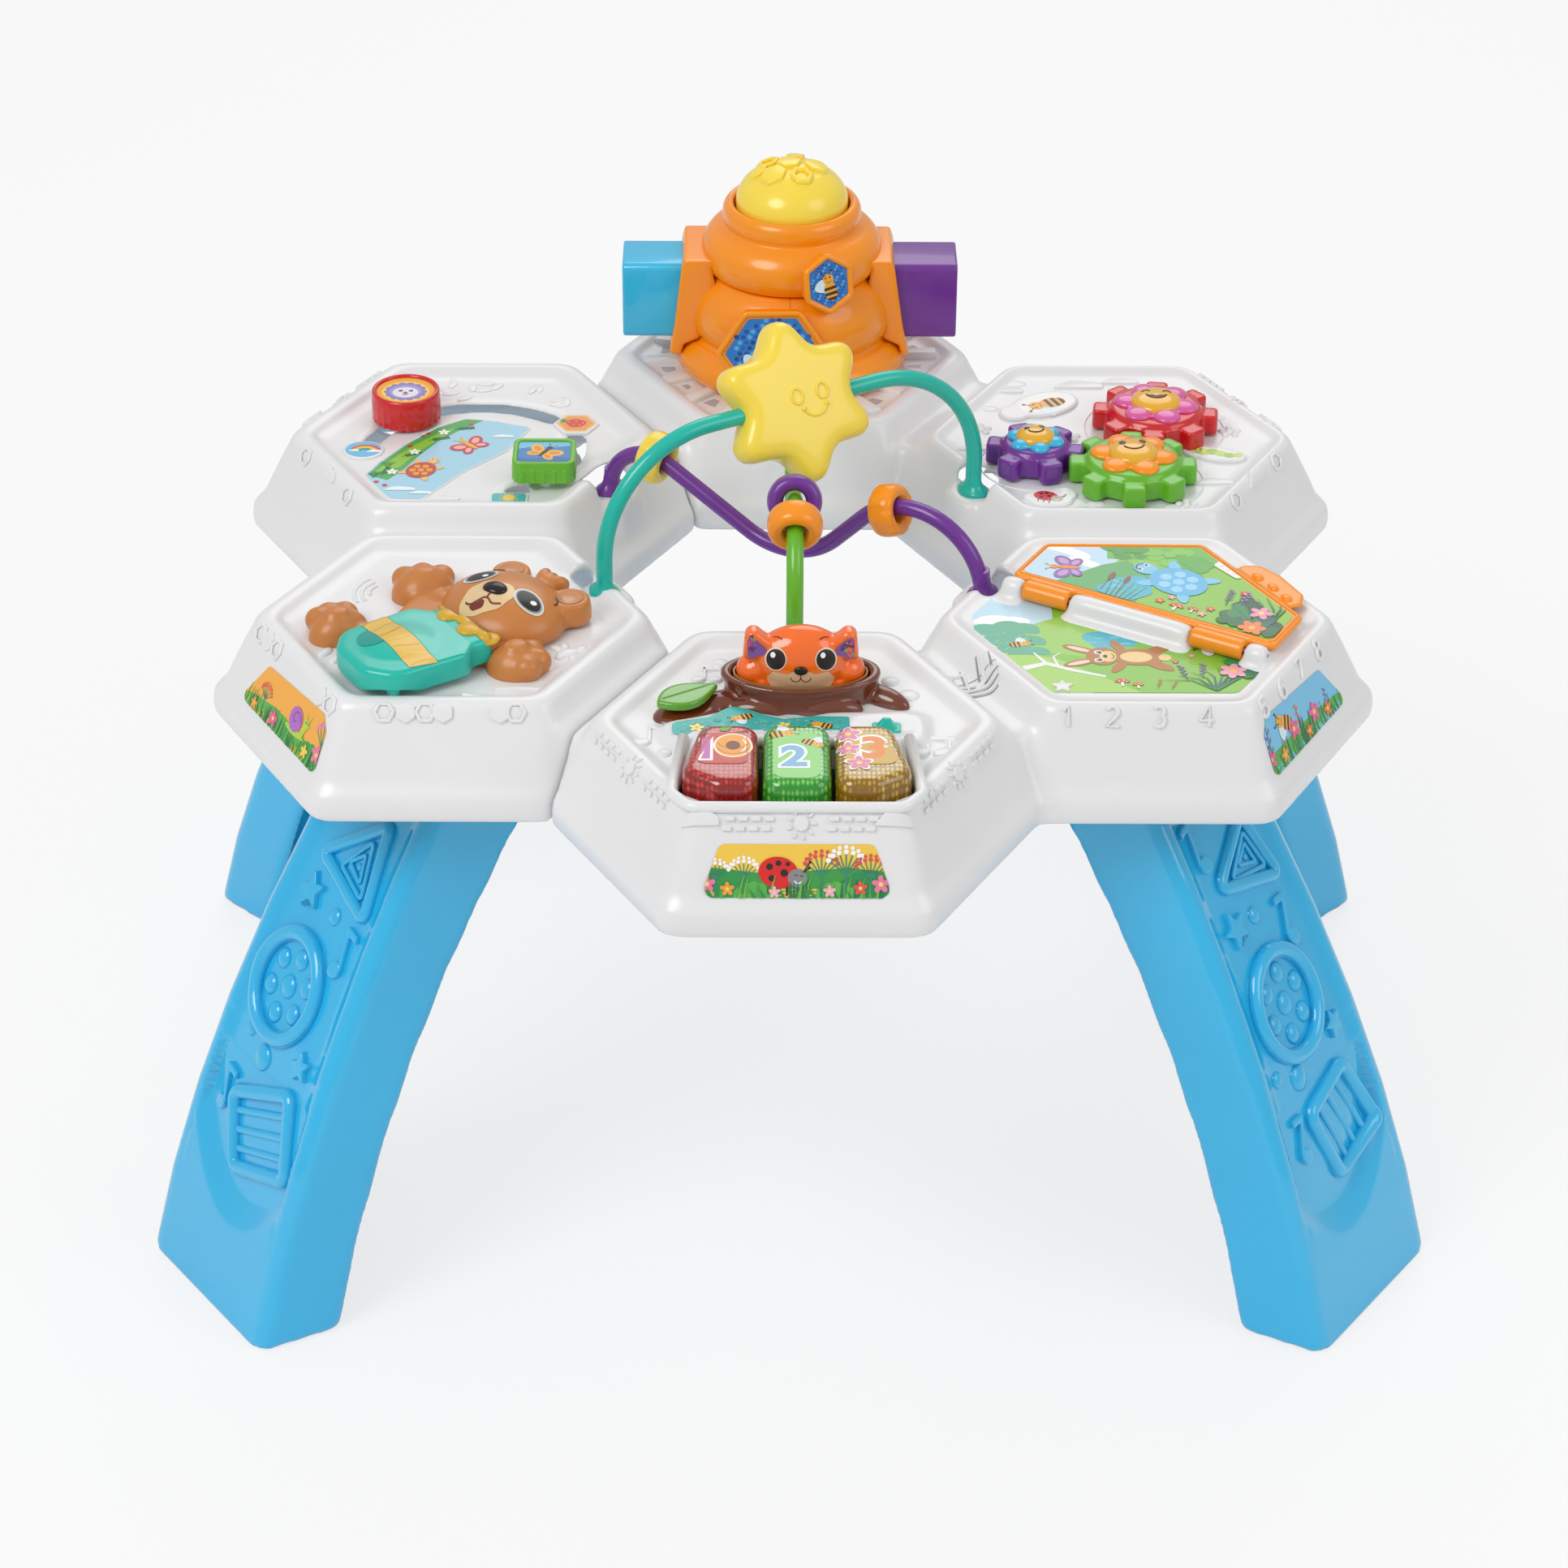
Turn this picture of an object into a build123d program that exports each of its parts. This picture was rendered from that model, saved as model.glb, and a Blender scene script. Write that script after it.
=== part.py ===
from build123d import *
import os
from math import asin, cos, degrees, hypot, radians, sin, sqrt, tan

os.makedirs("parts", exist_ok=True)

# Activity table: six hexagonal play cells in a ring on four arched legs, with three
# bead arches over the open middle. Z is up, the floor is z = 0, the ring's middle is
# the origin and the key panel faces -Y. All sizes are in millimetres.

# ---- Driving dimensions: table top ----
skirt_level = 305.0          # floor to the bottom edge of the table top
cell_pitch = 208.0           # between the middles of neighbouring cells
skirt_height = 15.0          # upright band round the bottom of the top
skirt_overhang = 9.3         # skirt outside the cell boundary
shoulder_height = 20.0       # where the sloped wall starts
shoulder_overhang = 3.4
rim_height = 60.0            # top of each cell's rim above the skirt's edge
rim_outer = 92.7             # cell's middle to the rim's outer edge, across flats
rim_crest = 87.5             # cell's middle to the rim's flat top
tray_half = 81.0             # cell's middle to the edge of the play tray
tray_depth = 5.0
valley_height = 46.0         # ledge between neighbouring cells
valley_half = 17.0
shell_wall = 2.6
corner_round = 13.0
seam_gap = 0.3               # between neighbouring shells
running_gap = 0.35           # between pieces that move on each other
seat_gap = 0.1               # between pieces that are fixed to each other

# ---- Driving dimensions: legs ----
leg_azimuth = 35.8           # direction in which a leg leans out, from the X axis
leg_side_shift = -7.9        # leg's middle beside the radial line
leg_reach = 390.7            # foot's outer face from the ring's middle
leg_lean = 76.9              # straight part of the leg top's draw-in
leg_arch = 66.6              # curved part of it
leg_half_width = 59.7        # at the foot
leg_narrowing = 15.4         # taken off the half width at the top
leg_foot_depth = 52.0
leg_deepening = 18.0         # added to the depth at the top
leg_splay = 7.5              # rear edges stand wider than the front ones
leg_wall = 3.0
leg_corner = 9.0
leg_tenon = 26.0             # leg's upright top inside the table
leg_panel_depth = 4.0
leg_panel_border = 12.0

# ---- Driving dimensions: bead arches and beads ----
tube_radius = 4.5
arch_reach = 117.0           # arch feet from the ring's middle
arch_foot_height = 48.0      # arch feet above the skirt's edge
plug_length = 16.0
plug_gap = 1.0               # round the plugs, which bend slightly, in their sockets
teal_height = 132.0          # tube middles above the skirt's edge
teal_bend = 65.0
purple_left_bend = 25.5
purple_left_peak = 76.0
purple_left_corner = 91.9    # where the straight runs either side of the bend would meet
purple_dip_shift = 2.6       # dip's corner beside the ring's middle
purple_dip_corner = 30.9
purple_dip_bend = 46.0
purple_right_bend = 44.4
purple_right_peak = 84.5
purple_right_corner = 151.0
green_peak = 108.4
green_bend = 40.0
green_corner = 165.0
green_dip_bend = 30.0
green_dip_corner = 48.0
boss_width = 28.0
bead_radius = 14.8
bead_length = 15.0
bead_hole = 5.8
star_valley = 30.0
star_tip = 53.0
star_tip_round = 9.0
star_thickness = 25.0
star_tilt = 30.0             # star's face leans back from upright, degrees

# ---- Driving dimensions: front cell, keys, stump and switch ----
bezel_rise = 3.0             # key bezel above the rim
key_width = 35.0
key_length = 60.0
key_back = -24.0             # keys' back edge from the cell's middle
key_rise = 10.0              # keys above the bezel
key_gap = 0.8
key_spread = 9.5             # outer keys widen by this towards the front
key_travel = 2.5
switch_x = 45.5
switch_y = -9.5
switch_travel = 9.0
stump_x = 2.5
stump_y = 31.0
stump_half_width = 41.0
stump_half_depth = 21.5
stump_rise = 10.0            # stump's cut top above the rim
stump_wall = 5.5
leaf_x = -53.5
leaf_y = 16.0
leaf_half_length = 18.0
leaf_half_width = 10.5
leaf_turn = 30.0
leaf_travel = 1.8

# ---- Driving dimensions: gears ----
gear_module = 8.1
gear_big_teeth = 8
gear_small_teeth = 6
gear_height = 14.0
gear_lift = 1.2              # gear above the tray floor
tooth_reach = 4.0
tooth_root = 4.8
tooth_tip_half = 4.0
tooth_root_half = 6.6
green_gear_x = 9.9
green_gear_y = -47.0
red_gear_azimuth = 74.4
purple_gear_azimuth = 160.9
green_tooth_azimuth = -92.5
spindle_radius = 5.0

# ---- Driving dimensions: sliders ----
slot_width = 6.4
red_slot_radius = 64.3
red_slot_x = 2.4
red_slot_y = -23.6
red_slot_ends = (50.0, 160.0)
red_knob_azimuth = 131.5
red_knob_radius = 20.0
green_slot_radius = 58.1
green_slot_x = 0.1
green_slot_y = -7.9
green_slot_ends = (-65.0, 12.0)
green_knob_azimuth = -44.0
green_knob_side = 35.0
knob_height = 19.0

# ---- Driving dimensions: book ----
hinge_azimuth = -30.0        # hinge runs from the open middle to the outer wall
hinge_shift = -8.0           # hinge line beside the cell's middle
hinge_height = 62.5          # hinge axis above the skirt's edge
hinge_start = -75.0
hinge_end = 79.0
knuckle_radius = 5.9
knuckle_gap = 0.4            # between the page's knuckles and the shell's
barrel_radius = 5.6
pin_radius = 1.55
page_thickness = 3.5
page_half = 68.5             # page's outer edges from the cell's middle
page_tray_half = 84.9
page_tray_depth = 3.0

# ---- Driving dimensions: bear ----
pot_x = -25.0
pot_y = -51.5
pot_rise = 16.0              # pot above the rim
pot_travel = 3.0
head_x = 27.0
head_y = 1.0
head_radius = 32.0
head_rise = 21.0

# ---- Driving dimensions: hive ----
hive_top = 157.0             # collar's top edge above the skirt
dome_top = 182.0
dome_radius = 32.5
block_reach = 97.0
block_depth = 36.7
block_bottom = 77.3
block_top = 123.7
wing_half_depth = 25.0

# ---- Derived levels and places ----
flat_to_corner = 1 / cos(radians(30))
half_pitch = cell_pitch / 2
rim_level = skirt_level + rim_height
play_level = rim_level - tray_depth
ceiling_level = play_level - shell_wall
foot_level = skirt_level + arch_foot_height


STAND = (Align.CENTER, Align.CENTER, Align.MIN)
HANG = (Align.CENTER, Align.CENTER, Align.MAX)


def polar(radius, azimuth):
    """Point at a distance and direction from the ring's middle."""
    return (radius * cos(radians(azimuth)), radius * sin(radians(azimuth)))


front = polar(cell_pitch, -90)
front_right = polar(cell_pitch, -30)
back_right = polar(cell_pitch, 30)
back = polar(cell_pitch, 90)
back_left = polar(cell_pitch, 150)
front_left = polar(cell_pitch, 210)


def in_cell(cell, x, y):
    """Point given from a cell's middle."""
    return (cell[0] + x, cell[1] + y)


def finish(piece, name):
    """Label a finished piece and write it to its own file."""
    piece.part.label = name
    export_step(piece.part, f"parts/{name}.step")


def hexagon(cell, height, half_width, corner):
    """Level hexagon with rounded corners, given by its half width across flats."""
    with BuildSketch(Plane.XY.offset(height), mode=Mode.PRIVATE) as outline:
        with Locations(cell):
            RegularPolygon(half_width * flat_to_corner, 6)
        fillet(outline.vertices(), corner)
    return outline.sketch.face()


def rounded_outline(points, height, corner):
    """Level polygon with rounded corners."""
    with BuildSketch(Plane.XY.offset(height), mode=Mode.PRIVATE) as outline:
        Polygon(*points, align=None)
        fillet(outline.vertices(), corner)
    return outline.sketch.face()


def oval(center, height, half_length, half_width, turn=0):
    """Level ellipse."""
    with BuildSketch(Plane.XY.offset(height), mode=Mode.PRIVATE) as outline:
        with Locations(Location(center, turn)):
            Ellipse(half_length, half_width)
    return outline.sketch.face()


# ---- Table top: one third of the ring, which the three shells share ----
skirt_half = half_pitch + skirt_overhang
shoulder_half = half_pitch + shoulder_overhang
bevel_height = 6.0           # rounded-over part of the rim
wall_slope = (shoulder_half - rim_outer) / (rim_height - bevel_height - shoulder_height)


def wall_half_at(height):
    """Half width across flats of a cell's sloped wall at a height above the skirt."""
    return shoulder_half - wall_slope * (height - shoulder_height)


cell_profile = [
    (0, skirt_half),
    (skirt_height, skirt_half),
    (shoulder_height, shoulder_half),
    (rim_height - bevel_height, rim_outer),
    (rim_height - bevel_height / 4, rim_outer - 1.8),
    (rim_height, rim_crest),
]
ceiling_height = ceiling_level - skirt_level
cavity_profile = [
    (-1, skirt_half - shell_wall),
    (skirt_height - 1, skirt_half - shell_wall),
    (shoulder_height - 1, shoulder_half - shell_wall),
    (ceiling_height, wall_half_at(ceiling_height) - shell_wall),
]
valley_profile = [
    (h, wall_half_at(h), valley_half) for h in (shoulder_height / 2, shoulder_height, valley_height)
]
valley_cavity_profile = [
    (h, wall_half_at(h) - shell_wall, valley_half - shell_wall)
    for h in (-1, shoulder_height, valley_height - shell_wall)
]


def valley_face(azimuth, height, wall_half, half_width):
    """Cross-section of the ledge between two cells whose walls stand at wall_half."""
    inner = (cell_pitch - wall_half) * flat_to_corner + 2
    outer = (half_pitch + wall_half) * flat_to_corner - 2
    level = Plane.XY.offset(height).rotated((0, 0, azimuth))
    with BuildSketch(level, mode=Mode.PRIVATE) as outline:
        with Locations(((inner + outer) / 2, 0)):
            Rectangle(outer - inner, 2 * half_width)
    return outline.sketch.face()


def cell_loft(cell, profile, mode=Mode.ADD):
    """Hexagonal stack through the given heights and half widths."""
    levels = [hexagon(cell, skirt_level + h, half, corner_round) for h, half in profile]
    loft(levels, ruled=True, mode=mode)


def valley_loft(azimuth, profile):
    """Ledge through the given heights, wall places and half widths."""
    loft([valley_face(azimuth, skirt_level + h, wall, half) for h, wall, half in profile], ruled=True)


def seam_slabs(thickness, mode):
    """Upright slabs on the two end planes of the front third."""
    for azimuth in (-120, 0):
        with Locations(Location((*polar(cell_pitch, azimuth), skirt_level), (0, 0, azimuth))):
            Box(2 * cell_pitch, thickness, 4 * rim_height, mode=mode)


with BuildPart() as third_cavity:
    for cell in (front, front_right):
        cell_loft(cell, cavity_profile)
    for azimuth in (-120, -60, 0):
        valley_loft(azimuth, valley_cavity_profile)
    seam_slabs(2 * shell_wall + seam_gap, Mode.SUBTRACT)

with BuildPart() as shell_third:
    for cell in (front, front_right):
        cell_loft(cell, cell_profile)
    for azimuth in (-120, -60, 0):
        valley_loft(azimuth, valley_profile)
    add(third_cavity.part, mode=Mode.SUBTRACT)
    seam_slabs(seam_gap, Mode.SUBTRACT)
    with BuildSketch(Plane.XY.offset(skirt_level - 5)):
        sector = [(0, 0)] + [polar(2 * cell_pitch, azimuth) for azimuth in (-120, -90, -60, -30, 0)]
        Polygon(*sector, align=None)
    extrude(amount=rim_height + 10, mode=Mode.INTERSECT)


def tray(cell, half, depth):
    """Cut a cell's play tray, with slightly sloped sides."""
    loft(
        [
            hexagon(cell, rim_level - depth, half - 1.5, corner_round - 3),
            hexagon(cell, rim_level + 0.5, half + 0.3, corner_round - 3),
        ],
        ruled=True,
        mode=Mode.SUBTRACT,
    )


def arch_boss(azimuth):
    """Boss on the inner wall that takes an arch's foot, with its notch in the rim."""
    inner = arch_reach - 13
    outer = arch_reach + 12
    middle = (inner + outer) / 2
    with Locations(Location((*polar(middle, azimuth), foot_level), (0, 0, azimuth))):
        Box(outer - inner, boss_width, rim_height, align=STAND, mode=Mode.SUBTRACT)
    with BuildSketch(Plane.XY.offset(foot_level).rotated((0, 0, azimuth)), mode=Mode.PRIVATE) as top:
        with Locations((middle, 0)):
            RectangleRounded(outer - inner, boss_width, 4)
    extrude(top.sketch, amount=-arch_foot_height / 2, taper=-5)


def arch_socket(azimuth):
    """Blind hole in a boss for an arch's plug."""
    with Locations(Location((*polar(arch_reach, azimuth), foot_level), (0, 0, 0))):
        Cylinder(tube_radius + plug_gap, plug_length + 1, align=HANG, mode=Mode.SUBTRACT)


# ---- Legs ----
def leg_at(height):
    """Outer face place, half width and depth of a leg at a height."""
    t = height / skirt_level
    reach = leg_reach - leg_lean * t - leg_arch * t * t
    half = leg_half_width - leg_narrowing * t ** 1.5
    depth = leg_foot_depth + leg_deepening * t ** 3
    return reach, half, depth


def leg_face(height, shape_height, side_inset=0.0, front_inset=0.0, rear_inset=0.0, corner=leg_corner):
    """Level section of a leg: narrower in front than at the rear."""
    reach, half, depth = leg_at(shape_height)
    front_x = reach - front_inset
    rear_x = reach - depth + rear_inset
    front_half = half - side_inset
    rear_half = half + leg_splay - side_inset
    mid = leg_side_shift
    with BuildSketch(Plane.XY.offset(height).rotated((0, 0, leg_azimuth)), mode=Mode.PRIVATE) as outline:
        Polygon(
            (front_x, mid - front_half),
            (front_x, mid + front_half),
            (rear_x, mid + rear_half),
            (rear_x, mid - rear_half),
            align=None,
        )
        fillet(outline.vertices(), corner)
    return outline.sketch.face()


leg_levels = [skirt_level * step / 6 for step in range(7)]
tenon_level = skirt_level + leg_tenon
leg_screw_points = [
    polar(hypot(leg_at(skirt_level)[0] - 32, leg_side_shift + side), leg_azimuth
          + degrees(asin((leg_side_shift + side) / (leg_at(skirt_level)[0] - 32))))
    for side in (-24, 24)
]
leg_screw_radius = 2.0
leg_screw_length = 13.0


def leg_solid():
    """One leg in the +X +Y quadrant: a moulded channel, open at the rear."""
    with BuildPart(mode=Mode.PRIVATE) as leg:
        loft([leg_face(z, z) for z in leg_levels], ruled=True)
        tenon_levels = (skirt_level - 1, tenon_level)
        loft([leg_face(z, skirt_level, 1.0, 1.0, 1.0) for z in tenon_levels], ruled=True)
        hollow = [leg_wall] + leg_levels[1:]
        loft(
            [leg_face(z, z, leg_wall, leg_wall + leg_panel_depth, -12, 4) for z in hollow],
            ruled=True,
            mode=Mode.SUBTRACT,
        )
        loft(
            [
                leg_face(z, skirt_level, leg_wall + 1, leg_wall + leg_panel_depth, -12, 4)
                for z in (skirt_level - 0.5, tenon_level - leg_wall)
            ],
            ruled=True,
            mode=Mode.SUBTRACT,
        )
        panel_bottom = leg_levels[1] * 1.6
        panel = [panel_bottom] + leg_levels[2:6] + [skirt_level - 4]
        loft([panel_face(z, leg_panel_depth) for z in panel], ruled=True, mode=Mode.SUBTRACT)
        loft(
            [panel_face(panel_bottom - 30, 0.2), panel_face(panel_bottom + 0.5, leg_panel_depth)],
            ruled=True,
            mode=Mode.SUBTRACT,
        )
        for x, y in leg_screw_points:
            with Locations((x, y, tenon_level)):
                Hole(leg_screw_radius + 0.2, leg_wall + 2)
    return leg.part


def panel_face(height, depth):
    """Level section of the sunk panel in a leg's outer face."""
    reach, half, _ = leg_at(height)
    with BuildSketch(Plane.XY.offset(height).rotated((0, 0, leg_azimuth)), mode=Mode.PRIVATE) as outline:
        with Locations((reach - depth + 10, leg_side_shift)):
            Rectangle(20, 2 * (half - leg_panel_border))
    return outline.sketch.face()


def leg_mount():
    """Frame that holds a leg's tenon, its screw bosses and the ribs to the cell's walls."""
    bottom = skirt_level + 3
    plate = tenon_level + seat_gap
    outset = -seat_gap - 1.2
    with BuildPart(mode=Mode.PRIVATE) as mount:
        extrude(leg_face(bottom, skirt_level, outset, outset, outset), amount=plate + shell_wall - bottom)
        middle = polar(leg_at(skirt_level)[0] - 35, leg_azimuth)
        for turn in (0, 90):
            with Locations(Location((*middle, (bottom + plate) / 2), (0, 0, leg_azimuth + turn))):
                Box(3 * half_pitch, shell_wall, plate - bottom)
        cell_loft(back_right, cell_profile, Mode.INTERSECT)
        with BuildSketch(Plane.XY.offset(skirt_level), mode=Mode.PRIVATE) as cell_sector:
            Polygon(
                (0, 0),
                polar(2 * cell_pitch, 0),
                polar(3 * cell_pitch, 30),
                polar(2 * cell_pitch, 60),
                align=None,
            )
            offset(amount=-seam_gap, kind=Kind.INTERSECTION)
        extrude(cell_sector.sketch, amount=rim_height, mode=Mode.INTERSECT)
        extrude(
            leg_face(bottom - 1, skirt_level, 1 - seat_gap, 1 - seat_gap, 1 - seat_gap),
            amount=plate - bottom + 1,
            mode=Mode.SUBTRACT,
        )
        for x, y in leg_screw_points:
            with Locations((x, y, plate)):
                Cylinder(5, leg_screw_length, align=STAND)
                Cylinder(leg_screw_radius + 0.05, leg_screw_length - 1, align=STAND, mode=Mode.SUBTRACT)
    return mount.part


# ---- Helpers for trays and buttons ----
def block(face, height, mode=Mode.ADD):
    """Straight block standing on a level outline."""
    extrude(face, amount=height, mode=mode)


def raised(cell, points, bottom, top, corner, mode=Mode.ADD):
    """Block between two heights above the skirt, outlined from a cell's middle."""
    outline = rounded_outline([in_cell(cell, x, y) for x, y in points], skirt_level + bottom, corner)
    extrude(outline, amount=top - bottom, mode=mode)


def raised_oval(center, half_length, half_width, bottom, top, turn=0, mode=Mode.ADD):
    """Oval block between two heights above the skirt."""
    outline = oval(center, skirt_level + bottom, half_length, half_width, turn)
    extrude(outline, amount=top - bottom, mode=mode)


def peg(center, radius, bottom, top, mode=Mode.ADD):
    """Upright round peg between two heights above the skirt."""
    with Locations((*center, skirt_level + bottom)):
        Cylinder(radius, top - bottom, align=STAND, mode=mode)


def dome(center, bottom_radius, top_radius, bottom, top, mode=Mode.ADD):
    """Upright cone between two heights above the skirt."""
    with Locations((*center, skirt_level + bottom)):
        Cone(bottom_radius, top_radius, top - bottom, align=STAND, mode=mode)


def arc_slot(center, radius, ends, width, bottom, top, mode):
    """Level arc-shaped slot or bar between two azimuths."""
    path = CenterArc((0, 0), radius, ends[0], ends[1] - ends[0], mode=Mode.PRIVATE)
    with BuildSketch(Plane.XY.offset(skirt_level + bottom), mode=Mode.PRIVATE) as slot:
        with Locations(center):
            SlotArc(path, width)
    extrude(slot.sketch, amount=top - bottom, mode=mode)


def mirrored(blank, flip_x, flip_y):
    """Copy of a piece from the +X +Y quadrant in another quadrant."""
    if flip_x and flip_y:
        return blank.rotate(Axis.Z, 180)
    if flip_x:
        return mirror(blank, about=Plane.YZ)
    if flip_y:
        return mirror(blank, about=Plane.XZ)
    return blank


tray_height = rim_height - tray_depth
stem_gap = 0.4               # round and oval stems in their guides
guide_foot = 1.6             # how far a stem's foot reaches under the tray
foot_height = 2.0
ceiling = ceiling_level - skirt_level
foot_top = ceiling - 0.4     # top of the feet that keep buttons from being pulled out

# ---- Arches: bosses on all six inner walls ----
with BuildPart() as third_with_bosses:
    add(shell_third.part)
    for azimuth in (-90, -30):
        arch_boss(azimuth)
        arch_socket(azimuth)

leg_mount_blank = leg_mount()
leg_blank = leg_solid()

# ---- Front shell: keys, stump, switch and book ----
bezel_top = rim_height + bezel_rise
bezel_points = [(-52, -90), (52, -90), (62, -78), (53, -20), (-53, -20), (-62, -78)]
control_top = rim_height + 0.5
control_points = [
    (-62, -22), (62, -22), (66, -16), (66, 4), (58, 9), (16, 7),
    (2, 1), (-18, 6), (-32, 11), (-46, 4), (-68, -3),
]
key_half = key_width / 2
key_front = key_back - key_length
outer_start = key_half + key_gap
key_middle_points = [
    (-key_half, key_front), (key_half, key_front), (key_half, key_back), (-key_half, key_back),
]
key_right_points = [
    (outer_start, key_front + 1),
    (outer_start + key_width - 14, key_front + 1),
    (outer_start + key_width + key_spread / 2, key_front + 13),
    (outer_start + key_width - key_spread / 2, key_back),
    (outer_start, key_back),
]
key_left_points = [(-x, y) for x, y in reversed(key_right_points)]
key_opening_points = [
    (-key_right_points[2][0] - key_gap, key_right_points[2][1] - key_gap / 2),
    (-key_right_points[1][0], key_front - key_gap),
    (key_right_points[1][0], key_front - key_gap),
    (key_right_points[2][0] + key_gap, key_right_points[2][1] - key_gap / 2),
    (key_right_points[3][0] + key_gap, key_back + key_gap),
    (-key_right_points[3][0] - key_gap, key_back + key_gap),
]
stump = in_cell(front, stump_x, stump_y)
leaf = in_cell(front, leaf_x, leaf_y)
fox_stem_length = 30.0
fox_stem_width = 12.5
leaf_stem_length = 12.0
leaf_stem_width = 6.5
switch_spot = in_cell(front, switch_x, switch_y)
switch_stem = 6.0
speaker_spot = polar(178, -60)
board_top = 40.6
board_posts = [(-66, -60), (66, -60), (-66, -25), (66, -25)]
cover_posts = [(-58, 78), (58, 78), (-84, -40), (84, -40)]
cover_top = 4.4
screw_radius = 1.5

hinge_turn = radians(hinge_azimuth)
hinge_direction = Vector(cos(hinge_turn), sin(hinge_turn), 0)
hinge_middle = Vector(
    front_right[0] - hinge_shift * sin(hinge_turn),
    front_right[1] + hinge_shift * cos(hinge_turn),
    skirt_level + hinge_height,
)
shell_knuckles = [(hinge_start, -62.0), (-35.0, 35.5), (66.0, hinge_end)]
page_knuckles = [(-62.0, -35.0), (35.5, 66.0)]


def along_hinge(start, end, radius, mode=Mode.ADD):
    """Round bar on the book's hinge line."""
    start_plane = Plane(origin=hinge_middle + hinge_direction * start, z_dir=hinge_direction)
    with BuildSketch(start_plane, mode=Mode.PRIVATE) as end_face:
        Circle(radius)
    extrude(end_face.sketch, amount=end - start, mode=mode)


def beside_hinge(start, end, near, far, bottom, top, mode=Mode.ADD):
    """Block along the hinge, between two distances behind it and two heights above the skirt."""
    level = Plane(
        origin=(hinge_middle.X, hinge_middle.Y, skirt_level + bottom),
        x_dir=hinge_direction,
        z_dir=(0, 0, 1),
    )
    with BuildSketch(level, mode=Mode.PRIVATE) as strip:
        with Locations(((start + end) / 2, (near + far) / 2)):
            Rectangle(end - start, far - near)
    extrude(strip.sketch, amount=top - bottom, mode=mode)


def page_outline(height, inset):
    """Outline of the book's page in the hinge's frame."""
    behind = -hinge_shift
    left = hinge_start + 2 + inset
    right = hinge_end + 1 - inset
    near = knuckle_radius + 0.4
    back_half = page_half - inset
    side_half = page_half + 1.5 - inset
    left_corner = (back_half + left / 2) / cos(radians(30)) + behind
    right_corner = (side_half - right / 2) / cos(radians(30)) + behind
    peak = ((side_half - back_half), (side_half + back_half) / 2 / cos(radians(30)) + behind)
    level = Plane(
        origin=(hinge_middle.X, hinge_middle.Y, skirt_level + height),
        x_dir=hinge_direction,
        z_dir=(0, 0, 1),
    )
    with BuildSketch(level, mode=Mode.PRIVATE) as outline:
        Polygon((left, near), (right, near), (right, right_corner), peak, (left, left_corner), align=None)
        fillet(outline.vertices(), 4)
    return outline.sketch.face()


with BuildPart() as front_shell:
    add(third_with_bosses.part)
    add(mirrored(leg_mount_blank, False, True))
    tray(front, tray_half, tray_depth)
    tray(front_right, page_tray_half, page_tray_depth)
    # Key bezel and control panel
    raised(front, bezel_points, tray_height - 1, bezel_top, 8)
    raised(front, control_points, tray_height - 1, control_top, 3)
    raised(front, key_opening_points, ceiling - 1, bezel_top + 1, 5, Mode.SUBTRACT)
    with Locations((*switch_spot, skirt_level + control_top - 2)):
        Box(30, 12, 3, align=STAND, mode=Mode.SUBTRACT)
    with Locations((*switch_spot, skirt_level + ceiling - 1)):
        Box(switch_stem + switch_travel + 1, 3.4, 10, align=STAND, mode=Mode.SUBTRACT)
    # Guides of the fox and the leaf
    raised_oval(stump, fox_stem_length + stem_gap, fox_stem_width + stem_gap,
                ceiling - 1, tray_height + 1, mode=Mode.SUBTRACT)
    raised_oval(leaf, leaf_stem_length + stem_gap, leaf_stem_width + stem_gap,
                ceiling - 1, tray_height + 1, leaf_turn, Mode.SUBTRACT)
    # Book's hinge
    beside_hinge(hinge_start - 3, hinge_end, -knuckle_radius - 1, knuckle_radius + 1,
                 tray_height, rim_height + 9, Mode.SUBTRACT)
    for start, end in shell_knuckles:
        along_hinge(start, end, knuckle_radius)
        beside_hinge(start, end, -knuckle_radius, knuckle_radius, tray_height - 1, hinge_height)
    block(page_outline(tray_height, 1.5), 6.3)
    along_hinge(hinge_start - 1, hinge_end + 1, pin_radius + 0.05, Mode.SUBTRACT)
    # Sound slots in the ledge
    for step in range(4):
        arc_slot(polar(178 - 26, -60), 16 + 5 * step, (-60 - 34 + 4 * step, -60 + 34 - 4 * step), 2.2,
                 valley_height - 5, valley_height + 1, Mode.SUBTRACT)
    # Posts for the board and the bottom cover
    for x, y in board_posts:
        peg(in_cell(front, x, y), 3.5, board_top, ceiling + 1)
        peg(in_cell(front, x, y), screw_radius + 0.05, board_top - 1, ceiling - 3, Mode.SUBTRACT)
    for x, y in cover_posts:
        peg(in_cell(front, x, y), 4, cover_top, ceiling + 1)
        peg(in_cell(front, x, y), screw_radius + 0.05, cover_top - 1, cover_top + 14, Mode.SUBTRACT)
finish(front_shell, "front_shell")

# ---- Back shell: gear tray and the hive's tray ----
gear_tray_half = 85.5
spindle_top = tray_height + 11.0
gear_bottom = tray_height + gear_lift
gear_top = gear_bottom + gear_height
big_pitch = gear_module * gear_big_teeth / 2
small_pitch = gear_module * gear_small_teeth / 2
green_hub = in_cell(back_right, green_gear_x, green_gear_y)


def from_point(point, distance, azimuth):
    """Point at a distance and direction from another one."""
    return (point[0] + distance * cos(radians(azimuth)), point[1] + distance * sin(radians(azimuth)))


red_hub = from_point(green_hub, 2 * big_pitch, red_gear_azimuth)
purple_hub = from_point(green_hub, big_pitch + small_pitch, purple_gear_azimuth)
hubs = [red_hub, green_hub, purple_hub]
spindle_pilot = 1.5

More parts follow.
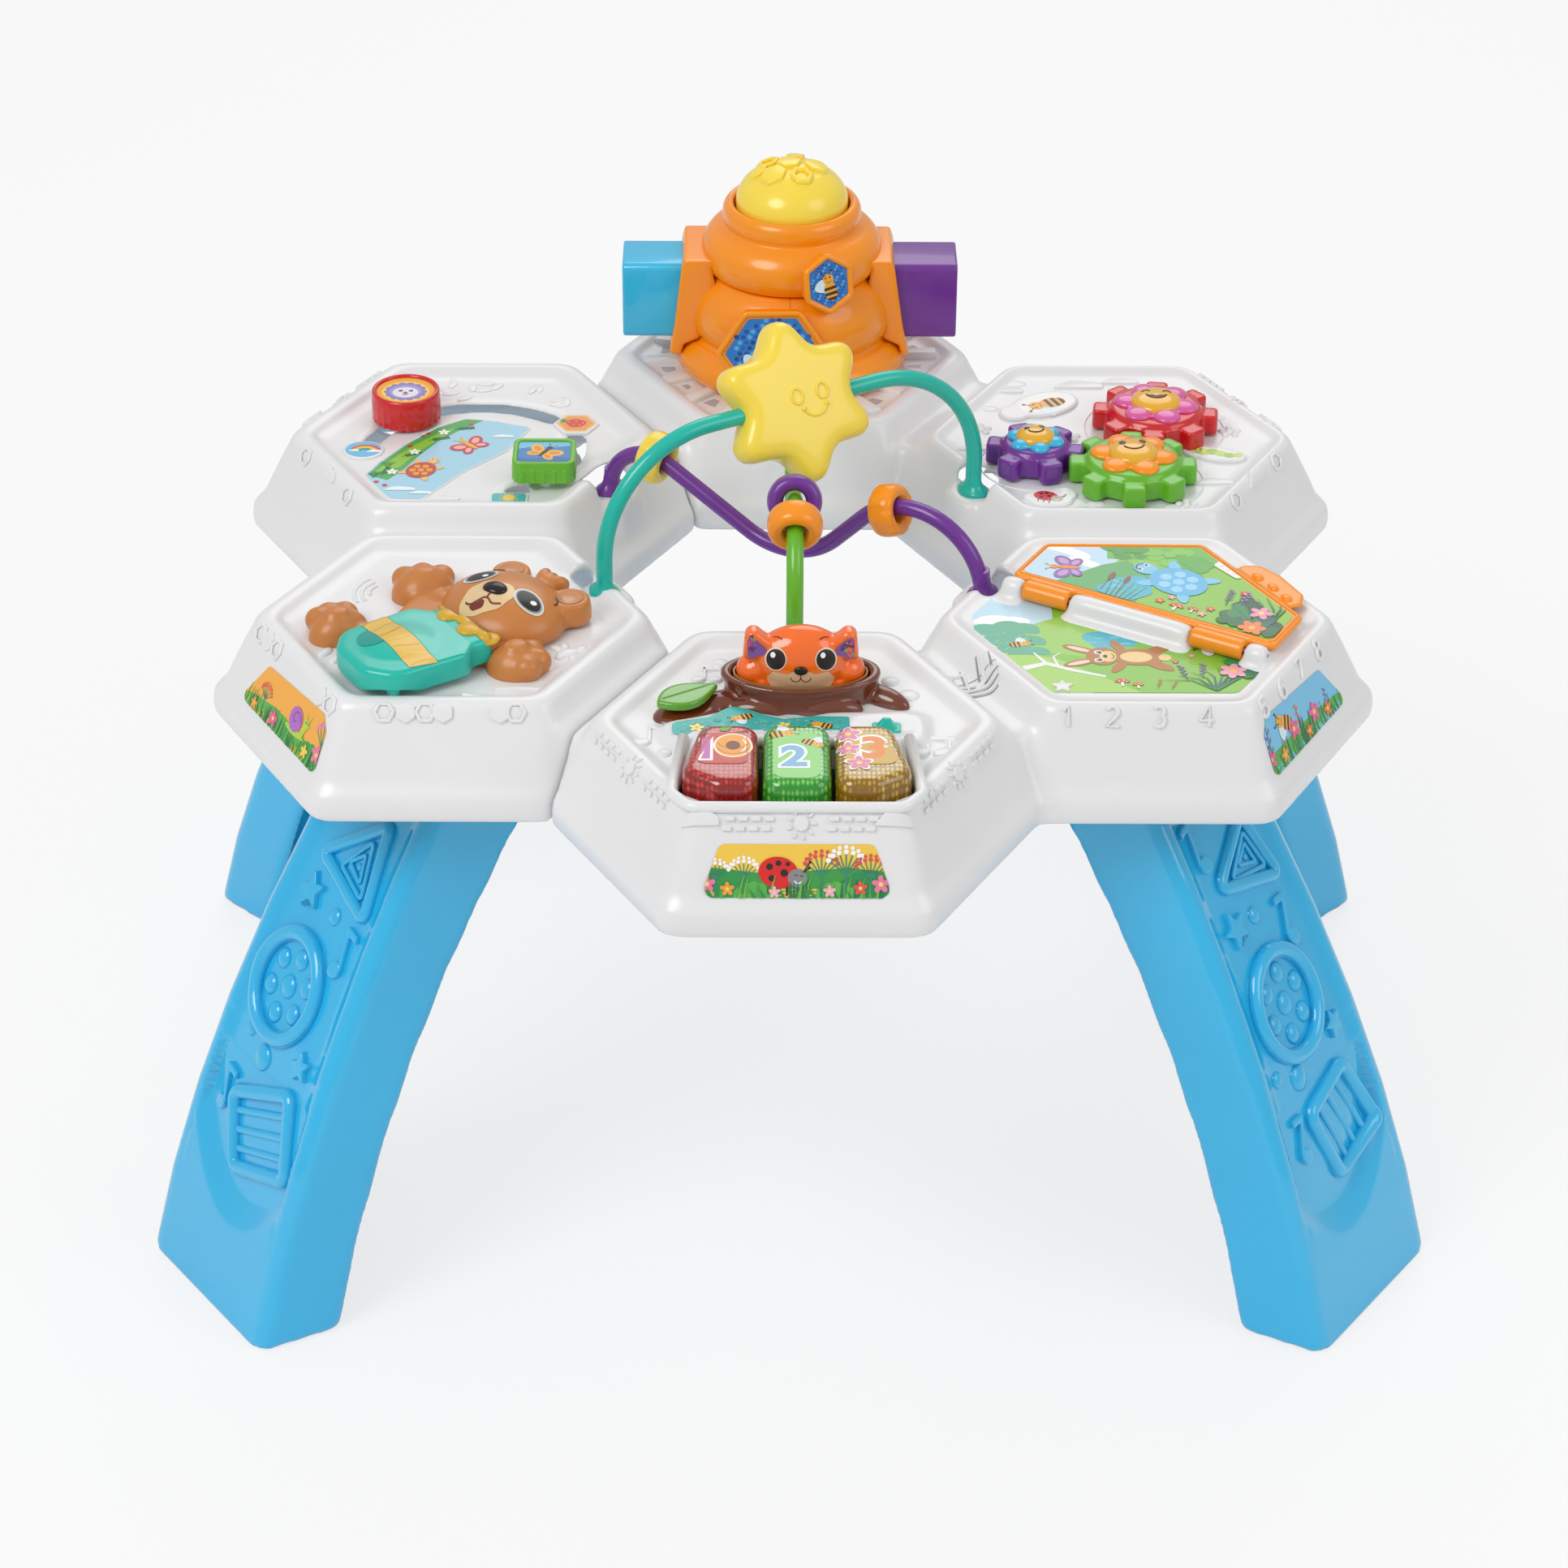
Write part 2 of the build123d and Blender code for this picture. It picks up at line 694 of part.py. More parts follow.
hive_posts = [polar(46, 45 + 90 * step) for step in range(4)]

with BuildPart() as back_shell:
    add(third_with_bosses.part.rotate(Axis.Z, 120))
    add(leg_mount_blank)
    tray(back_right, gear_tray_half, tray_depth)
    tray(back, tray_half, tray_depth)
    for hub in hubs:
        peg(hub, spindle_radius, tray_height - 1, spindle_top)
        peg(hub, spindle_pilot, tray_height, spindle_top + 1, Mode.SUBTRACT)
    for x, y in hive_posts:
        peg(in_cell(back, x, y), 2.0, ceiling - 1, tray_height + 1, Mode.SUBTRACT)
finish(back_shell, "back_shell")

# ---- Left shell: slider tray and the bear's tray ----
red_slot = in_cell(back_left, red_slot_x, red_slot_y)
green_slot = in_cell(back_left, green_slot_x, green_slot_y)
pot = in_cell(front_left, pot_x, pot_y)
pot_stem = 9.0

with BuildPart() as left_shell:
    add(third_with_bosses.part.rotate(Axis.Z, 240))
    add(mirrored(leg_mount_blank, True, False))
    add(mirrored(leg_mount_blank, True, True))
    tray(back_left, tray_half, tray_depth)
    tray(front_left, tray_half, tray_depth)
    arc_slot(red_slot, red_slot_radius, red_slot_ends, slot_width,
             ceiling - 1, tray_height + 1, Mode.SUBTRACT)
    arc_slot(green_slot, green_slot_radius, green_slot_ends, slot_width,
             ceiling - 1, tray_height + 1, Mode.SUBTRACT)
    peg(pot, pot_stem + stem_gap, ceiling - 1, tray_height + 1, Mode.SUBTRACT)
finish(left_shell, "left_shell")

# ---- Legs ----
for leg_name, flip_x, flip_y in (
    ("leg_back_right", False, False),
    ("leg_back_left", True, False),
    ("leg_front_right", False, True),
    ("leg_front_left", True, True),
):
    with BuildPart() as leg:
        add(mirrored(leg_blank, flip_x, flip_y))
    finish(leg, leg_name)


# ---- Bead arches ----
def arch_plane(azimuth):
    """Upright plane through the ring's middle: x outwards, y up from the skirt's edge."""
    return Plane(
        origin=(0, 0, skirt_level),
        x_dir=(cos(radians(azimuth)), sin(radians(azimuth)), 0),
        z_dir=(sin(radians(azimuth)), -cos(radians(azimuth)), 0),
    )


def arch_foot(azimuth):
    """Flange where an arch stands on its boss."""
    level = Plane.XY.offset(foot_level).rotated((0, 0, azimuth))
    with BuildSketch(level, mode=Mode.PRIVATE) as flange:
        with Locations((arch_reach, 0)):
            Ellipse(10, 7.5)
    extrude(flange.sketch, amount=2.5)


plug_level = arch_foot_height - plug_length
purple_corners = [
    (-arch_reach, plug_level),
    (-arch_reach, purple_left_corner),
    (purple_dip_shift, purple_dip_corner),
    (arch_reach, purple_right_corner),
    (arch_reach, plug_level),
]
green_corners = [
    (-arch_reach, plug_level),
    (-arch_reach, green_corner),
    (0, green_dip_corner),
    (arch_reach, green_corner),
    (arch_reach, plug_level),
]

with BuildPart() as teal_arch:
    with BuildLine(arch_plane(30)) as teal_path:
        FilletPolyline(
            (-arch_reach, plug_level),
            (-arch_reach, teal_height),
            (arch_reach, teal_height),
            (arch_reach, plug_level),
            radius=teal_bend,
        )
    with BuildSketch(Plane(teal_path.line @ 0, z_dir=(0, 0, 1))):
        Circle(tube_radius)
    sweep()
    for azimuth in (30, 210):
        arch_foot(azimuth)
finish(teal_arch, "teal_arch")

with BuildPart() as purple_arch:
    with BuildLine(arch_plane(-30)) as purple_path:
        FilletPolyline(*purple_corners, radius=(purple_left_bend, purple_dip_bend, purple_right_bend))
    with BuildSketch(Plane(purple_path.line @ 0, z_dir=(0, 0, 1))):
        Circle(tube_radius)
    sweep()
    for azimuth in (-30, 150):
        arch_foot(azimuth)
finish(purple_arch, "purple_arch")

with BuildPart() as green_arch:
    with BuildLine(arch_plane(90)) as green_path:
        FilletPolyline(*green_corners, radius=(green_bend, green_dip_bend, green_bend))
    with BuildSketch(Plane(green_path.line @ 0, z_dir=(0, 0, 1))):
        Circle(tube_radius)
    sweep()
    for azimuth in (90, -90):
        arch_foot(azimuth)
finish(green_arch, "green_arch")

# ---- Star on the teal arch ----
tilt = radians(star_tilt)
star_axis = Vector(cos(radians(30)), sin(radians(30)), 0)
star_face = Vector(sin(radians(30)) * cos(tilt), -cos(radians(30)) * cos(tilt), sin(tilt))
star_plane = Plane(origin=(0, 0, skirt_level + teal_height), x_dir=star_axis, z_dir=star_face)
star_points = []
for arm in range(6):
    star_points.append(polar(star_tip, 60 * arm + 30))
    star_points.append(polar(star_valley, 60 * arm + 60))

with BuildPart() as star_spinner:
    with BuildSketch(star_plane.offset(-star_thickness / 2)):
        Polygon(*star_points, align=None)
        fillet(vertices(), star_tip_round)
    extrude(amount=star_thickness)
    chamfer(faces().sort_by(Axis(star_plane.origin, star_face))[-1].edges(), 5)
    chamfer(faces().sort_by(Axis(star_plane.origin, star_face))[0].edges(), 5)
    with BuildSketch(Plane(origin=star_plane.origin - star_axis * star_tip, z_dir=star_axis)):
        Circle(tube_radius + running_gap)
    extrude(amount=2 * star_tip, mode=Mode.SUBTRACT)
finish(star_spinner, "star_spinner")


# ---- Beads ----
def bead(azimuth, bend_x, bend_height, bend_radius, angle):
    """Ring bead threaded on a bend of an arch."""
    plane = arch_plane(azimuth)
    a = radians(angle)
    middle = plane.from_local_coords((bend_x + bend_radius * cos(a), bend_height + bend_radius * sin(a)))
    along = plane.from_local_coords((-sin(a), cos(a))) - plane.origin
    across = plane.from_local_coords((cos(a), sin(a))) - plane.origin
    half = bead_length / 2
    profile_plane = Plane(origin=middle, x_dir=across, z_dir=across.cross(along))
    with BuildPart(mode=Mode.PRIVATE) as ring:
        with BuildSketch(profile_plane):
            Polygon(
                (bead_hole, -half + 2),
                (bead_hole + 2, -half),
                (bead_radius - 3.5, -half),
                (bead_radius, -half + 4),
                (bead_radius, half - 4),
                (bead_radius - 3.5, half),
                (bead_hole + 2, half),
                (bead_hole, half - 2),
                align=None,
            )
        revolve(axis=Axis(middle, along))
    return ring


purple_left_middle = -arch_reach + purple_left_bend
green_hump_middle = -arch_reach + green_bend
green_hump_level = green_peak - green_bend
purple_left_level = purple_left_peak - purple_left_bend
purple_right_middle = arch_reach - purple_right_bend
purple_right_level = purple_right_peak - purple_right_bend
finish(bead(-30, purple_left_middle, purple_left_level, purple_left_bend, 80), "yellow_bead")
finish(bead(-30, purple_right_middle, purple_right_level, purple_right_bend, 106.5), "ridged_bead")
finish(bead(90, green_hump_middle, green_hump_level, green_bend, 109.5), "orange_bead")
finish(bead(90, green_hump_middle, green_hump_level, green_bend, 70), "purple_bead")


# ---- Keys ----
def key_piece(points, name):
    """Key cap with a foot that keeps it in the bezel, hollow from below."""
    with BuildPart() as key:
        raised(front, points, foot_top - foot_height + 1, bezel_top + key_rise - 3, 5)
        level = skirt_level + bezel_top + key_rise
        outline = [in_cell(front, x, y) for x, y in points]
        top_outline = []
        middle_x = sum(x for x, y in outline) / len(outline)
        middle_y = sum(y for x, y in outline) / len(outline)
        for x, y in outline:
            top_outline.append((middle_x + (x - middle_x) * 0.88, middle_y + (y - middle_y) * 0.93))
        loft(
            [rounded_outline(outline, level - 3, 5), rounded_outline(top_outline, level, 4)],
            ruled=True,
        )
    finish(key, name)


key_piece(key_left_points, "key_one")
key_piece(key_middle_points, "key_two")
key_piece(key_right_points, "key_three")

# ---- Stump, fox, leaf and switch ----
with BuildPart() as tree_stump:
    loft(
        [
            oval(stump, skirt_level + tray_height, stump_half_width - 3, stump_half_depth - 4),
            oval(stump, skirt_level + rim_height + stump_rise - 4, stump_half_width, stump_half_depth),
        ],
        ruled=True,
    )
    raised_oval(stump, stump_half_width - 1, stump_half_depth - 1, rim_height + stump_rise - 4,
                rim_height + stump_rise)
    for spot, long_half, short_half, turn, height in (
        ((44, 26), 17, 7, -35, 6),
        ((-38, 22), 14, 9, 10, 4),
        ((-54, 14), 21, 13, leaf_turn, 4),
    ):
        raised_oval(in_cell(front, *spot), long_half, short_half, tray_height, tray_height + height, turn)
    raised_oval(stump, stump_half_width - stump_wall - 1, stump_half_depth - stump_wall + 0.5,
                tray_height - 1, rim_height + stump_rise + 1, mode=Mode.SUBTRACT)
    raised_oval(leaf, leaf_stem_length + stem_gap, leaf_stem_width + stem_gap,
                tray_height - 1, rim_height + 8, leaf_turn, Mode.SUBTRACT)
    raised(front, control_points, tray_height - 1, control_top + 0.1, 3, Mode.SUBTRACT)
finish(tree_stump, "tree_stump")

fox_level = rim_height + stump_rise - 4
with BuildPart() as fox_button:
    with BuildSketch(Plane(origin=(*stump, skirt_level + fox_level), x_dir=(1, 0, 0), z_dir=(0, -1, 0))):
        Polygon(
            (-20, 0),
            (20, 0),
            (33, 4),
            (31, 11),
            (26, 16),
            (27, 30),
            (22, 30),
            (13, 24),
            (0, 27),
            (-13, 24),
            (-20, 30),
            (-25, 30),
            (-25, 16),
            (-31, 11),
            (-33, 4),
            align=None,
        )
        fillet(vertices(), 1.4)
    extrude(amount=14, both=True)
    raised_oval(stump, stump_half_width - stump_wall - 2, stump_half_depth - stump_wall - 1,
                fox_level - 1, fox_level + 40, mode=Mode.INTERSECT)
    raised_oval(stump, fox_stem_length, fox_stem_width, foot_top - foot_height, fox_level + 1)
    raised_oval(stump, fox_stem_length + guide_foot, fox_stem_width + guide_foot,
                foot_top - foot_height, foot_top)
finish(fox_button, "fox_button")

leaf_bottom = tray_height + 4 + leaf_travel + 0.3
with BuildPart() as leaf_button:
    raised_oval(leaf, leaf_half_length, leaf_half_width, leaf_bottom, leaf_bottom + 3, leaf_turn)
    raised_oval(leaf, leaf_half_length - 3, leaf_half_width - 3,
                leaf_bottom + 3, leaf_bottom + 5, leaf_turn)
    raised_oval(leaf, leaf_stem_length, leaf_stem_width, foot_top - foot_height, leaf_bottom, leaf_turn)
    raised_oval(leaf, leaf_stem_length + guide_foot, leaf_stem_width + guide_foot,
                foot_top - foot_height, foot_top, leaf_turn)
finish(leaf_button, "leaf_button")

with BuildPart() as volume_switch:
    with Locations((*switch_spot, skirt_level + control_top - 2 + running_gap)):
        Box(7, 9, 4.5, align=STAND)
    with Locations((*switch_spot, skirt_level + foot_top - foot_height)):
        Box(switch_stem, 2.6, 12, align=STAND)
        Box(switch_stem + 2, 8, foot_height, align=STAND)
finish(volume_switch, "volume_switch")

# ---- Board, speaker and contact mat under the keys ----
with BuildPart() as circuit_board:
    raised(front, [(-56, -88), (56, -88), (71, -62), (71, -18), (-71, -18), (-71, -62)],
           board_top - 1.6, board_top, 2)
    for x, y in board_posts:
        peg(in_cell(front, x, y), screw_radius + 0.3, board_top - 2, board_top + 1, Mode.SUBTRACT)
finish(circuit_board, "circuit_board")

key_bottom = foot_top - foot_height + 1
with BuildPart() as key_contact_mat:
    raised(front, [(-56, -82), (56, -82), (56, -27), (-56, -27)], board_top, board_top + 2, 3)
    for x in (-key_width - 1, 0, key_width + 1):
        dome(in_cell(front, x, -54), 7, 4.5, board_top + 2, key_bottom - key_travel - 0.3)
finish(key_contact_mat, "key_contact_mat")

with BuildPart() as speaker:
    peg(speaker_spot, 13, valley_height - shell_wall - 3, valley_height - shell_wall)
    dome(speaker_spot, 7, 12, valley_height - shell_wall - 9, valley_height - shell_wall - 3)
    peg(speaker_spot, 7.5, valley_height - shell_wall - 14, valley_height - shell_wall - 9)
finish(speaker, "speaker")

# ---- Bottom cover with the battery box ----
cover_half = 96.0
battery_radius = 7.1
battery_length = 50.0
battery_pitch = 16.0
battery_spot = in_cell(front, 0, 10)
with BuildPart() as base_cover:
    block(hexagon(front, skirt_level + cover_top - 2.4, cover_half, 6), 2.4)
    with Locations((*battery_spot, skirt_level + cover_top - 2.4)):
        Box(3 * battery_pitch + 8, battery_length + 12, 22, align=STAND)
        Box(3 * battery_pitch + 3, battery_length + 7, 19.4, align=STAND, mode=Mode.SUBTRACT)
        Box(3 * battery_pitch + 12, battery_length + 16, 1.6, align=STAND, mode=Mode.SUBTRACT)
    for x, y in cover_posts:
        peg(in_cell(front, x, y), screw_radius + 0.3, 0, cover_top + 1, Mode.SUBTRACT)
finish(base_cover, "base_cover")

with BuildPart() as battery_door:
    with Locations((*battery_spot, skirt_level + cover_top - 2.4)):
        Box(3 * battery_pitch + 11.6, battery_length + 15.6, 1.5, align=STAND)
    with Locations((*battery_spot, skirt_level + cover_top - 0.9)):
        Box(3 * battery_pitch + 2.4, battery_length + 6.4, 1.5, align=STAND)
finish(battery_door, "battery_door")

with BuildPart() as battery_cells:
    for step in (-1, 0, 1):
        cell_plane = Plane(
            origin=(
                battery_spot[0] + step * battery_pitch,
                battery_spot[1] - battery_length / 2,
                skirt_level + cover_top + 0.7 + battery_radius,
            ),
            z_dir=(0, 1, 0),
        )
        with BuildSketch(cell_plane):
            Circle(battery_radius)
        extrude(amount=battery_length)
finish(battery_cells, "battery_cells")


# ---- Gears, flower caps and their screws ----
def gear_outline(hub, height, teeth, tooth_azimuth):
    """Toothed outline with straight tooth sides and rounded tips."""
    pitch = gear_module * teeth / 2
    with BuildSketch(Plane.XY.offset(skirt_level + height), mode=Mode.PRIVATE) as outline:
        with Locations(hub):
            Circle(pitch - tooth_root)
        for step in range(teeth):
            with Locations(Location(hub, tooth_azimuth + step * 360 / teeth)):
                Polygon(
                    (pitch - tooth_root - 3, -tooth_root_half),
                    (pitch + tooth_reach - 2, -tooth_tip_half - 0.6),
                    (pitch + tooth_reach, -tooth_tip_half + 1.2),
                    (pitch + tooth_reach, tooth_tip_half - 1.2),
                    (pitch + tooth_reach - 2, tooth_tip_half + 0.6),
                    (pitch - tooth_root - 3, tooth_root_half),
                    align=None,
                )
    return outline.sketch


def gear(name, hub, teeth, tooth_azimuth):
    """Gear that turns on its spindle, with a recess for the screw's head."""
    with BuildPart() as wheel:
        extrude(gear_outline(hub, gear_bottom, teeth, tooth_azimuth), amount=gear_height)
        peg(hub, spindle_radius + running_gap, gear_bottom - 1, spindle_top, Mode.SUBTRACT)
        peg(hub, screw_head_radius + 1, spindle_top - 0.3, gear_top + 1, Mode.SUBTRACT)
    finish(wheel, name)


def petal_cap(name, hub, radius, petals, first_azimuth):
    """Flower-shaped cap on a gear."""
    petal_radius = radius * 0.36
    with BuildPart() as cap:
        with BuildSketch(Plane.XY.offset(skirt_level + gear_top), mode=Mode.PRIVATE) as flower:
            with Locations(hub):
                Circle(radius * 0.75)
            for step in range(petals):
                azimuth = first_azimuth + step * 360 / petals
                with Locations(from_point(hub, radius - petal_radius, azimuth)):
                    Circle(petal_radius)
        extrude(flower.sketch, amount=cap_height)
    finish(cap, name)


def flower_middle(name, hub, radius):
    """Round face in the middle of a flower cap."""
    with BuildPart() as middle:
        dome(hub, radius, radius - 1.5, gear_top + cap_height, gear_top + cap_height + 1.5)
        dome(hub, radius - 1.5, radius * 0.5, gear_top + cap_height + 1.5, gear_top + cap_height + 3)
    finish(middle, name)


screw_head_radius = 6.8
cap_height = 3.2
big_step = 360 / gear_big_teeth
green_offset = (green_tooth_azimuth - red_gear_azimuth) % big_step
red_tooth_azimuth = red_gear_azimuth + 180 + big_step / 2 - green_offset
purple_offset = (green_tooth_azimuth - purple_gear_azimuth) % big_step
purple_lag = (big_step / 2 - purple_offset) * big_pitch / small_pitch
purple_tooth_azimuth = purple_gear_azimuth + 180 + purple_lag

gear("red_gear", red_hub, gear_big_teeth, red_tooth_azimuth)
gear("green_gear", green_hub, gear_big_teeth, green_tooth_azimuth)
gear("purple_gear", purple_hub, gear_small_teeth, purple_tooth_azimuth)
petal_cap("pink_petals", red_hub, 24.5, 6, -12)
petal_cap("orange_petals", green_hub, 24.5, 6, -10)
petal_cap("blue_petals", purple_hub, 16.5, 6, -20)
flower_middle("red_gear_face", red_hub, 14.5)
flower_middle("green_gear_face", green_hub, 14.3)
flower_middle("purple_gear_face", purple_hub, 11.0)

with BuildPart() as gear_screws:
    for hub in hubs:
        peg(hub, screw_head_radius, spindle_top, spindle_top + 2)
        peg(hub, spindle_pilot - 0.05, spindle_top - 9, spindle_top)
finish(gear_screws, "gear_screws")

# ---- Slider knobs ----
knob_bottom = tray_height + 0.8
green_knob_bottom = rim_height + running_gap
red_knob = from_point(red_slot, red_slot_radius, red_knob_azimuth)
green_knob = from_point(green_slot, green_slot_radius, green_knob_azimuth)
stem_radius = slot_width / 2 - running_gap
keeper_radius = 9.0
keeper_thickness = 2.5


def slider_stem(spot, top):
    """Round stem from a knob through its slot."""
    peg(spot, stem_radius, foot_top - keeper_thickness, top + 1)


def slider_keeper(name, spot):
    """Washer under the tray that keeps a knob in its slot."""
    with BuildPart() as keeper:
        peg(spot, keeper_radius, foot_top - keeper_thickness, foot_top)
        peg(spot, stem_radius + 0.05, foot_top - keeper_thickness - 1, foot_top + 1, Mode.SUBTRACT)
    finish(keeper, name)


with BuildPart() as red_knob_piece:
    with BuildSketch(Plane.XY.offset(skirt_level + knob_bottom), mode=Mode.PRIVATE) as knob_outline:
        with Locations(red_knob):
            RegularPolygon(red_knob_radius, 20)
    extrude(knob_outline.sketch, amount=knob_height)
    peg(red_knob, red_knob_radius - 3, knob_bottom + knob_height - 1.5, knob_bottom + knob_height + 1,
        Mode.SUBTRACT)
    slider_stem(red_knob, knob_bottom)
finish(red_knob_piece, "red_slider_knob")

green_knob_top = knob_bottom + knob_height - 1
with BuildPart() as green_knob_piece:
    with BuildSketch(Plane.XY.offset(skirt_level + green_knob_bottom), mode=Mode.PRIVATE) as square:
        with Locations(green_knob):
            RectangleRounded(green_knob_side, green_knob_side - 4, 5)
    extrude(square.sketch, amount=green_knob_top - green_knob_bottom)
    with BuildSketch(Plane.XY.offset(skirt_level + green_knob_top - 1.5), mode=Mode.PRIVATE) as recess:
        with Locations(green_knob):
            RectangleRounded(green_knob_side - 6, green_knob_side - 10, 3)
    extrude(recess.sketch, amount=3, mode=Mode.SUBTRACT)
    slider_stem(green_knob, green_knob_bottom)
finish(green_knob_piece, "green_slider_knob")
slider_keeper("red_slider_keeper", red_knob)
slider_keeper("green_slider_keeper", green_knob)

# ---- Book page and its pin ----
with BuildPart() as book_page:
    block(page_outline(hinge_height, 0), page_thickness)
    for start, end in page_knuckles:
        beside_hinge(start + knuckle_gap, end - knuckle_gap, 0, knuckle_radius + 3,
                     hinge_height, hinge_height + page_thickness)
        along_hinge(start + knuckle_gap, end - knuckle_gap, barrel_radius)
    tab_level = Plane(
        origin=(*front_right, skirt_level + hinge_height - 0.5), x_dir=(1, 0, 0), z_dir=(0, 0, 1)
    )
    with BuildSketch(tab_level):
        Polygon(
            (52, 40), (60, 48), (70, 47.7), (79.5, 37.4), (90, 15.7), (87.5, 5.6), (78, 2),
            align=None,
        )
        fillet(vertices(), 2.5)
    extrude(amount=2.6)
    along_hinge(hinge_start, hinge_end, pin_radius + 0.05, Mode.SUBTRACT)
finish(book_page, "book_page")

with BuildPart() as hinge_pin:
    along_hinge(hinge_start, hinge_end, pin_radius)
finish(hinge_pin, "hinge_pin")

# ---- Bear and honey pot ----
bear_floor = tray_height
head = in_cell(front_left, head_x, head_y)
pot_turn = radians(33)
pot_line = in_cell(front_left, 16.4, -25.2)


def on_pot(a, b):
    """Point along and beside the pot's axis."""
    return (
        pot_line[0] + a * cos(pot_turn) - b * sin(pot_turn),
        pot_line[1] + a * sin(pot_turn) + b * cos(pot_turn),
    )


pot_points = [
    (-78, -14), (-66, -29), (-24, -30), (-18, -22), (-5, -24), (-5, 22), (-18, 22),
    (-24, 30), (-68, 28), (-78, 14),
]


def pot_outline(height, outset, corner):
    """Outline of the honey pot, kept inside the tray and off the bear's head."""
    with BuildSketch(Plane.XY.offset(skirt_level + height), mode=Mode.PRIVATE) as outline:
        Polygon(*[on_pot(a, b) for a, b in pot_points], align=None)
        offset(amount=outset, kind=Kind.INTERSECTION)
        with Locations(front_left):
            RegularPolygon((tray_half - 2.5 + outset) * flat_to_corner, 6, mode=Mode.INTERSECT)
        with Locations(head):
            Circle(head_radius + 1 - outset, mode=Mode.SUBTRACT)
        fillet(outline.vertices(), corner)
    return outline.sketch


with BuildPart() as bear_head:
    peg(head, head_radius, tray_height + 5, tray_height + 12)
    dome(head, head_radius, head_radius - 5, tray_height + 12, tray_height + 19)
    dome(head, head_radius - 5, head_radius * 0.5, tray_height + 19, rim_height + head_rise)
    for spot, radius in (((30, 31), 11), ((62, 1), 11.5)):
        dome(in_cell(front_left, *spot), radius, radius - 1.5, tray_height + 5, tray_height + 15)
    dome(in_cell(front_left, 50, 24), 8, 6, tray_height + 5, tray_height + 16)
finish(bear_head, "bear_head")

with BuildPart() as bear_body:
    with BuildSketch(Plane.XY.offset(skirt_level + bear_floor), mode=Mode.PRIVATE) as bear_outline:
        Polygon(
            *[in_cell(front_left, x, y) for x, y in (
                (-62, -22), (-64, -8), (-30, -6), (-28, 15), (-12, 15), (0, 6), (30, 4),
                (46, -48), (34, -56), (20, -40), (-20, -24),
            )],
            align=None,
        )
        with Locations(in_cell(front_left, -17, 28), in_cell(front_left, 36, -48)):
            Circle(15.5)
        with Locations(Location(in_cell(front_left, -58, -15), 20)):
            Ellipse(16, 13)
        with Locations(front_left):
            RegularPolygon((tray_half - 2.5) * flat_to_corner, 6, mode=Mode.INTERSECT)
    extrude(bear_outline.sketch, amount=5)
    dome(in_cell(front_left, -17, 28), 15.5, 13, tray_height + 4, tray_height + 15)
    dome(in_cell(front_left, 36, -48), 15, 12.5, tray_height + 4, tray_height + 14)
    dome(in_cell(front_left, -58, -15), 13, 10.5, tray_height + 4, tray_height + 14)
    raised(front_left, [(-64, -20), (-50, 4), (-6, 16), (4, 10), (-30, -30)], tray_height + 4,
           tray_height + 11, 3)
    peg(head, head_radius + seat_gap, tray_height + 5, rim_height + head_rise, Mode.SUBTRACT)
    extrude(pot_outline(tray_height - 1, 0.7, 1.0), amount=40, mode=Mode.SUBTRACT)
finish(bear_body, "bear_body")

pot_bottom = tray_height + pot_travel + 0.6
pot_top = rim_height + pot_rise
with BuildPart() as honey_pot:
    extrude(pot_outline(pot_bottom, 0, 3), amount=pot_top - 4 - pot_bottom)
    loft([pot_outline(pot_top - 4, 0, 3).face(), pot_outline(pot_top, -4, 2).face()], ruled=True)
    peg(pot, pot_stem, foot_top - foot_height, pot_bottom + 1)
    peg(pot, pot_stem + guide_foot, foot_top - foot_height, foot_top)
finish(honey_pot, "honey_pot")

# ---- Hive ----
tier_split = 110.0
hive_wall = 2.6
hive_bottom = tray_height
lower_profile = [
    (62.0, hive_bottom), (68.5, 61.0), (66.5, 71.0), (58.0, 77.0), (59.0, 90.0), (55.0, 100.0),
    (46.5, tier_split),
]
upper_profile = [
    (46.5, tier_split), (50.0, 116.0), (51.5, 125.0), (47.0, 138.0), (39.5, 146.0), (37.5, hive_top),
]


def spin(points, mode=Mode.ADD):
    """Solid of revolution about the hive's axis, from radii and heights above the skirt."""
    plane = Plane(origin=(*back, skirt_level), x_dir=(1, 0, 0), z_dir=(0, -1, 0))
    with BuildSketch(plane, mode=Mode.PRIVATE) as section:
        Polygon(*points, align=None)
    revolve(section.sketch, axis=Axis((*back, 0), (0, 0, 1)), mode=mode)


def hive_tunnel(gap, mode=Mode.SUBTRACT):
    """Passage for the sliding block."""
    with Locations((*back, skirt_level + block_bottom - gap)):
        Box(4 * block_reach, block_depth + 2 * gap, block_top - block_bottom + 2 * gap,
            align=STAND, mode=mode)


def half_space(side, shift):
    """Everything on one side of the hive's seam."""
    with Locations((back[0] + shift + side * 150, back[1], skirt_level + 100)):
        Box(300, 300, 300, mode=Mode.INTERSECT)


def hive_envelope(outset):
    """Outside of the three tiers as one solid."""
    with BuildPart(mode=Mode.PRIVATE) as envelope:
        outside = [(r + outset, h) for r, h in lower_profile + upper_profile[1:]]
        spin([(0, hive_bottom)] + outside + [(0, hive_top)])
    return envelope.part


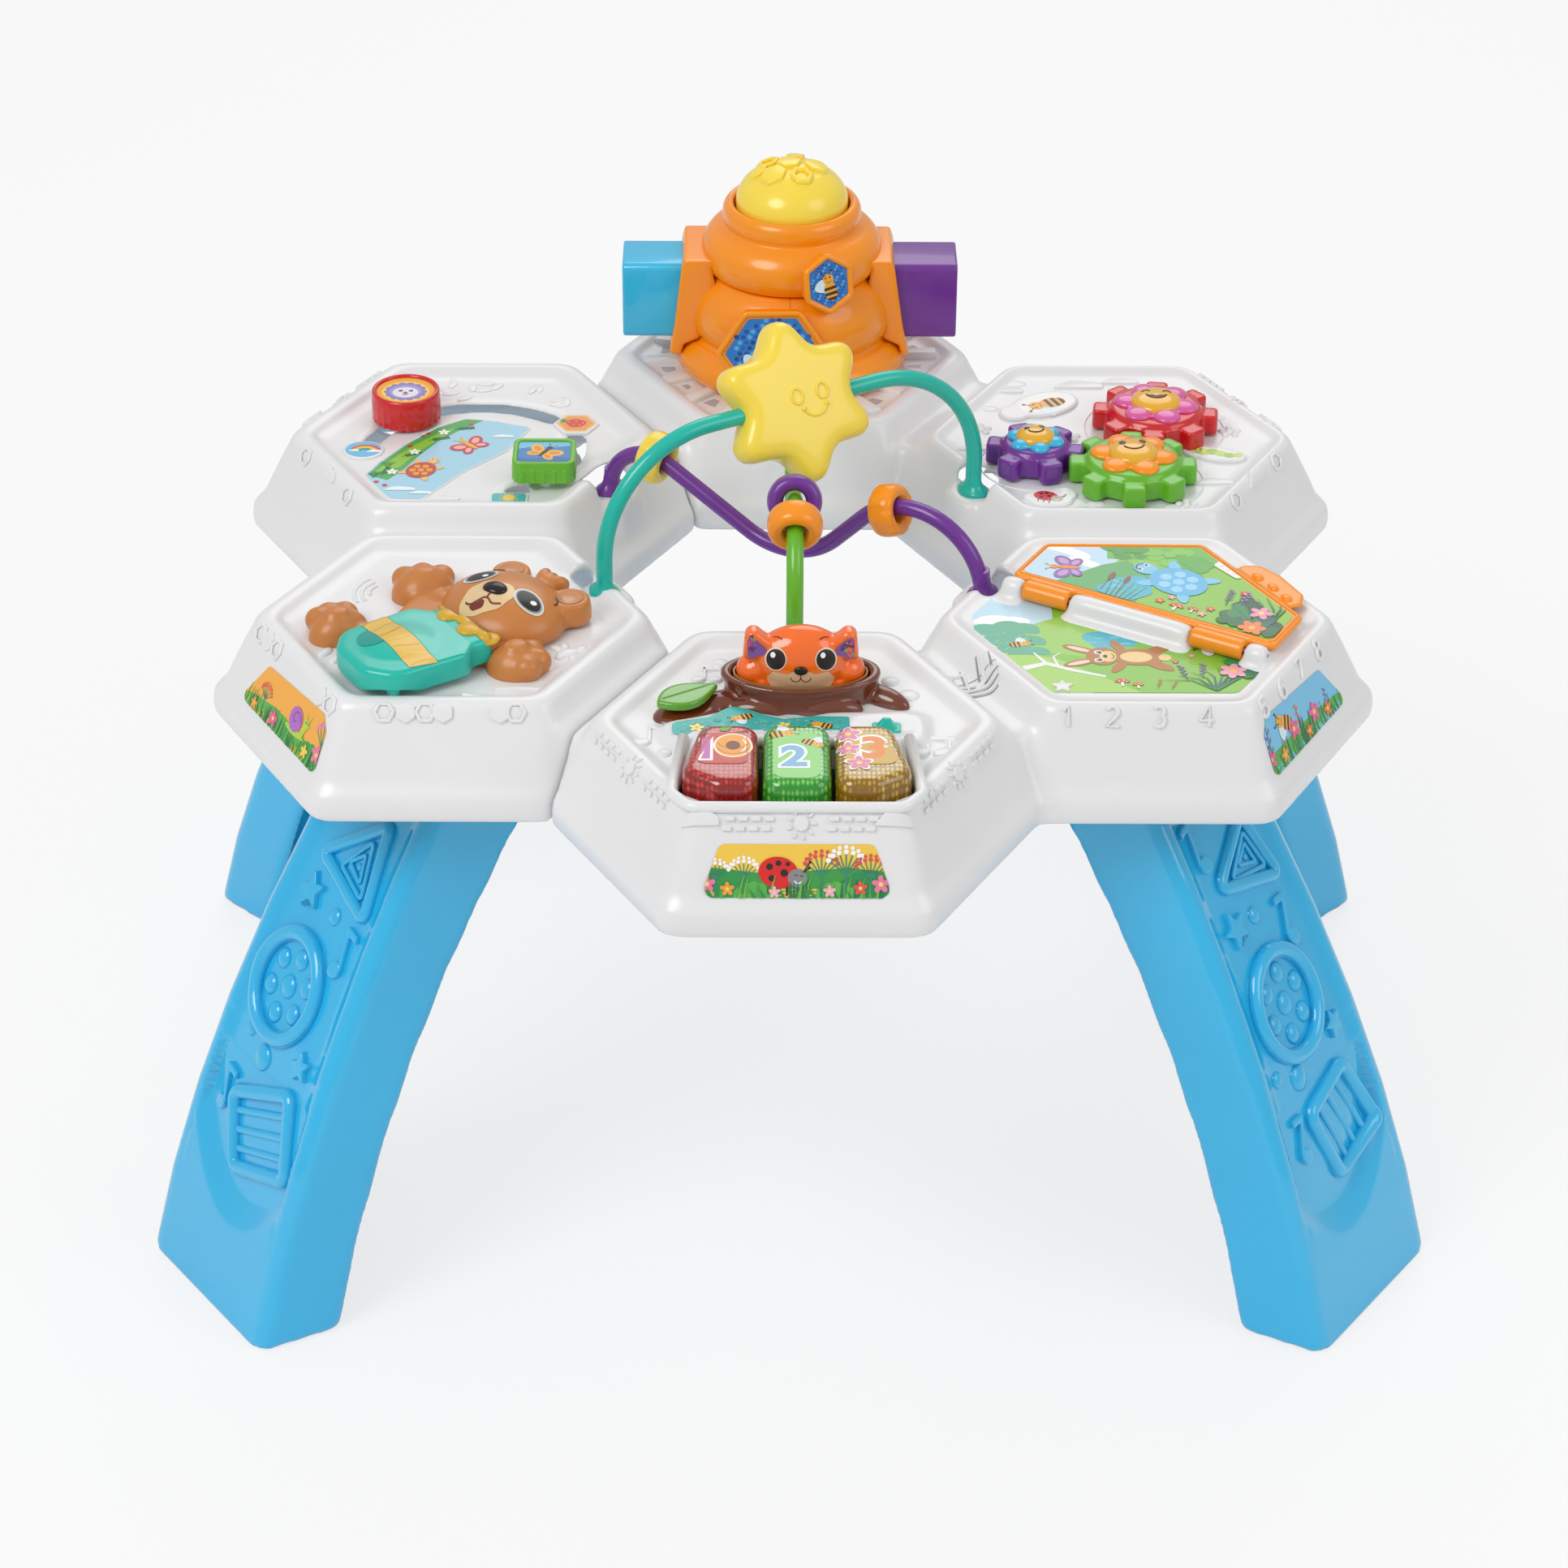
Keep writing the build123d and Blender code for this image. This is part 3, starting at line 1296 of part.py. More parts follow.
lower_inside = [(r - hive_wall, h) for r, h in lower_profile]
for side, half_name in ((-1, "hive_left_half"), (1, "hive_right_half")):
    with BuildPart() as hive_half:
        spin([(0, hive_bottom)] + lower_profile + [(0, tier_split)])
        spin([(0, hive_bottom - 1), (38, hive_bottom - 1), (38, hive_bottom + hive_wall),
              (lower_inside[0][0], hive_bottom + hive_wall)] + lower_inside[1:-1]
             + [(lower_inside[-1][0], tier_split + 1), (0, tier_split + 1)], Mode.SUBTRACT)
        for x, y in hive_posts:
            peg(in_cell(back, x, y), 5, hive_bottom, hive_bottom + 14)
            peg(in_cell(back, x, y), screw_radius + 0.05,
                hive_bottom - 1, hive_bottom + 11, Mode.SUBTRACT)
        hive_tunnel(running_gap)
        half_space(side, -1 + side * 0.05)
    finish(hive_half, half_name)

dome_hole = dome_radius + stem_gap
with BuildPart() as hive_crown:
    spin([(0, tier_split)] + upper_profile + [(0, hive_top)])
    spin([(0, tier_split - 1), (upper_profile[0][0] - hive_wall, tier_split - 1),
          (upper_profile[1][0] - hive_wall, 116), (upper_profile[2][0] - hive_wall, 125),
          (dome_hole, 138), (dome_hole, hive_top + 1), (0, hive_top + 1)], Mode.SUBTRACT)
    hive_tunnel(running_gap)
finish(hive_crown, "hive_crown")

port_blank = hive_envelope(seat_gap)
for side, port_name, top_reach, bottom_reach in (
    (-1, "hive_left_port", 62.0, 71.0),
    (1, "hive_right_port", 57.5, 68.5),
):
    with BuildPart() as port:
        with BuildSketch(Plane(origin=(*back, skirt_level), x_dir=(1, 0, 0), z_dir=(0, -1, 0))):
            Polygon(
                (side * 44, 60), (side * bottom_reach, 62), (side * top_reach, 138), (side * 44, 138),
                align=None,
            )
        extrude(amount=wing_half_depth, both=True)
        add(port_blank, mode=Mode.SUBTRACT)
        hive_tunnel(running_gap)
    finish(port, port_name)

with BuildPart() as hive_dome:
    collar = hive_top - 23
    spin([
        (0, collar),
        (dome_radius + 1.5, collar),
        (dome_radius + 1.5, collar + 2),
        (dome_radius, collar + 2),
        (dome_radius, hive_top + 4),
        (dome_radius - 2, hive_top + 11),
        (dome_radius - 9, hive_top + 18),
        (dome_radius - 20, dome_top - 1),
        (0, dome_top),
    ])
finish(hive_dome, "hive_dome_button")

for side, block_name in ((-1, "blue_block"), (1, "violet_block")):
    with BuildPart() as slider_block:
        with Locations((back[0] + side * block_reach / 2 - 1, back[1], skirt_level + block_bottom)):
            Box(block_reach - 0.1, block_depth, block_top - block_bottom, align=STAND)
            with Locations((-side * 3, 0, 3)):
                Box(block_reach, block_depth - 5, block_top - block_bottom - 6,
                    align=STAND, mode=Mode.SUBTRACT)
    finish(slider_block, block_name)


# ---- Screws ----
def screw_set(name, spots, head_level, head, shank, length):
    """Upward-driven screws with flat round heads."""
    with BuildPart() as screws:
        for spot in spots:
            peg(spot, head, head_level - 2, head_level)
            peg(spot, shank, head_level, head_level + length)
    finish(screws, name)


leg_screw_spots = [
    (sx * x, sy * y) for x, y in leg_screw_points for sx in (1, -1) for sy in (1, -1)
]
cover_screw_spots = [in_cell(front, x, y) for x, y in cover_posts]
board_screw_spots = [in_cell(front, x, y) for x, y in board_posts]
hive_screw_spots = [in_cell(back, x, y) for x, y in hive_posts]
screw_set("leg_screws", leg_screw_spots, tenon_level - leg_wall - skirt_level, 4.0, leg_screw_radius, 14)
screw_set("cover_screws", cover_screw_spots, cover_top - 2.4, 3.2, screw_radius, 14)
screw_set("board_screws", board_screw_spots, board_top - 1.6, 3.0, screw_radius, 9)
screw_set("hive_screws", hive_screw_spots, ceiling, 4.0, screw_radius, 13)
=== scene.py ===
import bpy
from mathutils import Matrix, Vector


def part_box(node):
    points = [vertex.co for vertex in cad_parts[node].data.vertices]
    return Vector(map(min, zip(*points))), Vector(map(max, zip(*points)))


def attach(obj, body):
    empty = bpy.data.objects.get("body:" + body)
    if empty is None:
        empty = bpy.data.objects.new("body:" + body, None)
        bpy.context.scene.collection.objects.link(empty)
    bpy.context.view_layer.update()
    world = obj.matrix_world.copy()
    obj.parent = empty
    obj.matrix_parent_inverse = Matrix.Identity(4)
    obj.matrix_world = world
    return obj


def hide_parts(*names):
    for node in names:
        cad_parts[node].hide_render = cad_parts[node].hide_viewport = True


bl_info = {
    "name": "Musical activity table",
    "version": (1, 0, 0),
    "blender": (4, 5, 0),
    "location": "3D View > Sidebar > Activity table",
    "description": "Builds the finished look of the activity table round its packed solids",
    "category": "Add Mesh",
}

from math import atan, cos, pi, radians, sin, sqrt, tan

import bmesh
import bpy
import numpy as np
from bpy.props import FloatProperty, FloatVectorProperty, PointerProperty
from mathutils import Matrix, Vector
from mathutils.bvhtree import BVHTree
from mathutils.kdtree import KDTree

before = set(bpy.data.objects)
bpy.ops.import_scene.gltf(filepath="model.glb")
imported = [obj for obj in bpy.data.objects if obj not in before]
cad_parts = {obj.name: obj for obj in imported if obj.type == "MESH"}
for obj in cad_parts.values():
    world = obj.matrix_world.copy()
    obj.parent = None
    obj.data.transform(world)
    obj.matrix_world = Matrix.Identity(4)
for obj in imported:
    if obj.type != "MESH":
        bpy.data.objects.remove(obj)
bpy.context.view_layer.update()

# Lengths below are millimetres, and heights count from the table top's bottom edge.
MM = 0.001
SKIRT = 305.0              # that edge above the floor
PITCH = 208.0              # between the middles of neighbouring cells
TRAY = 55.0                # play tray
SHOULDER = 20.0            # foot of the cells' sloping walls
WALL_FOOT = 107.4          # cell's middle to that foot
WALL_SLOPE = 0.4323        # a wall draws in by this share of its height
INK_STEP = 0.003           # between the layers of a printed picture


def polar(radius, azimuth, height=0.0):
    """Point at a distance and direction from an upright axis."""
    return Vector((radius * cos(radians(azimuth)), radius * sin(radians(azimuth)), height))


CELLS = {
    "front": polar(PITCH, -90, SKIRT),
    "front_right": polar(PITCH, -30, SKIRT),
    "back_right": polar(PITCH, 30, SKIRT),
    "back": polar(PITCH, 90, SKIRT),
    "back_left": polar(PITCH, 150, SKIRT),
    "front_left": polar(PITCH, 210, SKIRT),
}


def linear(text):
    """Linear colour from a web colour."""
    parts = [int(text[i:i + 2], 16) / 255 for i in (1, 3, 5)]
    return tuple(p / 12.92 if p <= 0.04045 else ((p + 0.055) / 1.055) ** 2.4 for p in parts)


def paint(text, what):
    """Colour setting with its default."""
    return FloatVectorProperty(name=what, description="Colour of the " + what.lower(), subtype="COLOR",
                               size=3, min=0, max=1, default=linear(text))


class TableColours(bpy.types.PropertyGroup):
    """Colours of the table's plastics"""

    white: paint("#E9E9EA", "White table top")
    blue: paint("#28BAEE", "Blue legs")
    teal: paint("#0CBBA9", "Teal plastic")
    purple: paint("#6E2D94", "Purple plastic")
    green: paint("#67B925", "Green plastic")
    pale_yellow: paint("#FFDF4A", "Pale yellow plastic")
    orange: paint("#FF970C", "Orange plastic")
    fox_orange: paint("#FF6E12", "Fox orange plastic")
    leaf_green: paint("#5DA321", "Leaf green plastic")
    brown: paint("#6F3215", "Brown stump")
    red: paint("#D2151B", "Red plastic")
    pink: paint("#DD5BA4", "Pink petals")
    sky: paint("#32BBE8", "Sky blue plastic")
    gold: paint("#EDB223", "Golden faces")
    bear_brown: paint("#C87E3E", "Bear brown plastic")


class TableSizes(bpy.types.PropertyGroup):
    """Sizes of the finish that a user would change"""

    shell_cell: FloatProperty(name="Shell cell", description="Cell size with which the table top is rounded",
                              unit="LENGTH", default=0.0019, min=0.001, max=0.004)
    leg_cell: FloatProperty(name="Leg cell", description="Cell size with which the legs are rounded",
                            unit="LENGTH", default=0.0021, min=0.001, max=0.004)
    relief: FloatProperty(name="Relief", description="Height of the raised motifs in the trays",
                          unit="LENGTH", default=0.0014, min=0.0003, max=0.003)
    lamp_power: FloatProperty(name="Lamp power", description="Power of the main soft lamp in watts",
                              default=34.0, min=1.0, max=500.0)


def tint(name):
    """Colour setting by its name."""
    return tuple(getattr(bpy.context.scene.table_colours, name))


def sizes():
    """Size settings."""
    return bpy.context.scene.table_sizes

# ---- Materials ----
def new_material(name):
    """Material with only its shader."""
    material = bpy.data.materials.new(name)
    material.use_nodes = True
    return material, material.node_tree, material.node_tree.nodes["Principled BSDF"]


def set_inputs(node, **values):
    """Sets a node's inputs; an input's name has _ for each space."""
    for name, value in values.items():
        node.inputs[name.replace("_", " ")].default_value = value


def add_node(tree, kind, **values):
    """Shader node with values for its inputs."""
    node = tree.nodes.new("ShaderNode" + kind)
    set_inputs(node, **values)
    return node


def add_ramp(tree, *stops):
    """Colour ramp through two stops of (position, linear colour)."""
    ramp = add_node(tree, "ValToRGB")
    for element, (position, colour) in zip(ramp.color_ramp.elements, stops):
        element.position = position
        element.color = (*[min(1.0, c) for c in colour], 1)
    return ramp


def link(tree, *links):
    """Links sockets, each given as (node, output, node, input)."""
    for source, output, target, entry in links:
        tree.links.new(source.outputs[output], target.inputs[entry])


def grain(tree, shader, scale, strength):
    """Fine moulding grain in the shader's normal; gives its coordinates and its noise."""
    place = add_node(tree, "TexCoord")
    noise = add_node(tree, "TexNoise", Scale=scale, Detail=3)
    bump = add_node(tree, "Bump", Strength=strength, Distance=0.0004)
    link(tree, (place, "Object", noise, "Vector"), (noise, "Fac", bump, "Height"),
         (bump, "Normal", shader, "Normal"))
    return place, noise


def moulded(slot, roughness=0.24, coat=0.3, variation=0.03, grain_scale=420.0, grain_strength=0.04):
    """Glossy injection-moulded plastic with slight changes of shade and gloss."""
    name = slot + "_plastic"
    if name in bpy.data.materials:
        return bpy.data.materials[name]
    material, tree, shader = new_material(name)
    place = grain(tree, shader, grain_scale, grain_strength)[0]
    drift = add_node(tree, "TexNoise", Scale=9.0, Detail=4)
    base = tint(slot)
    ramp = add_ramp(tree, (0.3, [c * (1 - variation) for c in base]),
                    (0.7, [c * (1 + variation) for c in base]))
    gloss = add_node(tree, "MapRange", To_Min=roughness - 0.04, To_Max=roughness + 0.05)
    link(tree, (place, "Object", drift, "Vector"), (drift, "Fac", ramp, "Fac"),
         (ramp, "Color", shader, "Base Color"), (drift, "Fac", gloss, "Value"),
         (gloss, "Result", shader, "Roughness"))
    set_inputs(shader, Coat_Weight=coat, Coat_Roughness=0.05)
    return material


def glossy(slot, variation=0.03):
    """Moulded plastic with a high polish, as on the coloured toys."""
    return moulded(slot, 0.17, 0.8, variation)


def inked():
    """Printed picture: each face's own colour under a satin varnish."""
    if "picture_print" in bpy.data.materials:
        return bpy.data.materials["picture_print"]
    material, tree, shader = new_material("picture_print")
    noise = grain(tree, shader, 900.0, 0.03)[1]
    source = add_node(tree, "Attribute")
    source.attribute_name = "ink"
    speckle = add_node(tree, "Mix", Factor=0.08)
    speckle.data_type = "RGBA"
    speckle.blend_type = "MULTIPLY"
    link(tree, (source, "Color", speckle, "A"), (noise, "Color", speckle, "B"),
         (speckle, "Result", shader, "Base Color"))
    set_inputs(shader, Roughness=0.3, Coat_Weight=0.2)
    return material


def faceted(name, deep, painted_glint):
    """Clear key plastic with rows of small prisms moulded in its underside: the bump gives their relief, and
    lighter painted glints at the middle of each cell stand in for the light through them
    """
    material, tree, shader = new_material(name)
    place = add_node(tree, "TexCoord")
    stretch = add_node(tree, "Mapping", Scale=(1.0, 0.62, 0.5))
    cells = add_node(tree, "TexVoronoi", Scale=430.0, Randomness=0.22)
    # Painted glints: the lighter colour sits at each cell's middle and the key's deep colour between the
    # cells.
    ramp = add_ramp(tree, (0.08, linear(painted_glint)), (0.5, linear(deep)))
    bump = add_node(tree, "Bump", Strength=0.08, Distance=0.0006)
    link(tree, (place, "Object", stretch, "Vector"), (stretch, "Vector", cells, "Vector"),
         (cells, "Distance", ramp, "Fac"), (ramp, "Color", shader, "Base Color"),
         (cells, "Distance", bump, "Height"), (bump, "Normal", shader, "Normal"))
    set_inputs(shader, Roughness=0.14, Coat_Weight=1.0, Coat_Roughness=0.03)
    return material


def plain(name, shade, roughness, metallic=0.0, grain_scale=700.0, grain_strength=0.1):
    """Single-shade material with a fine grain, such as steel, rubber or a lacquered board."""
    if name in bpy.data.materials:
        return bpy.data.materials[name]
    material, tree, shader = new_material(name)
    noise = grain(tree, shader, grain_scale, grain_strength)[1]
    base = linear(shade)
    ramp = add_ramp(tree, (0, [c * 0.9 for c in base]), (1, [c * 1.08 for c in base]))
    link(tree, (noise, "Fac", ramp, "Fac"), (ramp, "Color", shader, "Base Color"))
    set_inputs(shader, Metallic=metallic, Roughness=roughness)
    return material

# ---- Outlines: lists of (x, y) ----
def oval(x, y, a, b=None, turn=0.0, steps=36):
    """Circle or turned ellipse."""
    b = a if b is None else b
    c, s = cos(radians(turn)), sin(radians(turn))
    spots = [(a * cos(2 * pi * k / steps), b * sin(2 * pi * k / steps)) for k in range(steps)]
    return [(x + p * c - q * s, y + p * s + q * c) for p, q in spots]


def eased(corners, radii, steps=6, closed=True):
    """Outline or path whose corners are eased by arcs."""
    count = len(corners)
    share = 0.49 if closed else 0.9
    if isinstance(radii, (int, float)):
        radii = [radii] * count
    result = []
    for k, corner in enumerate(corners):
        if not closed and k in (0, count - 1):
            result.append(tuple(corner))
            continue
        spot = Vector(corner)
        before = Vector(corners[k - 1]) - spot
        after = Vector(corners[(k + 1) % count]) - spot
        half = before.angle(after) / 2
        if radii[k] <= 0 or half > radians(89.5):
            result.append(tuple(corner))
            continue
        run = min(radii[k] / tan(half), before.length * share, after.length * share)
        radius = run * tan(half)
        middle = spot + (before.normalized() + after.normalized()).normalized() * (radius / sin(half))
        start = spot + before.normalized() * run - middle
        end = spot + after.normalized() * run - middle
        swing = start.angle_signed(end) if len(spot) == 2 else 0
        for step in range(steps + 1):
            c, s = cos(-swing * step / steps), sin(-swing * step / steps)
            result.append((middle.x + start.x * c - start.y * s, middle.y + start.x * s + start.y * c))
    return result


def starlike(x, y, tip, valley, points, turn, ease=0.0):
    """Star outline."""
    corners = []
    for k in range(points):
        for reach, share in ((tip, k), (valley, k + 0.5)):
            corners += bent(x, y, reach, reach, [turn + 360 * share / points])
    return eased(corners, ease) if ease else corners


def hexagon(x, y, half, turn=0.0, ease=0.0):
    """Regular hexagon by its half width across the flats."""
    reach = half / cos(radians(30))
    corners = bent(x, y, reach, reach, [turn + 60 * k for k in range(6)])
    return eased(corners, ease) if ease else corners


def oblong(half_x, half_y, ease, steps=6):
    """Rectangle about the origin with eased corners."""
    return eased(corners_of(-half_x, -half_y, half_x, half_y), ease, steps)


def corners_of(left, low, right, high):
    """Rectangle between two corners."""
    return [(left, low), (right, low), (right, high), (left, high)]


def cloudy(x, y, width, height):
    """Cloud outline of five puffs on a flat foot."""
    spots = []
    for k in range(41):
        angle = pi * k / 40
        swell = 1 + 0.16 * abs(sin(angle * 2.5))
        spots.append((x + width * cos(angle) * swell, y + height * sin(angle) * swell))
    return spots


def leafy(x, y, length, width, turn=0.0):
    """Pointed leaf outline that starts at (x, y)."""
    c, s = cos(radians(turn)), sin(radians(turn))
    side = [(length * k / 10, width * sin(pi * (k / 10) ** 0.8)) for k in range(11)]
    spots = side + [(p, -q) for p, q in reversed(side[1:-1])]
    return [(x + p * c - q * s, y + p * s + q * c) for p, q in spots]


def ribbon(path, width, taper=1.0):
    """Outline of a line of some width."""
    left, right = [], []
    for k, (x, y) in enumerate(path):
        ahead = Vector(path[min(k + 1, len(path) - 1)]) - Vector(path[max(k - 1, 0)])
        side = Vector((-ahead.y, ahead.x)).normalized()
        half = width / 2 * (1 + (taper - 1) * k / (len(path) - 1))
        left.append((x + side.x * half, y + side.y * half))
        right.append((x - side.x * half, y - side.y * half))
    return left + right[::-1]


def bow(x, y, radius, start, end, steps=12):
    """Arc as a path."""
    return [(x + radius * cos(radians(start + (end - start) * k / steps)),
             y + radius * sin(radians(start + (end - start) * k / steps))) for k in range(steps + 1)]


def bent(x, y, a, b, angles):
    """Path along an ellipse through some angles."""
    return [(x + a * cos(radians(angle)), y + b * sin(radians(angle))) for angle in angles]


# ---- Solids in millimetres ----
def plate(outline, low, high, ease=0.0, segments=3, draft=1.0):
    """Plate over an outline, with its upper edge eased."""
    bm = bmesh.new()
    foot = bm.faces.new([bm.verts.new((x, y, low)) for x, y in outline])
    grown = bmesh.ops.extrude_face_region(bm, geom=[foot])["geom"]
    top = [v for v in grown if isinstance(v, bmesh.types.BMVert)]
    bmesh.ops.translate(bm, vec=(0, 0, high - low), verts=top)
    if draft != 1.0:
        middle = sum((v.co for v in top), Vector()) / len(top)
        bmesh.ops.scale(bm, vec=(draft, draft, 1), space=Matrix.Translation(-middle), verts=top)
    bmesh.ops.recalc_face_normals(bm, faces=bm.faces)
    if ease:
        rounded(bm, edges_at(bm, high), ease, segments, True)
    return bm


def edges_at(bm, height):
    """Level edges at one height."""
    return [e for e in bm.edges if all(abs(v.co.z - height) < 1e-3 for v in e.verts)]


def rounded(bm, edges, reach, segments=3, clamp=False):
    """Eases some edges."""
    bmesh.ops.bevel(bm, geom=edges, offset=reach, offset_type="OFFSET", affect="EDGES", segments=segments,
                    profile=0.5, material=-1, clamp_overlap=clamp)


def lathe(profile, steps=48):
    """Turned solid from (radius, height) points that start and end on its axis."""
    bm = bmesh.new()
    verts = [bm.verts.new((r, 0, z)) for r, z in profile]
    edges = [bm.edges.new(pair) for pair in zip(verts, verts[1:])]
    bmesh.ops.spin(bm, geom=verts + edges, cent=(0, 0, 0), axis=(0, 0, 1), angle=2 * pi, steps=steps,
                   use_merge=True)
    bmesh.ops.remove_doubles(bm, verts=bm.verts, dist=1e-4)
    bmesh.ops.recalc_face_normals(bm, faces=bm.faces)
    return bm


def turned_ring(profile, steps=48):
    """Turned ring from a closed (radius, height) outline off its axis."""
    return lathe(profile + [profile[0]], steps)


def ball(x, y, z, a, b=None, c=None, turn=0.0, steps=24):
    """Ball or ellipsoid."""
    bm = bmesh.new()
    bmesh.ops.create_uvsphere(bm, u_segments=steps, v_segments=steps // 2, radius=1.0)
    size = Matrix.Diagonal((a, a if b is None else b, a if c is None else c, 1))
    place = Matrix.Translation((x, y, z)) @ Matrix.Rotation(radians(turn), 4, "Z") @ size
    moved(bm, place)
    return bm


def wire(path, radius, closed=False, sides=6):
    """Round bar along a path of 3-D points."""
    curve = bpy.data.curves.new("wire", "CURVE")
    curve.dimensions = "3D"
    curve.bevel_depth = radius
    curve.bevel_resolution = sides
    curve.use_fill_caps = True
    spline = curve.splines.new("POLY")
    spline.points.add(len(path) - 1)
    for point, spot in zip(spline.points, path):
        point.co = (*spot, 1)
    spline.use_cyclic_u = closed
    return from_curve(curve)


def bar(path, height, radius, closed=False):
    """Round bar along a flat path at some height."""
    return wire([(x, y, height) for x, y in path], radius, closed)


def from_curve(curve):
    """Mesh of a curve or text, welded."""
    holder = bpy.data.objects.new("holder", curve)
    mesh = bpy.data.meshes.new_from_object(holder)
    bpy.data.objects.remove(holder)
    bpy.data.curves.remove(curve)
    bm = bmesh.new()
    bm.from_mesh(mesh)
    bpy.data.meshes.remove(mesh)
    bmesh.ops.remove_doubles(bm, verts=bm.verts, dist=1e-4)
    bmesh.ops.recalc_face_normals(bm, faces=bm.faces)
    return bm


def node_copy(*nodes):
    """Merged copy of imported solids, in millimetres."""
    bm = bmesh.new()
    for node in nodes:
        bm.from_mesh(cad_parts[node].data)
    bmesh.ops.scale(bm, vec=(1 / MM, 1 / MM, 1 / MM), verts=bm.verts)
    bmesh.ops.remove_doubles(bm, verts=bm.verts, dist=1e-3)
    return bm


class Group:
    """Shapes gathered into one mesh."""

    def __init__(self, *parts):
        self.bm = bmesh.new()
        for part in parts:
            self.add(part)

    def add(self, part, place=Matrix()):
        """Takes a shape in at a place."""
        moved(part, place)
        mesh = bpy.data.meshes.new("part")
        part.to_mesh(mesh)
        part.free()
        self.bm.from_mesh(mesh)
        bpy.data.meshes.remove(mesh)
        return self

    def set(self, place):
        """Moves all that is gathered."""
        moved(self.bm, place)
        return self


def gather(*parts):
    """One mesh of several closed shapes."""
    return Group(*parts).bm


def moved(bm, place):
    """Moves a shape to a place."""
    bmesh.ops.transform(bm, matrix=place, verts=bm.verts)
    return bm


def cut_off(bm, spot, out):
    """Cuts off what lies past a plane and closes the cut."""
    everything = bm.verts[:] + bm.edges[:] + bm.faces[:]
    bmesh.ops.bisect_plane(bm, geom=everything, plane_co=spot, plane_no=out, clear_outer=True)
    bmesh.ops.holes_fill(bm, edges=[e for e in bm.edges if e.is_boundary])
    return bm


def shift(bm, x=0.0, y=0.0, z=0.0, turn=0.0):
    """Turns a shape about Z and moves it."""
    return moved(bm, Matrix.Translation((x, y, z)) @ Matrix.Rotation(radians(turn), 4, "Z"))


def scaled(bm):
    """Mesh in metres from a shape in millimetres."""
    bmesh.ops.scale(bm, vec=(MM, MM, MM), verts=bm.verts)
    mesh = bpy.data.meshes.new("skin")
    bm.to_mesh(mesh)
    bm.free()
    return mesh


def softened(bm, cell, passes, keep_flats=False, refit=True, near=4.0, far=9.0):
    """Even skin over closed solids in millimetres, rounded as a mould rounds edges. Gives a shape again."""
    source = bpy.data.meshes.new("solid")
    bm.to_mesh(source)
    holder = bpy.data.objects.new("solid", source)
    bpy.context.scene.collection.objects.link(holder)
    remesh = holder.modifiers.new("skin", "REMESH")
    remesh.mode = "VOXEL"
    remesh.voxel_size = cell
    graph = bpy.context.evaluated_depsgraph_get()
    skin = bpy.data.meshes.new_from_object(holder.evaluated_get(graph))
    count = len(skin.vertices)
    places = np.empty(count * 3)
    skin.vertices.foreach_get("co", places)
    places = places.reshape(-1, 3)
    lowest, highest = places.min(axis=0), places.max(axis=0)
    ends = np.empty(len(skin.edges) * 2, dtype=np.int64)
    skin.edges.foreach_get("vertices", ends)
    ends = ends.reshape(-1, 2)
    valence = np.bincount(ends.ravel(), minlength=count)[:, None]

    def relaxed(spots, times):
        for _ in range(times):
            total = np.zeros_like(spots)
            for axis in range(3):
                total[:, axis] = np.bincount(ends[:, 0], weights=spots[ends[:, 1], axis], minlength=count)
                total[:, axis] += np.bincount(ends[:, 1], weights=spots[ends[:, 0], axis], minlength=count)
            spots = spots * 0.4 + total / valence * 0.6
        if refit:
            low, high = spots.min(axis=0), spots.max(axis=0)
            spots = lowest + (spots - low) * ((highest - lowest) / (high - low))
        return spots
    places = relaxed(places, passes)
    if keep_flats:
        surface = BVHTree.FromBMesh(bm)
        marks = []
        for edge in bm.edges:
            if len(edge.link_faces) == 2 and edge.calc_face_angle(0) > radians(20):
                a, b = edge.verts[0].co, edge.verts[1].co
                steps = max(1, int((b - a).length / 2.0))
                marks.extend(a.lerp(b, k / steps) for k in range(steps + 1))
        tree = KDTree(len(marks))
        for index, mark in enumerate(marks):
            tree.insert(mark, index)
        tree.balance()
        for index in range(count):
            spot = Vector(places[index])
            away = tree.find(spot)[2]
            if away > near:
                share = min(1.0, (away - near) / (far - near))
                share = share * share * (3 - 2 * share)
                places[index] = spot.lerp(surface.find_nearest(spot)[0], share)
        places = relaxed(places, 4)
    skin.vertices.foreach_set("co", places.ravel())
    skin.update()
    bpy.data.objects.remove(holder)
    bpy.data.meshes.remove(source)
    bm.free()
    result = bmesh.new()
    result.from_mesh(skin)
    bpy.data.meshes.remove(skin)
    return result


def piece(name, shape, material, body, nodes=(), smooth=40):
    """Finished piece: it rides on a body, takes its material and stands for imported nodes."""
    mesh = shape if isinstance(shape, bpy.types.Mesh) else scaled(shape)
    mesh.name = name
    obj = bpy.data.objects.new(name, mesh)
    bpy.context.scene.collection.objects.link(obj)
    mesh.materials.clear()
    mesh.materials.append(material)
    mesh.shade_smooth()
    if smooth < 180:
        mesh.set_sharp_from_angle(angle=radians(smooth))
    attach(obj, body)
    if nodes:
        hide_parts(*nodes)
    return obj


def refinish(node, material):
    """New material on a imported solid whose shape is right."""
    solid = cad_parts[node]
    solid.data.materials.clear()
    solid.data.materials.append(material)


def surface_of(bm_or_object):
    """Search tree of a shape, in millimetres."""
    if isinstance(bm_or_object, bmesh.types.BMesh):
        return BVHTree.FromBMesh(bm_or_object)
    bm = bmesh.new()
    bm.from_mesh(bm_or_object.data)
    bmesh.ops.scale(bm, vec=(1 / MM, 1 / MM, 1 / MM), verts=bm.verts)
    tree = BVHTree.FromBMesh(bm)
    bm.free()
    return tree


def shell_surface(node):
    """Search tree of a shell as it is seen."""
    return surface_of(bpy.data.objects.get(node + "_skin") or bpy.data.objects[node])


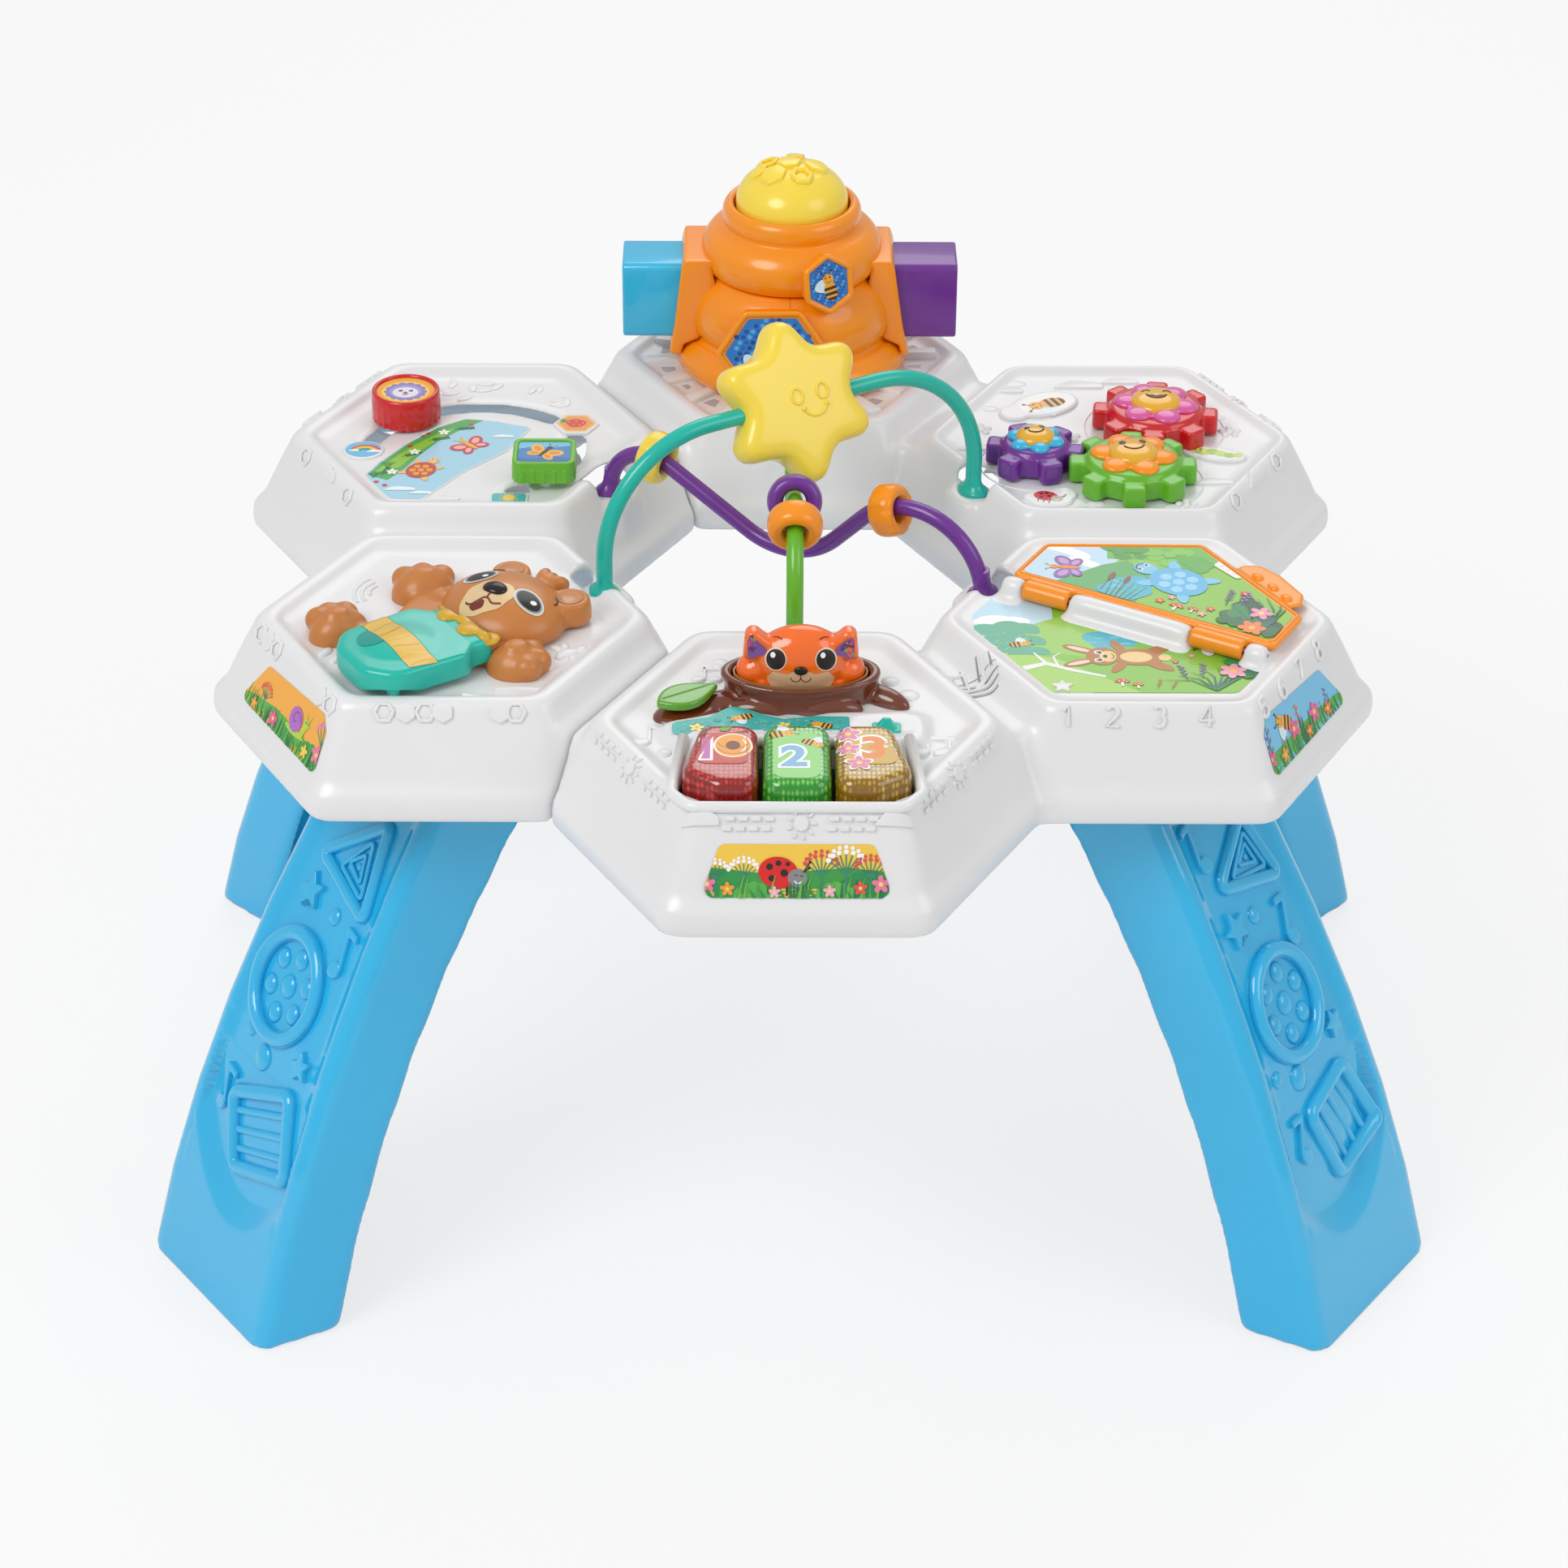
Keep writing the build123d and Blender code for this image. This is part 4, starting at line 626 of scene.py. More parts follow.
def finer(bm, size):
    """Splits long edges, so that a flat shape can follow a curved surface."""
    bmesh.ops.triangulate(bm, faces=[f for f in bm.faces if len(f.verts) > 4])
    for _ in range(6):
        long_edges = [e for e in bm.edges if e.calc_length() > size]
        if not long_edges:
            break
        bmesh.ops.subdivide_edges(bm, edges=long_edges, cuts=1, use_grid_fill=True)
        bmesh.ops.triangulate(bm, faces=[f for f in bm.faces if len(f.verts) > 4])
    return bm


def wrapped(bm, place, surface, reach=60.0):
    """Lays a flat shape on a surface, along the place's Z axis."""
    out = (place.to_3x3() @ Vector((0, 0, 1))).normalized()
    for vert in bm.verts:
        flat = place @ Vector((vert.co.x, vert.co.y, 0))
        hit = surface.ray_cast(flat + out * reach, -out, reach * 2)[0]
        vert.co = (hit if hit is not None else flat) + out * vert.co.z
    return bm


def framed(along, up, out, spot):
    """Placement with its three axes and its origin."""
    return Matrix([(*axis, 0) for axis in (along, up, out)] + [(*spot, 1)]).transposed()


def wall_spot(cell, azimuth, height):
    """Middle of a cell's outer wall at some height."""
    out = WALL_FOOT - (height - SHOULDER) * WALL_SLOPE
    return CELLS[cell] + polar(out, azimuth, height)


def wall_place(cell, azimuth, height=38.0):
    """Frame on a cell's sloping outer wall: X along it, Y up the slope, Z outward."""
    lean = atan(WALL_SLOPE)
    normal = polar(1, azimuth) * cos(lean) + Vector((0, 0, sin(lean)))
    along = Vector((-sin(radians(azimuth)), cos(radians(azimuth)), 0))
    return framed(along, normal.cross(along), normal, wall_spot(cell, azimuth, height))


def on_wall(points, height=38.0):
    """Wall frame outline from points given as (along, height above the skirt's edge)."""
    lean = atan(WALL_SLOPE)
    return [(t, (z - height) / cos(lean)) for t, z in points]


def rim_place(cell, azimuth, along, height=56.0):
    """Frame on the rounded edge between a cell's rim and its outer wall: X along it, Y inward and up."""
    out = polar(1, azimuth)
    normal = (out + Vector((0, 0, 1))).normalized()
    side = Vector((-out.y, out.x, 0))
    return framed(side, normal.cross(side), normal, wall_spot(cell, azimuth, height) + side * along)


def tray_place(cell, height=TRAY, x=0.0, y=0.0, turn=0.0):
    """Level frame in a cell."""
    return Matrix.Translation(CELLS[cell] + Vector((x, y, height))) @ Matrix.Rotation(radians(turn), 4, "Z")

# ---- Printed pictures ----
class Picture:
    """Printed picture: flat coloured shapes in thin layers over a base film."""

    def __init__(self, outline, base, rings=0):
        self.bm = bmesh.new()
        self.ink = self.bm.loops.layers.float_color.new("ink")
        self.level = 0
        self.rings = rings
        self.outline = outline
        self.fill(outline, base)

    def colour(self, faces, shade):
        """Inks some faces."""
        for face in faces:
            for loop in face.loops:
                loop[self.ink] = (*linear(shade), 1)

    def fill(self, outline, shade):
        """Adds a shape as the new top layer."""
        points = [Vector(p) for p in outline]
        area = sum(a.x * b.y - b.x * a.y for a, b in zip(points, points[1:] + points[:1]))
        if area < 0:
            points.reverse()
        height = self.level * INK_STEP
        self.level += 1
        if not self.rings:
            face = self.bm.faces.new([self.bm.verts.new((p.x, p.y, height)) for p in points])
            self.colour([face], shade)
            return self
        middle = sum(points, Vector((0, 0))) / len(points)
        inner = [self.bm.verts.new((middle.x, middle.y, height))] * len(points)
        faces = []
        for ring in range(1, self.rings + 1):
            spots = [middle.lerp(p, ring / self.rings) for p in points]
            outer = [self.bm.verts.new((p.x, p.y, height)) for p in spots]
            for k in range(len(points)):
                after = (k + 1) % len(points)
                if ring == 1:
                    faces.append(self.bm.faces.new((inner[k], outer[k], outer[after])))
                else:
                    faces.append(self.bm.faces.new((inner[k], outer[k], outer[after], inner[after])))
            inner = outer
        self.colour(faces, shade)
        return self

    def level_with(self, count=1):
        """Puts the next shape in the same layer as the one before it."""
        self.level -= count
        return self

    def line(self, path, width, shade, taper=1.0):
        """Adds a drawn line."""
        height = self.level * INK_STEP
        self.level += 1
        outline = ribbon(path, width, taper)
        half = len(path)
        verts = [self.bm.verts.new((x, y, height)) for x, y in outline]
        faces = []
        for k in range(half - 1):
            faces.append(self.bm.faces.new((verts[k], verts[2 * half - 1 - k], verts[2 * half - 2 - k],
                                            verts[k + 1])))
        self.colour(faces, shade)
        return self

    def numeral(self, text, x, y, size, shade, edge):
        """Adds a numeral with an outline of another colour."""
        for bold, ink in ((0.09, edge), (0.035, shade)):
            curve = bpy.data.curves.new("numeral", "FONT")
            curve.body = text
            curve.size = size
            curve.align_x = "CENTER"
            curve.align_y = "CENTER"
            curve.offset = size * bold
            form = from_curve(curve)
            for face in form.faces:
                if face.normal.z < 0:
                    face.normal_flip()
            bmesh.ops.translate(form, vec=(x, y, self.level * INK_STEP), verts=form.verts)
            mesh = bpy.data.meshes.new("numeral")
            form.to_mesh(mesh)
            form.free()
            known = len(self.bm.faces)
            self.bm.from_mesh(mesh)
            bpy.data.meshes.remove(mesh)
            self.bm.faces.ensure_lookup_table()
            self.colour(self.bm.faces[known:], ink)
            self.level += 1
        return self

    def trimmed(self):
        """Cuts off what passes the base film's edge, which is convex."""
        points = [Vector((*p, 0)) for p in self.outline]
        area = sum(a.x * b.y - b.x * a.y for a, b in zip(points, points[1:] + points[:1]))
        if area < 0:
            points.reverse()
        for a, b in zip(points, points[1:] + points[:1]):
            way = b - a
            if way.length < 1e-6:
                continue
            outward = Vector((way.y, -way.x, 0)).normalized()
            everything = self.bm.verts[:] + self.bm.edges[:] + self.bm.faces[:]
            bmesh.ops.bisect_plane(self.bm, geom=everything, dist=1e-5, plane_co=a + outward * 1e-4,
                                   plane_no=outward, clear_outer=True)
        return self

    def lay(self, name, place, body, slot, surface=None, lift=0.06, apart=1.0, fine=0.0):
        """Makes the picture a piece on a plane or on a surface; its layers may stand further apart there."""
        if fine:
            finer(self.bm, fine)
        bmesh.ops.scale(self.bm, vec=(1, 1, apart), verts=self.bm.verts)
        bmesh.ops.translate(self.bm, vec=(0, 0, lift), verts=self.bm.verts)
        if surface is None:
            moved(self.bm, place)
        else:
            wrapped(self.bm, place, surface)
        return piece(name, self.bm, inked(), body, (), 180)


def flower(art, x, y, reach, shade, eye="#F7E06A", count=5, turn=20):
    """Round-petalled flower."""
    for k in range(count):
        angle = radians(turn + 360 * k / count)
        art.fill(oval(x + reach * 0.55 * cos(angle), y + reach * 0.55 * sin(angle), reach * 0.46, reach * 0.3,
                      turn + 360 * k / count, 14), shade)
    art.fill(oval(x, y, reach * 0.24, steps=12), eye)


def umbel(art, x, y, height, shade, green="#3FA98A"):
    """Tall flower head of many small dots on ribs."""
    art.line([(x, y), (x, y + height * 0.6)], height * 0.05, green)
    for k in range(7):
        angle = radians(30 + 20 * k)
        tip = (x + height * 0.42 * cos(angle), y + height * 0.6 + height * 0.36 * sin(angle))
        art.line([(x, y + height * 0.5), tip], height * 0.03, green)
        art.fill(oval(*tip, height * 0.055, steps=8), shade)
        art.fill(oval(tip[0] * 0.92 + x * 0.08, tip[1] + height * 0.1, height * 0.045, steps=8), shade)


def spray(art, x, y, height, shade, stem="#2F7F3E", turn=0):
    """Spike of small buds."""
    art.line([(x, y), (x + turn, y + height)], height * 0.035, stem)
    for k in range(7):
        share = 0.35 + 0.62 * k / 6
        side = 1 if k % 2 else -1
        art.fill(oval(x + turn * share + side * height * 0.07, y + height * share, height * 0.075,
                      height * 0.04, 45 * side, 8), shade)


def tuft(art, x, y, height, shade, blades=6, spread=0.8):
    """Tuft of grass."""
    for k in range(blades):
        lean = spread * (k / (blades - 1) - 0.5) * 2
        path = [(x + lean * height * s * s * 0.8, y + height * s * (1 - 0.25 * abs(lean)))
                for s in (0, 0.35, 0.7, 1)]
        art.line(path, height * 0.14, shade, 0.15)


def fern(art, x, y, length, turn, shade):
    """Curved twig with leaves on both sides."""
    c, s = cos(radians(turn)), sin(radians(turn))
    for k in range(6):
        run = length * (0.2 + 0.14 * k)
        for side in (-1, 1):
            art.fill(leafy(x + run * c, y + run * s, length * 0.22, length * 0.06, turn + side * 50), shade)
    art.line([(x, y), (x + length * c, y + length * s)], length * 0.03, shade)


def bush(art, x, y, width, height, shade, puffs=5):
    """Rounded bush."""
    for k in range(puffs):
        share = k / (puffs - 1) - 0.5
        art.fill(oval(x + width * share * 0.75, y + height * (0.45 - share * share),
                      width * 0.62 / puffs * 1.6, height * 0.5, steps=16), shade)


def toadstool(art, x, y, size):
    """Red toadstool."""
    art.line([(x, y), (x, y + size * 0.6)], size * 0.2, "#F6EBDD")
    art.fill(bent(x, y + size * 0.5, size * 0.5, size * 0.42, range(0, 181, 15)), "#E0432B")
    for dx, dy in ((-0.2, 0.62), (0.1, 0.74), (0.27, 0.58)):
        art.fill(oval(x + size * dx, y + size * dy, size * 0.06, steps=8), "#FFFFFF")


class Figure:
    """Small drawing in a picture: its parts are given at size 1, about its own middle and unturned."""

    def __init__(self, art, x, y, size, turn=0.0):
        self.art, self.x, self.y, self.size, self.turn = art, x, y, size, turn

    def at(self, p, q):
        """Point of the drawing in the picture."""
        c, s = cos(radians(self.turn)), sin(radians(self.turn))
        return (self.x + self.size * (p * c - q * s), self.y + self.size * (p * s + q * c))

    def blob(self, p, q, a, b, shade, lean=0.0, steps=18):
        """Adds an ellipse."""
        self.art.fill(oval(*self.at(p, q), self.size * a, self.size * b, self.turn + lean, steps), shade)

    def dot(self, p, q, reach, shade, steps=12):
        """Adds a round spot."""
        self.art.fill(oval(*self.at(p, q), self.size * reach, steps=steps), shade)

    def stroke(self, path, width, shade):
        """Adds a line."""
        self.art.line([self.at(*spot) for spot in path], self.size * width, shade)


def bee(art, x, y, size, turn=0.0, body="#F7B32B"):
    """Striped bee seen from its side; its head is along the turn."""
    figure = Figure(art, x, y, size, turn)
    for p, q, lean in ((-0.05, 0.55, 70), (0.2, 0.5, 110)):
        figure.blob(p, q, 0.42, 0.24, "#DDF1FA", lean)
    figure.blob(-0.35, 0, 0.62, 0.4, body, 0, 24)
    for low, high in ((-0.92, -0.74), (-0.6, -0.42), (-0.27, -0.1)):
        upper = [(p, 0.4 * sqrt(max(0.0, 1 - ((p + 0.35) / 0.62) ** 2)))
                 for p in (low, (low + high) / 2, high)]
        art.fill([figure.at(p, q) for p, q in upper] + [figure.at(p, -q) for p, q in reversed(upper)],
                 "#3A2A20")
    figure.dot(0.38, 0, 0.34, body, 20)
    for q in (-0.12, 0.14):
        figure.stroke([(0.6, q), (0.82, q * 2.4)], 0.05, "#3A2A20")
        figure.dot(0.86, q * 2.6, 0.07, "#3A2A20", 10)
        figure.dot(0.48, q * 1.1, 0.055, "#2A1B16", 10)
    figure.stroke(bent(0.3, 0, 0.12, 0.16, range(110, 251, 20)), 0.035, "#7A3A1C")


def ladybird(art, x, y, size, turn=0.0, shell="#E0231F", head="#8B8B90", dark="#2A2422"):
    """Spotted beetle; its head is along the turn."""
    figure = Figure(art, x, y, size, turn)
    for p in (-0.5, -0.1, 0.3):
        figure.stroke([(p, 0), (p + 0.1, -0.95)], 0.07, dark)
    figure.blob(-0.1, 0, 0.85, 0.68, shell, 0, 28)
    figure.blob(0.75, -0.12, 0.42, 0.4, head, 0, 20)
    for p, q, reach in ((-0.5, 0.2, 0.15), (-0.15, 0.4, 0.13), (0.15, 0.02, 0.17), (-0.35, -0.28, 0.14),
                        (0.25, 0.42, 0.1)):
        figure.dot(p, q, reach, dark)
    for q in (0.05, 0.3):
        figure.stroke([(0.95, 0.15), (1.15, 0.3 + q)], 0.05, dark)
        figure.dot(1.17, 0.33 + q, 0.06, dark, 8)
    for p in (0.66, 0.9):
        figure.stroke(bent(p, -0.06, 0.07, 0.07, range(20, 161, 35)), 0.035, dark)
    figure.stroke(bent(0.78, -0.2, 0.16, 0.14, range(200, 341, 28)), 0.05, "#FFFFFF")


def butterfly(art, x, y, size, turn, wing, inner, body):
    """Butterfly with spread wings; its head is along the turn."""
    figure = Figure(art, x, y, size, turn)
    for side in (-1, 1):
        for p, q, a, b, lean in ((0.2, 0.52, 0.5, 0.34, 55), (-0.32, 0.42, 0.4, 0.26, 125)):
            figure.blob(p, side * q, a, b, wing, side * lean, 22)
            figure.blob(p, side * q, a * 0.62, b * 0.55, inner, side * lean)
    figure.blob(0, 0, 0.55, 0.13, body)
    figure.dot(0.58, 0, 0.17, body, 14)
    for side in (-1, 1):
        figure.stroke([(0.66, side * 0.05), (0.92, side * 0.2)], 0.04, body)
        figure.dot(0.94, side * 0.22, 0.05, body, 8)


def rabbit(art, x, y, size, turn, coat, light, patch="#F7D9C8", dark="#1E1714"):
    """Leaping rabbit seen from above; its head is along the turn."""
    figure = Figure(art, x, y, size, turn)
    for side in (-1, 1):
        figure.blob(0.2, side * 0.5, 0.36, 0.14, coat, side * 60)
        figure.blob(-0.85, side * 0.42, 0.42, 0.17, coat, side * 150)
        figure.blob(1.2, side * 0.34, 0.48, 0.15, coat, side * 22, 20)
        figure.blob(1.22, side * 0.35, 0.34, 0.08, patch, side * 22, 16)
    figure.blob(-0.3, 0, 0.68, 0.42, coat, 0, 28)
    figure.blob(-0.25, 0, 0.42, 0.27, light, 0, 22)
    figure.dot(-1.0, 0, 0.17, light, 14)
    figure.blob(0.62, 0, 0.42, 0.45, coat, 0, 26)
    figure.blob(0.48, 0, 0.22, 0.28, light, 0, 20)
    for side in (-1, 1):
        figure.blob(0.72, side * 0.2, 0.12, 0.1, "#FFFFFF", 0, 14)
        figure.blob(0.71, side * 0.19, 0.085, 0.07, dark, 0, 14)
        figure.dot(0.75, side * 0.17, 0.025, "#FFFFFF", 8)
    figure.blob(0.55, 0, 0.06, 0.08, dark, 0, 12)
    figure.stroke(bent(0.42, 0, 0.1, 0.12, range(100, 261, 20)), 0.03, dark)


def turtle(art, x, y, size, turn, shell, tiles, skin):
    """Turtle seen from above; its head is along the turn."""
    figure = Figure(art, x, y, size, turn)
    for p, q, lean in ((0.5, 0.5, 45), (0.5, -0.5, -45), (-0.5, 0.5, 135), (-0.5, -0.5, 225)):
        figure.blob(p, q, 0.28, 0.14, skin, lean, 16)
    figure.blob(0.95, 0, 0.3, 0.25, skin, 0, 20)
    figure.blob(0, 0, 0.72, 0.6, shell, 0, 28)
    for p, q in ((0, 0), (0.36, 0), (-0.36, 0), (0.18, 0.3), (0.18, -0.3), (-0.18, 0.3), (-0.18, -0.3)):
        art.fill(hexagon(*figure.at(p, q), size * 0.13, turn), tiles)
    for side in (-1, 1):
        figure.dot(1.02, side * 0.12, 0.07, "#FFFFFF")
        figure.dot(1.03, side * 0.12, 0.045, "#1E1714")


def snail(art, x, y, size, shell="#B56BC4", swirl="#8A3FA0", skin="#B8D843"):
    """Snail on its foot."""
    figure = Figure(art, x, y, size)
    art.fill(leafy(x - size, y, size * 2.3, size * 0.22), skin)
    figure.stroke([(0.75, 0), (1.0, 0.8)], 0.36, skin)
    figure.blob(1.02, 0.85, 0.28, 0.26, skin)
    figure.dot(-0.1, 0.6, 0.68, shell, 26)
    figure.stroke([(-0.1 + (0.56 - 0.05 * k) * cos(0.55 * k), 0.6 + (0.56 - 0.05 * k) * sin(0.55 * k))
                   for k in range(11)], 0.09, swirl)
    for side in (-0.1, 0.12):
        figure.stroke([(1.02 + side, 1), (1.05 + 2.4 * side, 1.4)], 0.06, skin)
        figure.dot(1.02 + side, 0.92, 0.055, "#2A1B16", 10)


def scatter(count, seed):
    """Repeatable spread of shares between 0 and 1."""
    state = seed
    for _ in range(count):
        state = (state * 1103515245 + 12345) % 2147483648
        first = state / 2147483648
        state = (state * 1103515245 + 12345) % 2147483648
        yield first, state / 2147483648

# ---- Table top, legs and arches ----
class ACTIVITY_OT_shells(bpy.types.Operator):
    """Rounded white table top in its three shells, with what is screwed under it"""

    bl_idname = "activity.shells"
    bl_label = "Table top shells"

    def execute(self, context):
        white = moulded("white", 0.3, 0.2, 0.012)
        for node in ("front_shell", "back_shell", "left_shell"):
            skin = softened(node_copy(node), sizes().shell_cell / MM, 9, True, False)
            piece(node + "_skin", skin, white, "table", [node], 180)
        for node in ("base_cover", "battery_door", "red_slider_keeper", "green_slider_keeper"):
            refinish(node, white)
        bare = plain("zinc_steel", "#A9ABAE", 0.35, 1.0, 1500.0)
        for node in ("leg_screws", "cover_screws", "board_screws", "hive_screws", "gear_screws", "hinge_pin",
                     "battery_cells", "speaker"):
            refinish(node, bare)
        refinish("circuit_board", plain("board_lacquer", "#2E6B3C", 0.35))
        refinish("key_contact_mat", plain("contact_rubber", "#4A4A4C", 0.7))
        return {"FINISHED"}


LEG_AZIMUTH = 35.8         # direction of the back right leg
LEG_SIDEWAYS = -7.9        # its middle line beside that direction
LEG_FRONT = 390.7          # its front at the floor, from the table's middle
LEG_REAR = 338.7           # its rear there
LEG_LEAN = 76.9            # how far it leans in on its way up
LEG_ARCH = 66.6            # how far its curve adds to that
LEG_TAPER = 18.0           # how far the rear falls behind the front
PANEL_SUNK = 4.0           # its panel below its front
SCOOP_FOOT, SCOOP_TOP = 44, 130    # heights between which the panel is hollowed
SCOOP_DEPTH = 6.0          # the hollow's depth at its lower end
SCOOP_RISE = 2.0           # what it loses further up


def leg_spot(side, height, lift):
    """Point on the back right leg's sunk panel: sideways, height above the floor and lift off it."""
    share = height / SKIRT
    radius = LEG_FRONT - LEG_LEAN * share - LEG_ARCH * share * share - PANEL_SUNK
    slope = (LEG_LEAN + 2 * LEG_ARCH * share) / SKIRT
    steep = sqrt(1 + slope * slope)
    radius += lift / steep
    height += lift * slope / steep
    return polar(radius, LEG_AZIMUTH, height) + polar(side + LEG_SIDEWAYS, LEG_AZIMUTH + 90)


def leg_motifs(flip_x, flip_y, second, surface):
    """Raised motifs on a leg's panel; the second layout is that of the legs on the right."""
    group = Group()
    ease = 1.6

    def note(x, y, turn):
        group.add(shift(finer(plate(oval(0, 0, 5.2, 4.2, 20, 20), -1, 3, ease), 3), x, y, 0, turn))
        stem = eased([(2.8, 0), (5.4, 0), (5.4, 17), (12, 14), (12, 18), (2.8, 22)], 0.8)
        group.add(shift(finer(plate(stem, -1, 2.6, 0.8), 3), x, y, 0, turn))

    def star(x, y, reach, turn):
        outline = starlike(0, 0, reach, reach * 0.45, 5, turn, 0.8)
        group.add(shift(finer(plate(outline, -1, 3.2, ease, 3, 0.9), 3), x, y))

    def dome(x, y, reach, rise):
        group.add(ball(x, y, -0.5, reach, reach, rise, 0, 20))

    def border(corners, thick, ease=5.0):
        group.add(bar(eased(corners, ease), 0.8, thick, True))
    if second:
        triangles = ([(21.7, 240), (-30.5, 227), (-19.4, 262)], [(8, 239), (-23.5, 234.5), (-16.2, 254.5)],
                     [(-2, 243), (-16.8, 239), (-14, 250)])
        ring_spot, ring_turn = (3.8, 173.4), 100
        square = [(-23.4, 127.9), (-40.9, 88), (2.3, 77), (16.8, 117.7)]
        notes = ((23, 254, 10), (-21, 198, 24), (29, 101, 24))
        stars = ((21, 219.8, 11.5, 75), (-27.2, 148, 9.5, 75))
        domes = ((0.9, 218.9, 4.6, 2.6), (31.8, 144.7, 4.6, 2.6), (13.5, 137.3, 7.2, 3.2))
    else:
        triangles = ([(-24.4, 240), (17, 270), (28.7, 226)], [(-6, 240.3), (10.2, 259.4), (19.9, 233)],
                     [(-0.6, 244.2), (8.7, 252), (13.5, 238.8)])
        ring_spot, ring_turn = (-8.9, 174.9), 20
        square = [(-21.1, 111.5), (25.9, 131.1), (41.7, 91.2), (-5.8, 75.5)]
        notes = ((23, 198.5, 14), (-31, 100.5, 12))
        stars = ((-19, 221.2, 11.5, 105), (26, 147.2, 9.8, 105))
        domes = ((5.1, 218.3, 4.6, 2.6), (-25.5, 143.8, 3.8, 2.4), (-8.7, 135.9, 7.2, 3.2))
    for corners, thick, ease in zip(triangles, (3.4, 1.3, 1.1), (3, 1.5, 1)):
        border(corners, thick, ease)
    dome(sum(p[0] for p in triangles[2]) / 3, sum(p[1] for p in triangles[2]) / 3, 2.0, 2.0)
    group.add(bar(oval(*ring_spot, 26.5, steps=48), 1.3, 4.2, True))
    dome(*ring_spot, 6.4, 3.2)
    for k in range(6):
        angle = radians(60 * k + ring_turn)
        dome(ring_spot[0] + 15.6 * cos(angle), ring_spot[1] + 15.6 * sin(angle), 5.6, 3.2)
    for spot in notes:
        note(*spot)
    for spot in stars:
        star(*spot)
    for spot in domes:
        dome(*spot)
    border(square, 4.2)
    for k in range(3):
        low = Vector(square[0]).lerp(Vector(square[3]), (k + 1) / 4)
        high = Vector(square[1]).lerp(Vector(square[2]), (k + 1) / 4)
        group.add(wire([(*low, 0.2), (*high, 0.2)], 2.2))
    for vert in group.bm.verts:
        side, height, lift = vert.co
        far, near = leg_spot(side, height, 12), leg_spot(side, height, 0.6)
        out = (far - near).normalized()
        hit = surface.ray_cast(far, -out, 18)[0] if surface else None
        spot = (hit or near) + out * (lift + 0.25)
        vert.co = Vector((spot.x * flip_x, spot.y * flip_y, spot.z))
    if flip_x * flip_y < 0:
        bmesh.ops.reverse_faces(group.bm, faces=group.bm.faces)
    return group.bm


def scooped(bm):
    """Presses the hollow with a rounded lower end into a leg's panel; the leg is the back right one."""
    for vert in bm.verts:
        height = vert.co.z
        share = min(height, SKIRT) / SKIRT
        rear = LEG_REAR - LEG_LEAN * share - LEG_ARCH * share ** 2 - LEG_TAPER * share ** 3 + 0.2
        depth = vert.co.xy.dot(polar(1, LEG_AZIMUTH).xy)
        if height < SKIRT and depth < rear + 1.6:
            vert.co += polar(rear - depth, LEG_AZIMUTH)
        if not SCOOP_FOOT < height < SCOOP_TOP:
            continue
        side = vert.co.xy.dot(polar(1, LEG_AZIMUTH + 90).xy) - LEG_SIDEWAYS
        front = leg_spot(side, height, PANEL_SUNK)
        sunk_now = (front - vert.co).dot(polar(1, LEG_AZIMUTH))
        if not -2 < sunk_now < 5.2 or abs(side) > 48.5 - 15.4 * share ** 1.5:
            continue
        run = height - 47 - 26 * ((side - 8) / 44) ** 2
        rise = min(1.0, max(0.0, run / 20))
        fall = min(1.0, max(0.0, (run - 24) / 22))
        sunk = SCOOP_DEPTH * rise * rise * (3 - 2 * rise) - SCOOP_RISE * fall * fall * (3 - 2 * fall)
        vert.co += polar(sunk_now - sunk, LEG_AZIMUTH)
    return bm


class ACTIVITY_OT_legs(bpy.types.Operator):
    """Rounded blue legs with raised motifs on their sunk panels"""

    bl_idname = "activity.legs"
    bl_label = "Legs"

    def execute(self, context):
        blue = glossy("blue", 0.025)
        skin, surface = None, None
        turn = Matrix.Rotation(radians(LEG_AZIMUTH), 3, "Z")
        form = node_copy("leg_back_right")
        bmesh.ops.rotate(form, matrix=turn.inverted(), verts=form.verts)
        form = softened(form, sizes().leg_cell / MM, 8, True, False, 1.5, 4.5)
        bmesh.ops.rotate(form, matrix=turn, verts=form.verts)
        form = scooped(form)
        surface = surface_of(form)
        skin = scaled(form)
        for node, flip_x, flip_y in (("leg_back_right", 1, 1), ("leg_back_left", -1, 1),
                                     ("leg_front_right", 1, -1), ("leg_front_left", -1, -1)):
            piece(node + "_motifs", leg_motifs(flip_x, flip_y, flip_x > 0, surface), blue, "table")
            bm = bmesh.new()
            bm.from_mesh(skin)
            bmesh.ops.scale(bm, vec=(flip_x, flip_y, 1), verts=bm.verts)
            if flip_x * flip_y < 0:
                bmesh.ops.reverse_faces(bm, faces=bm.faces)
            mesh = bpy.data.meshes.new(node)
            bm.to_mesh(mesh)
            bm.free()
            piece(node + "_skin", mesh, blue, "table", [node], 180)
        return {"FINISHED"}


def arch_spot(azimuth, x, z):
    """Point in an arch's upright plane."""
    return polar(x, azimuth, SKIRT + z)


def arch_tube(azimuth, corners, radii):
    """Bent tube with a flared foot at each end."""
    path = eased(corners, [0] + list(radii) + [0], 22, False)
    group = Group(wire([arch_spot(azimuth, x, z) for x, z in path], 4.5, False, 10))
    for x, z in (corners[0], corners[-1]):
        flare = [(0, 46), (10.4, 46), (10.6, 48.6), (9.2, 49.8), (7.0, 51.2), (5.6, 54), (4.7, 58.5),
                 (4.5, 62), (0, 62)]
        foot = lathe(flare, 40)
        bmesh.ops.scale(foot, vec=(1, 0.74, 1), verts=foot.verts)
        group.add(shift(foot, *polar(x, azimuth).xy, SKIRT, azimuth + 90))
    return group.bm


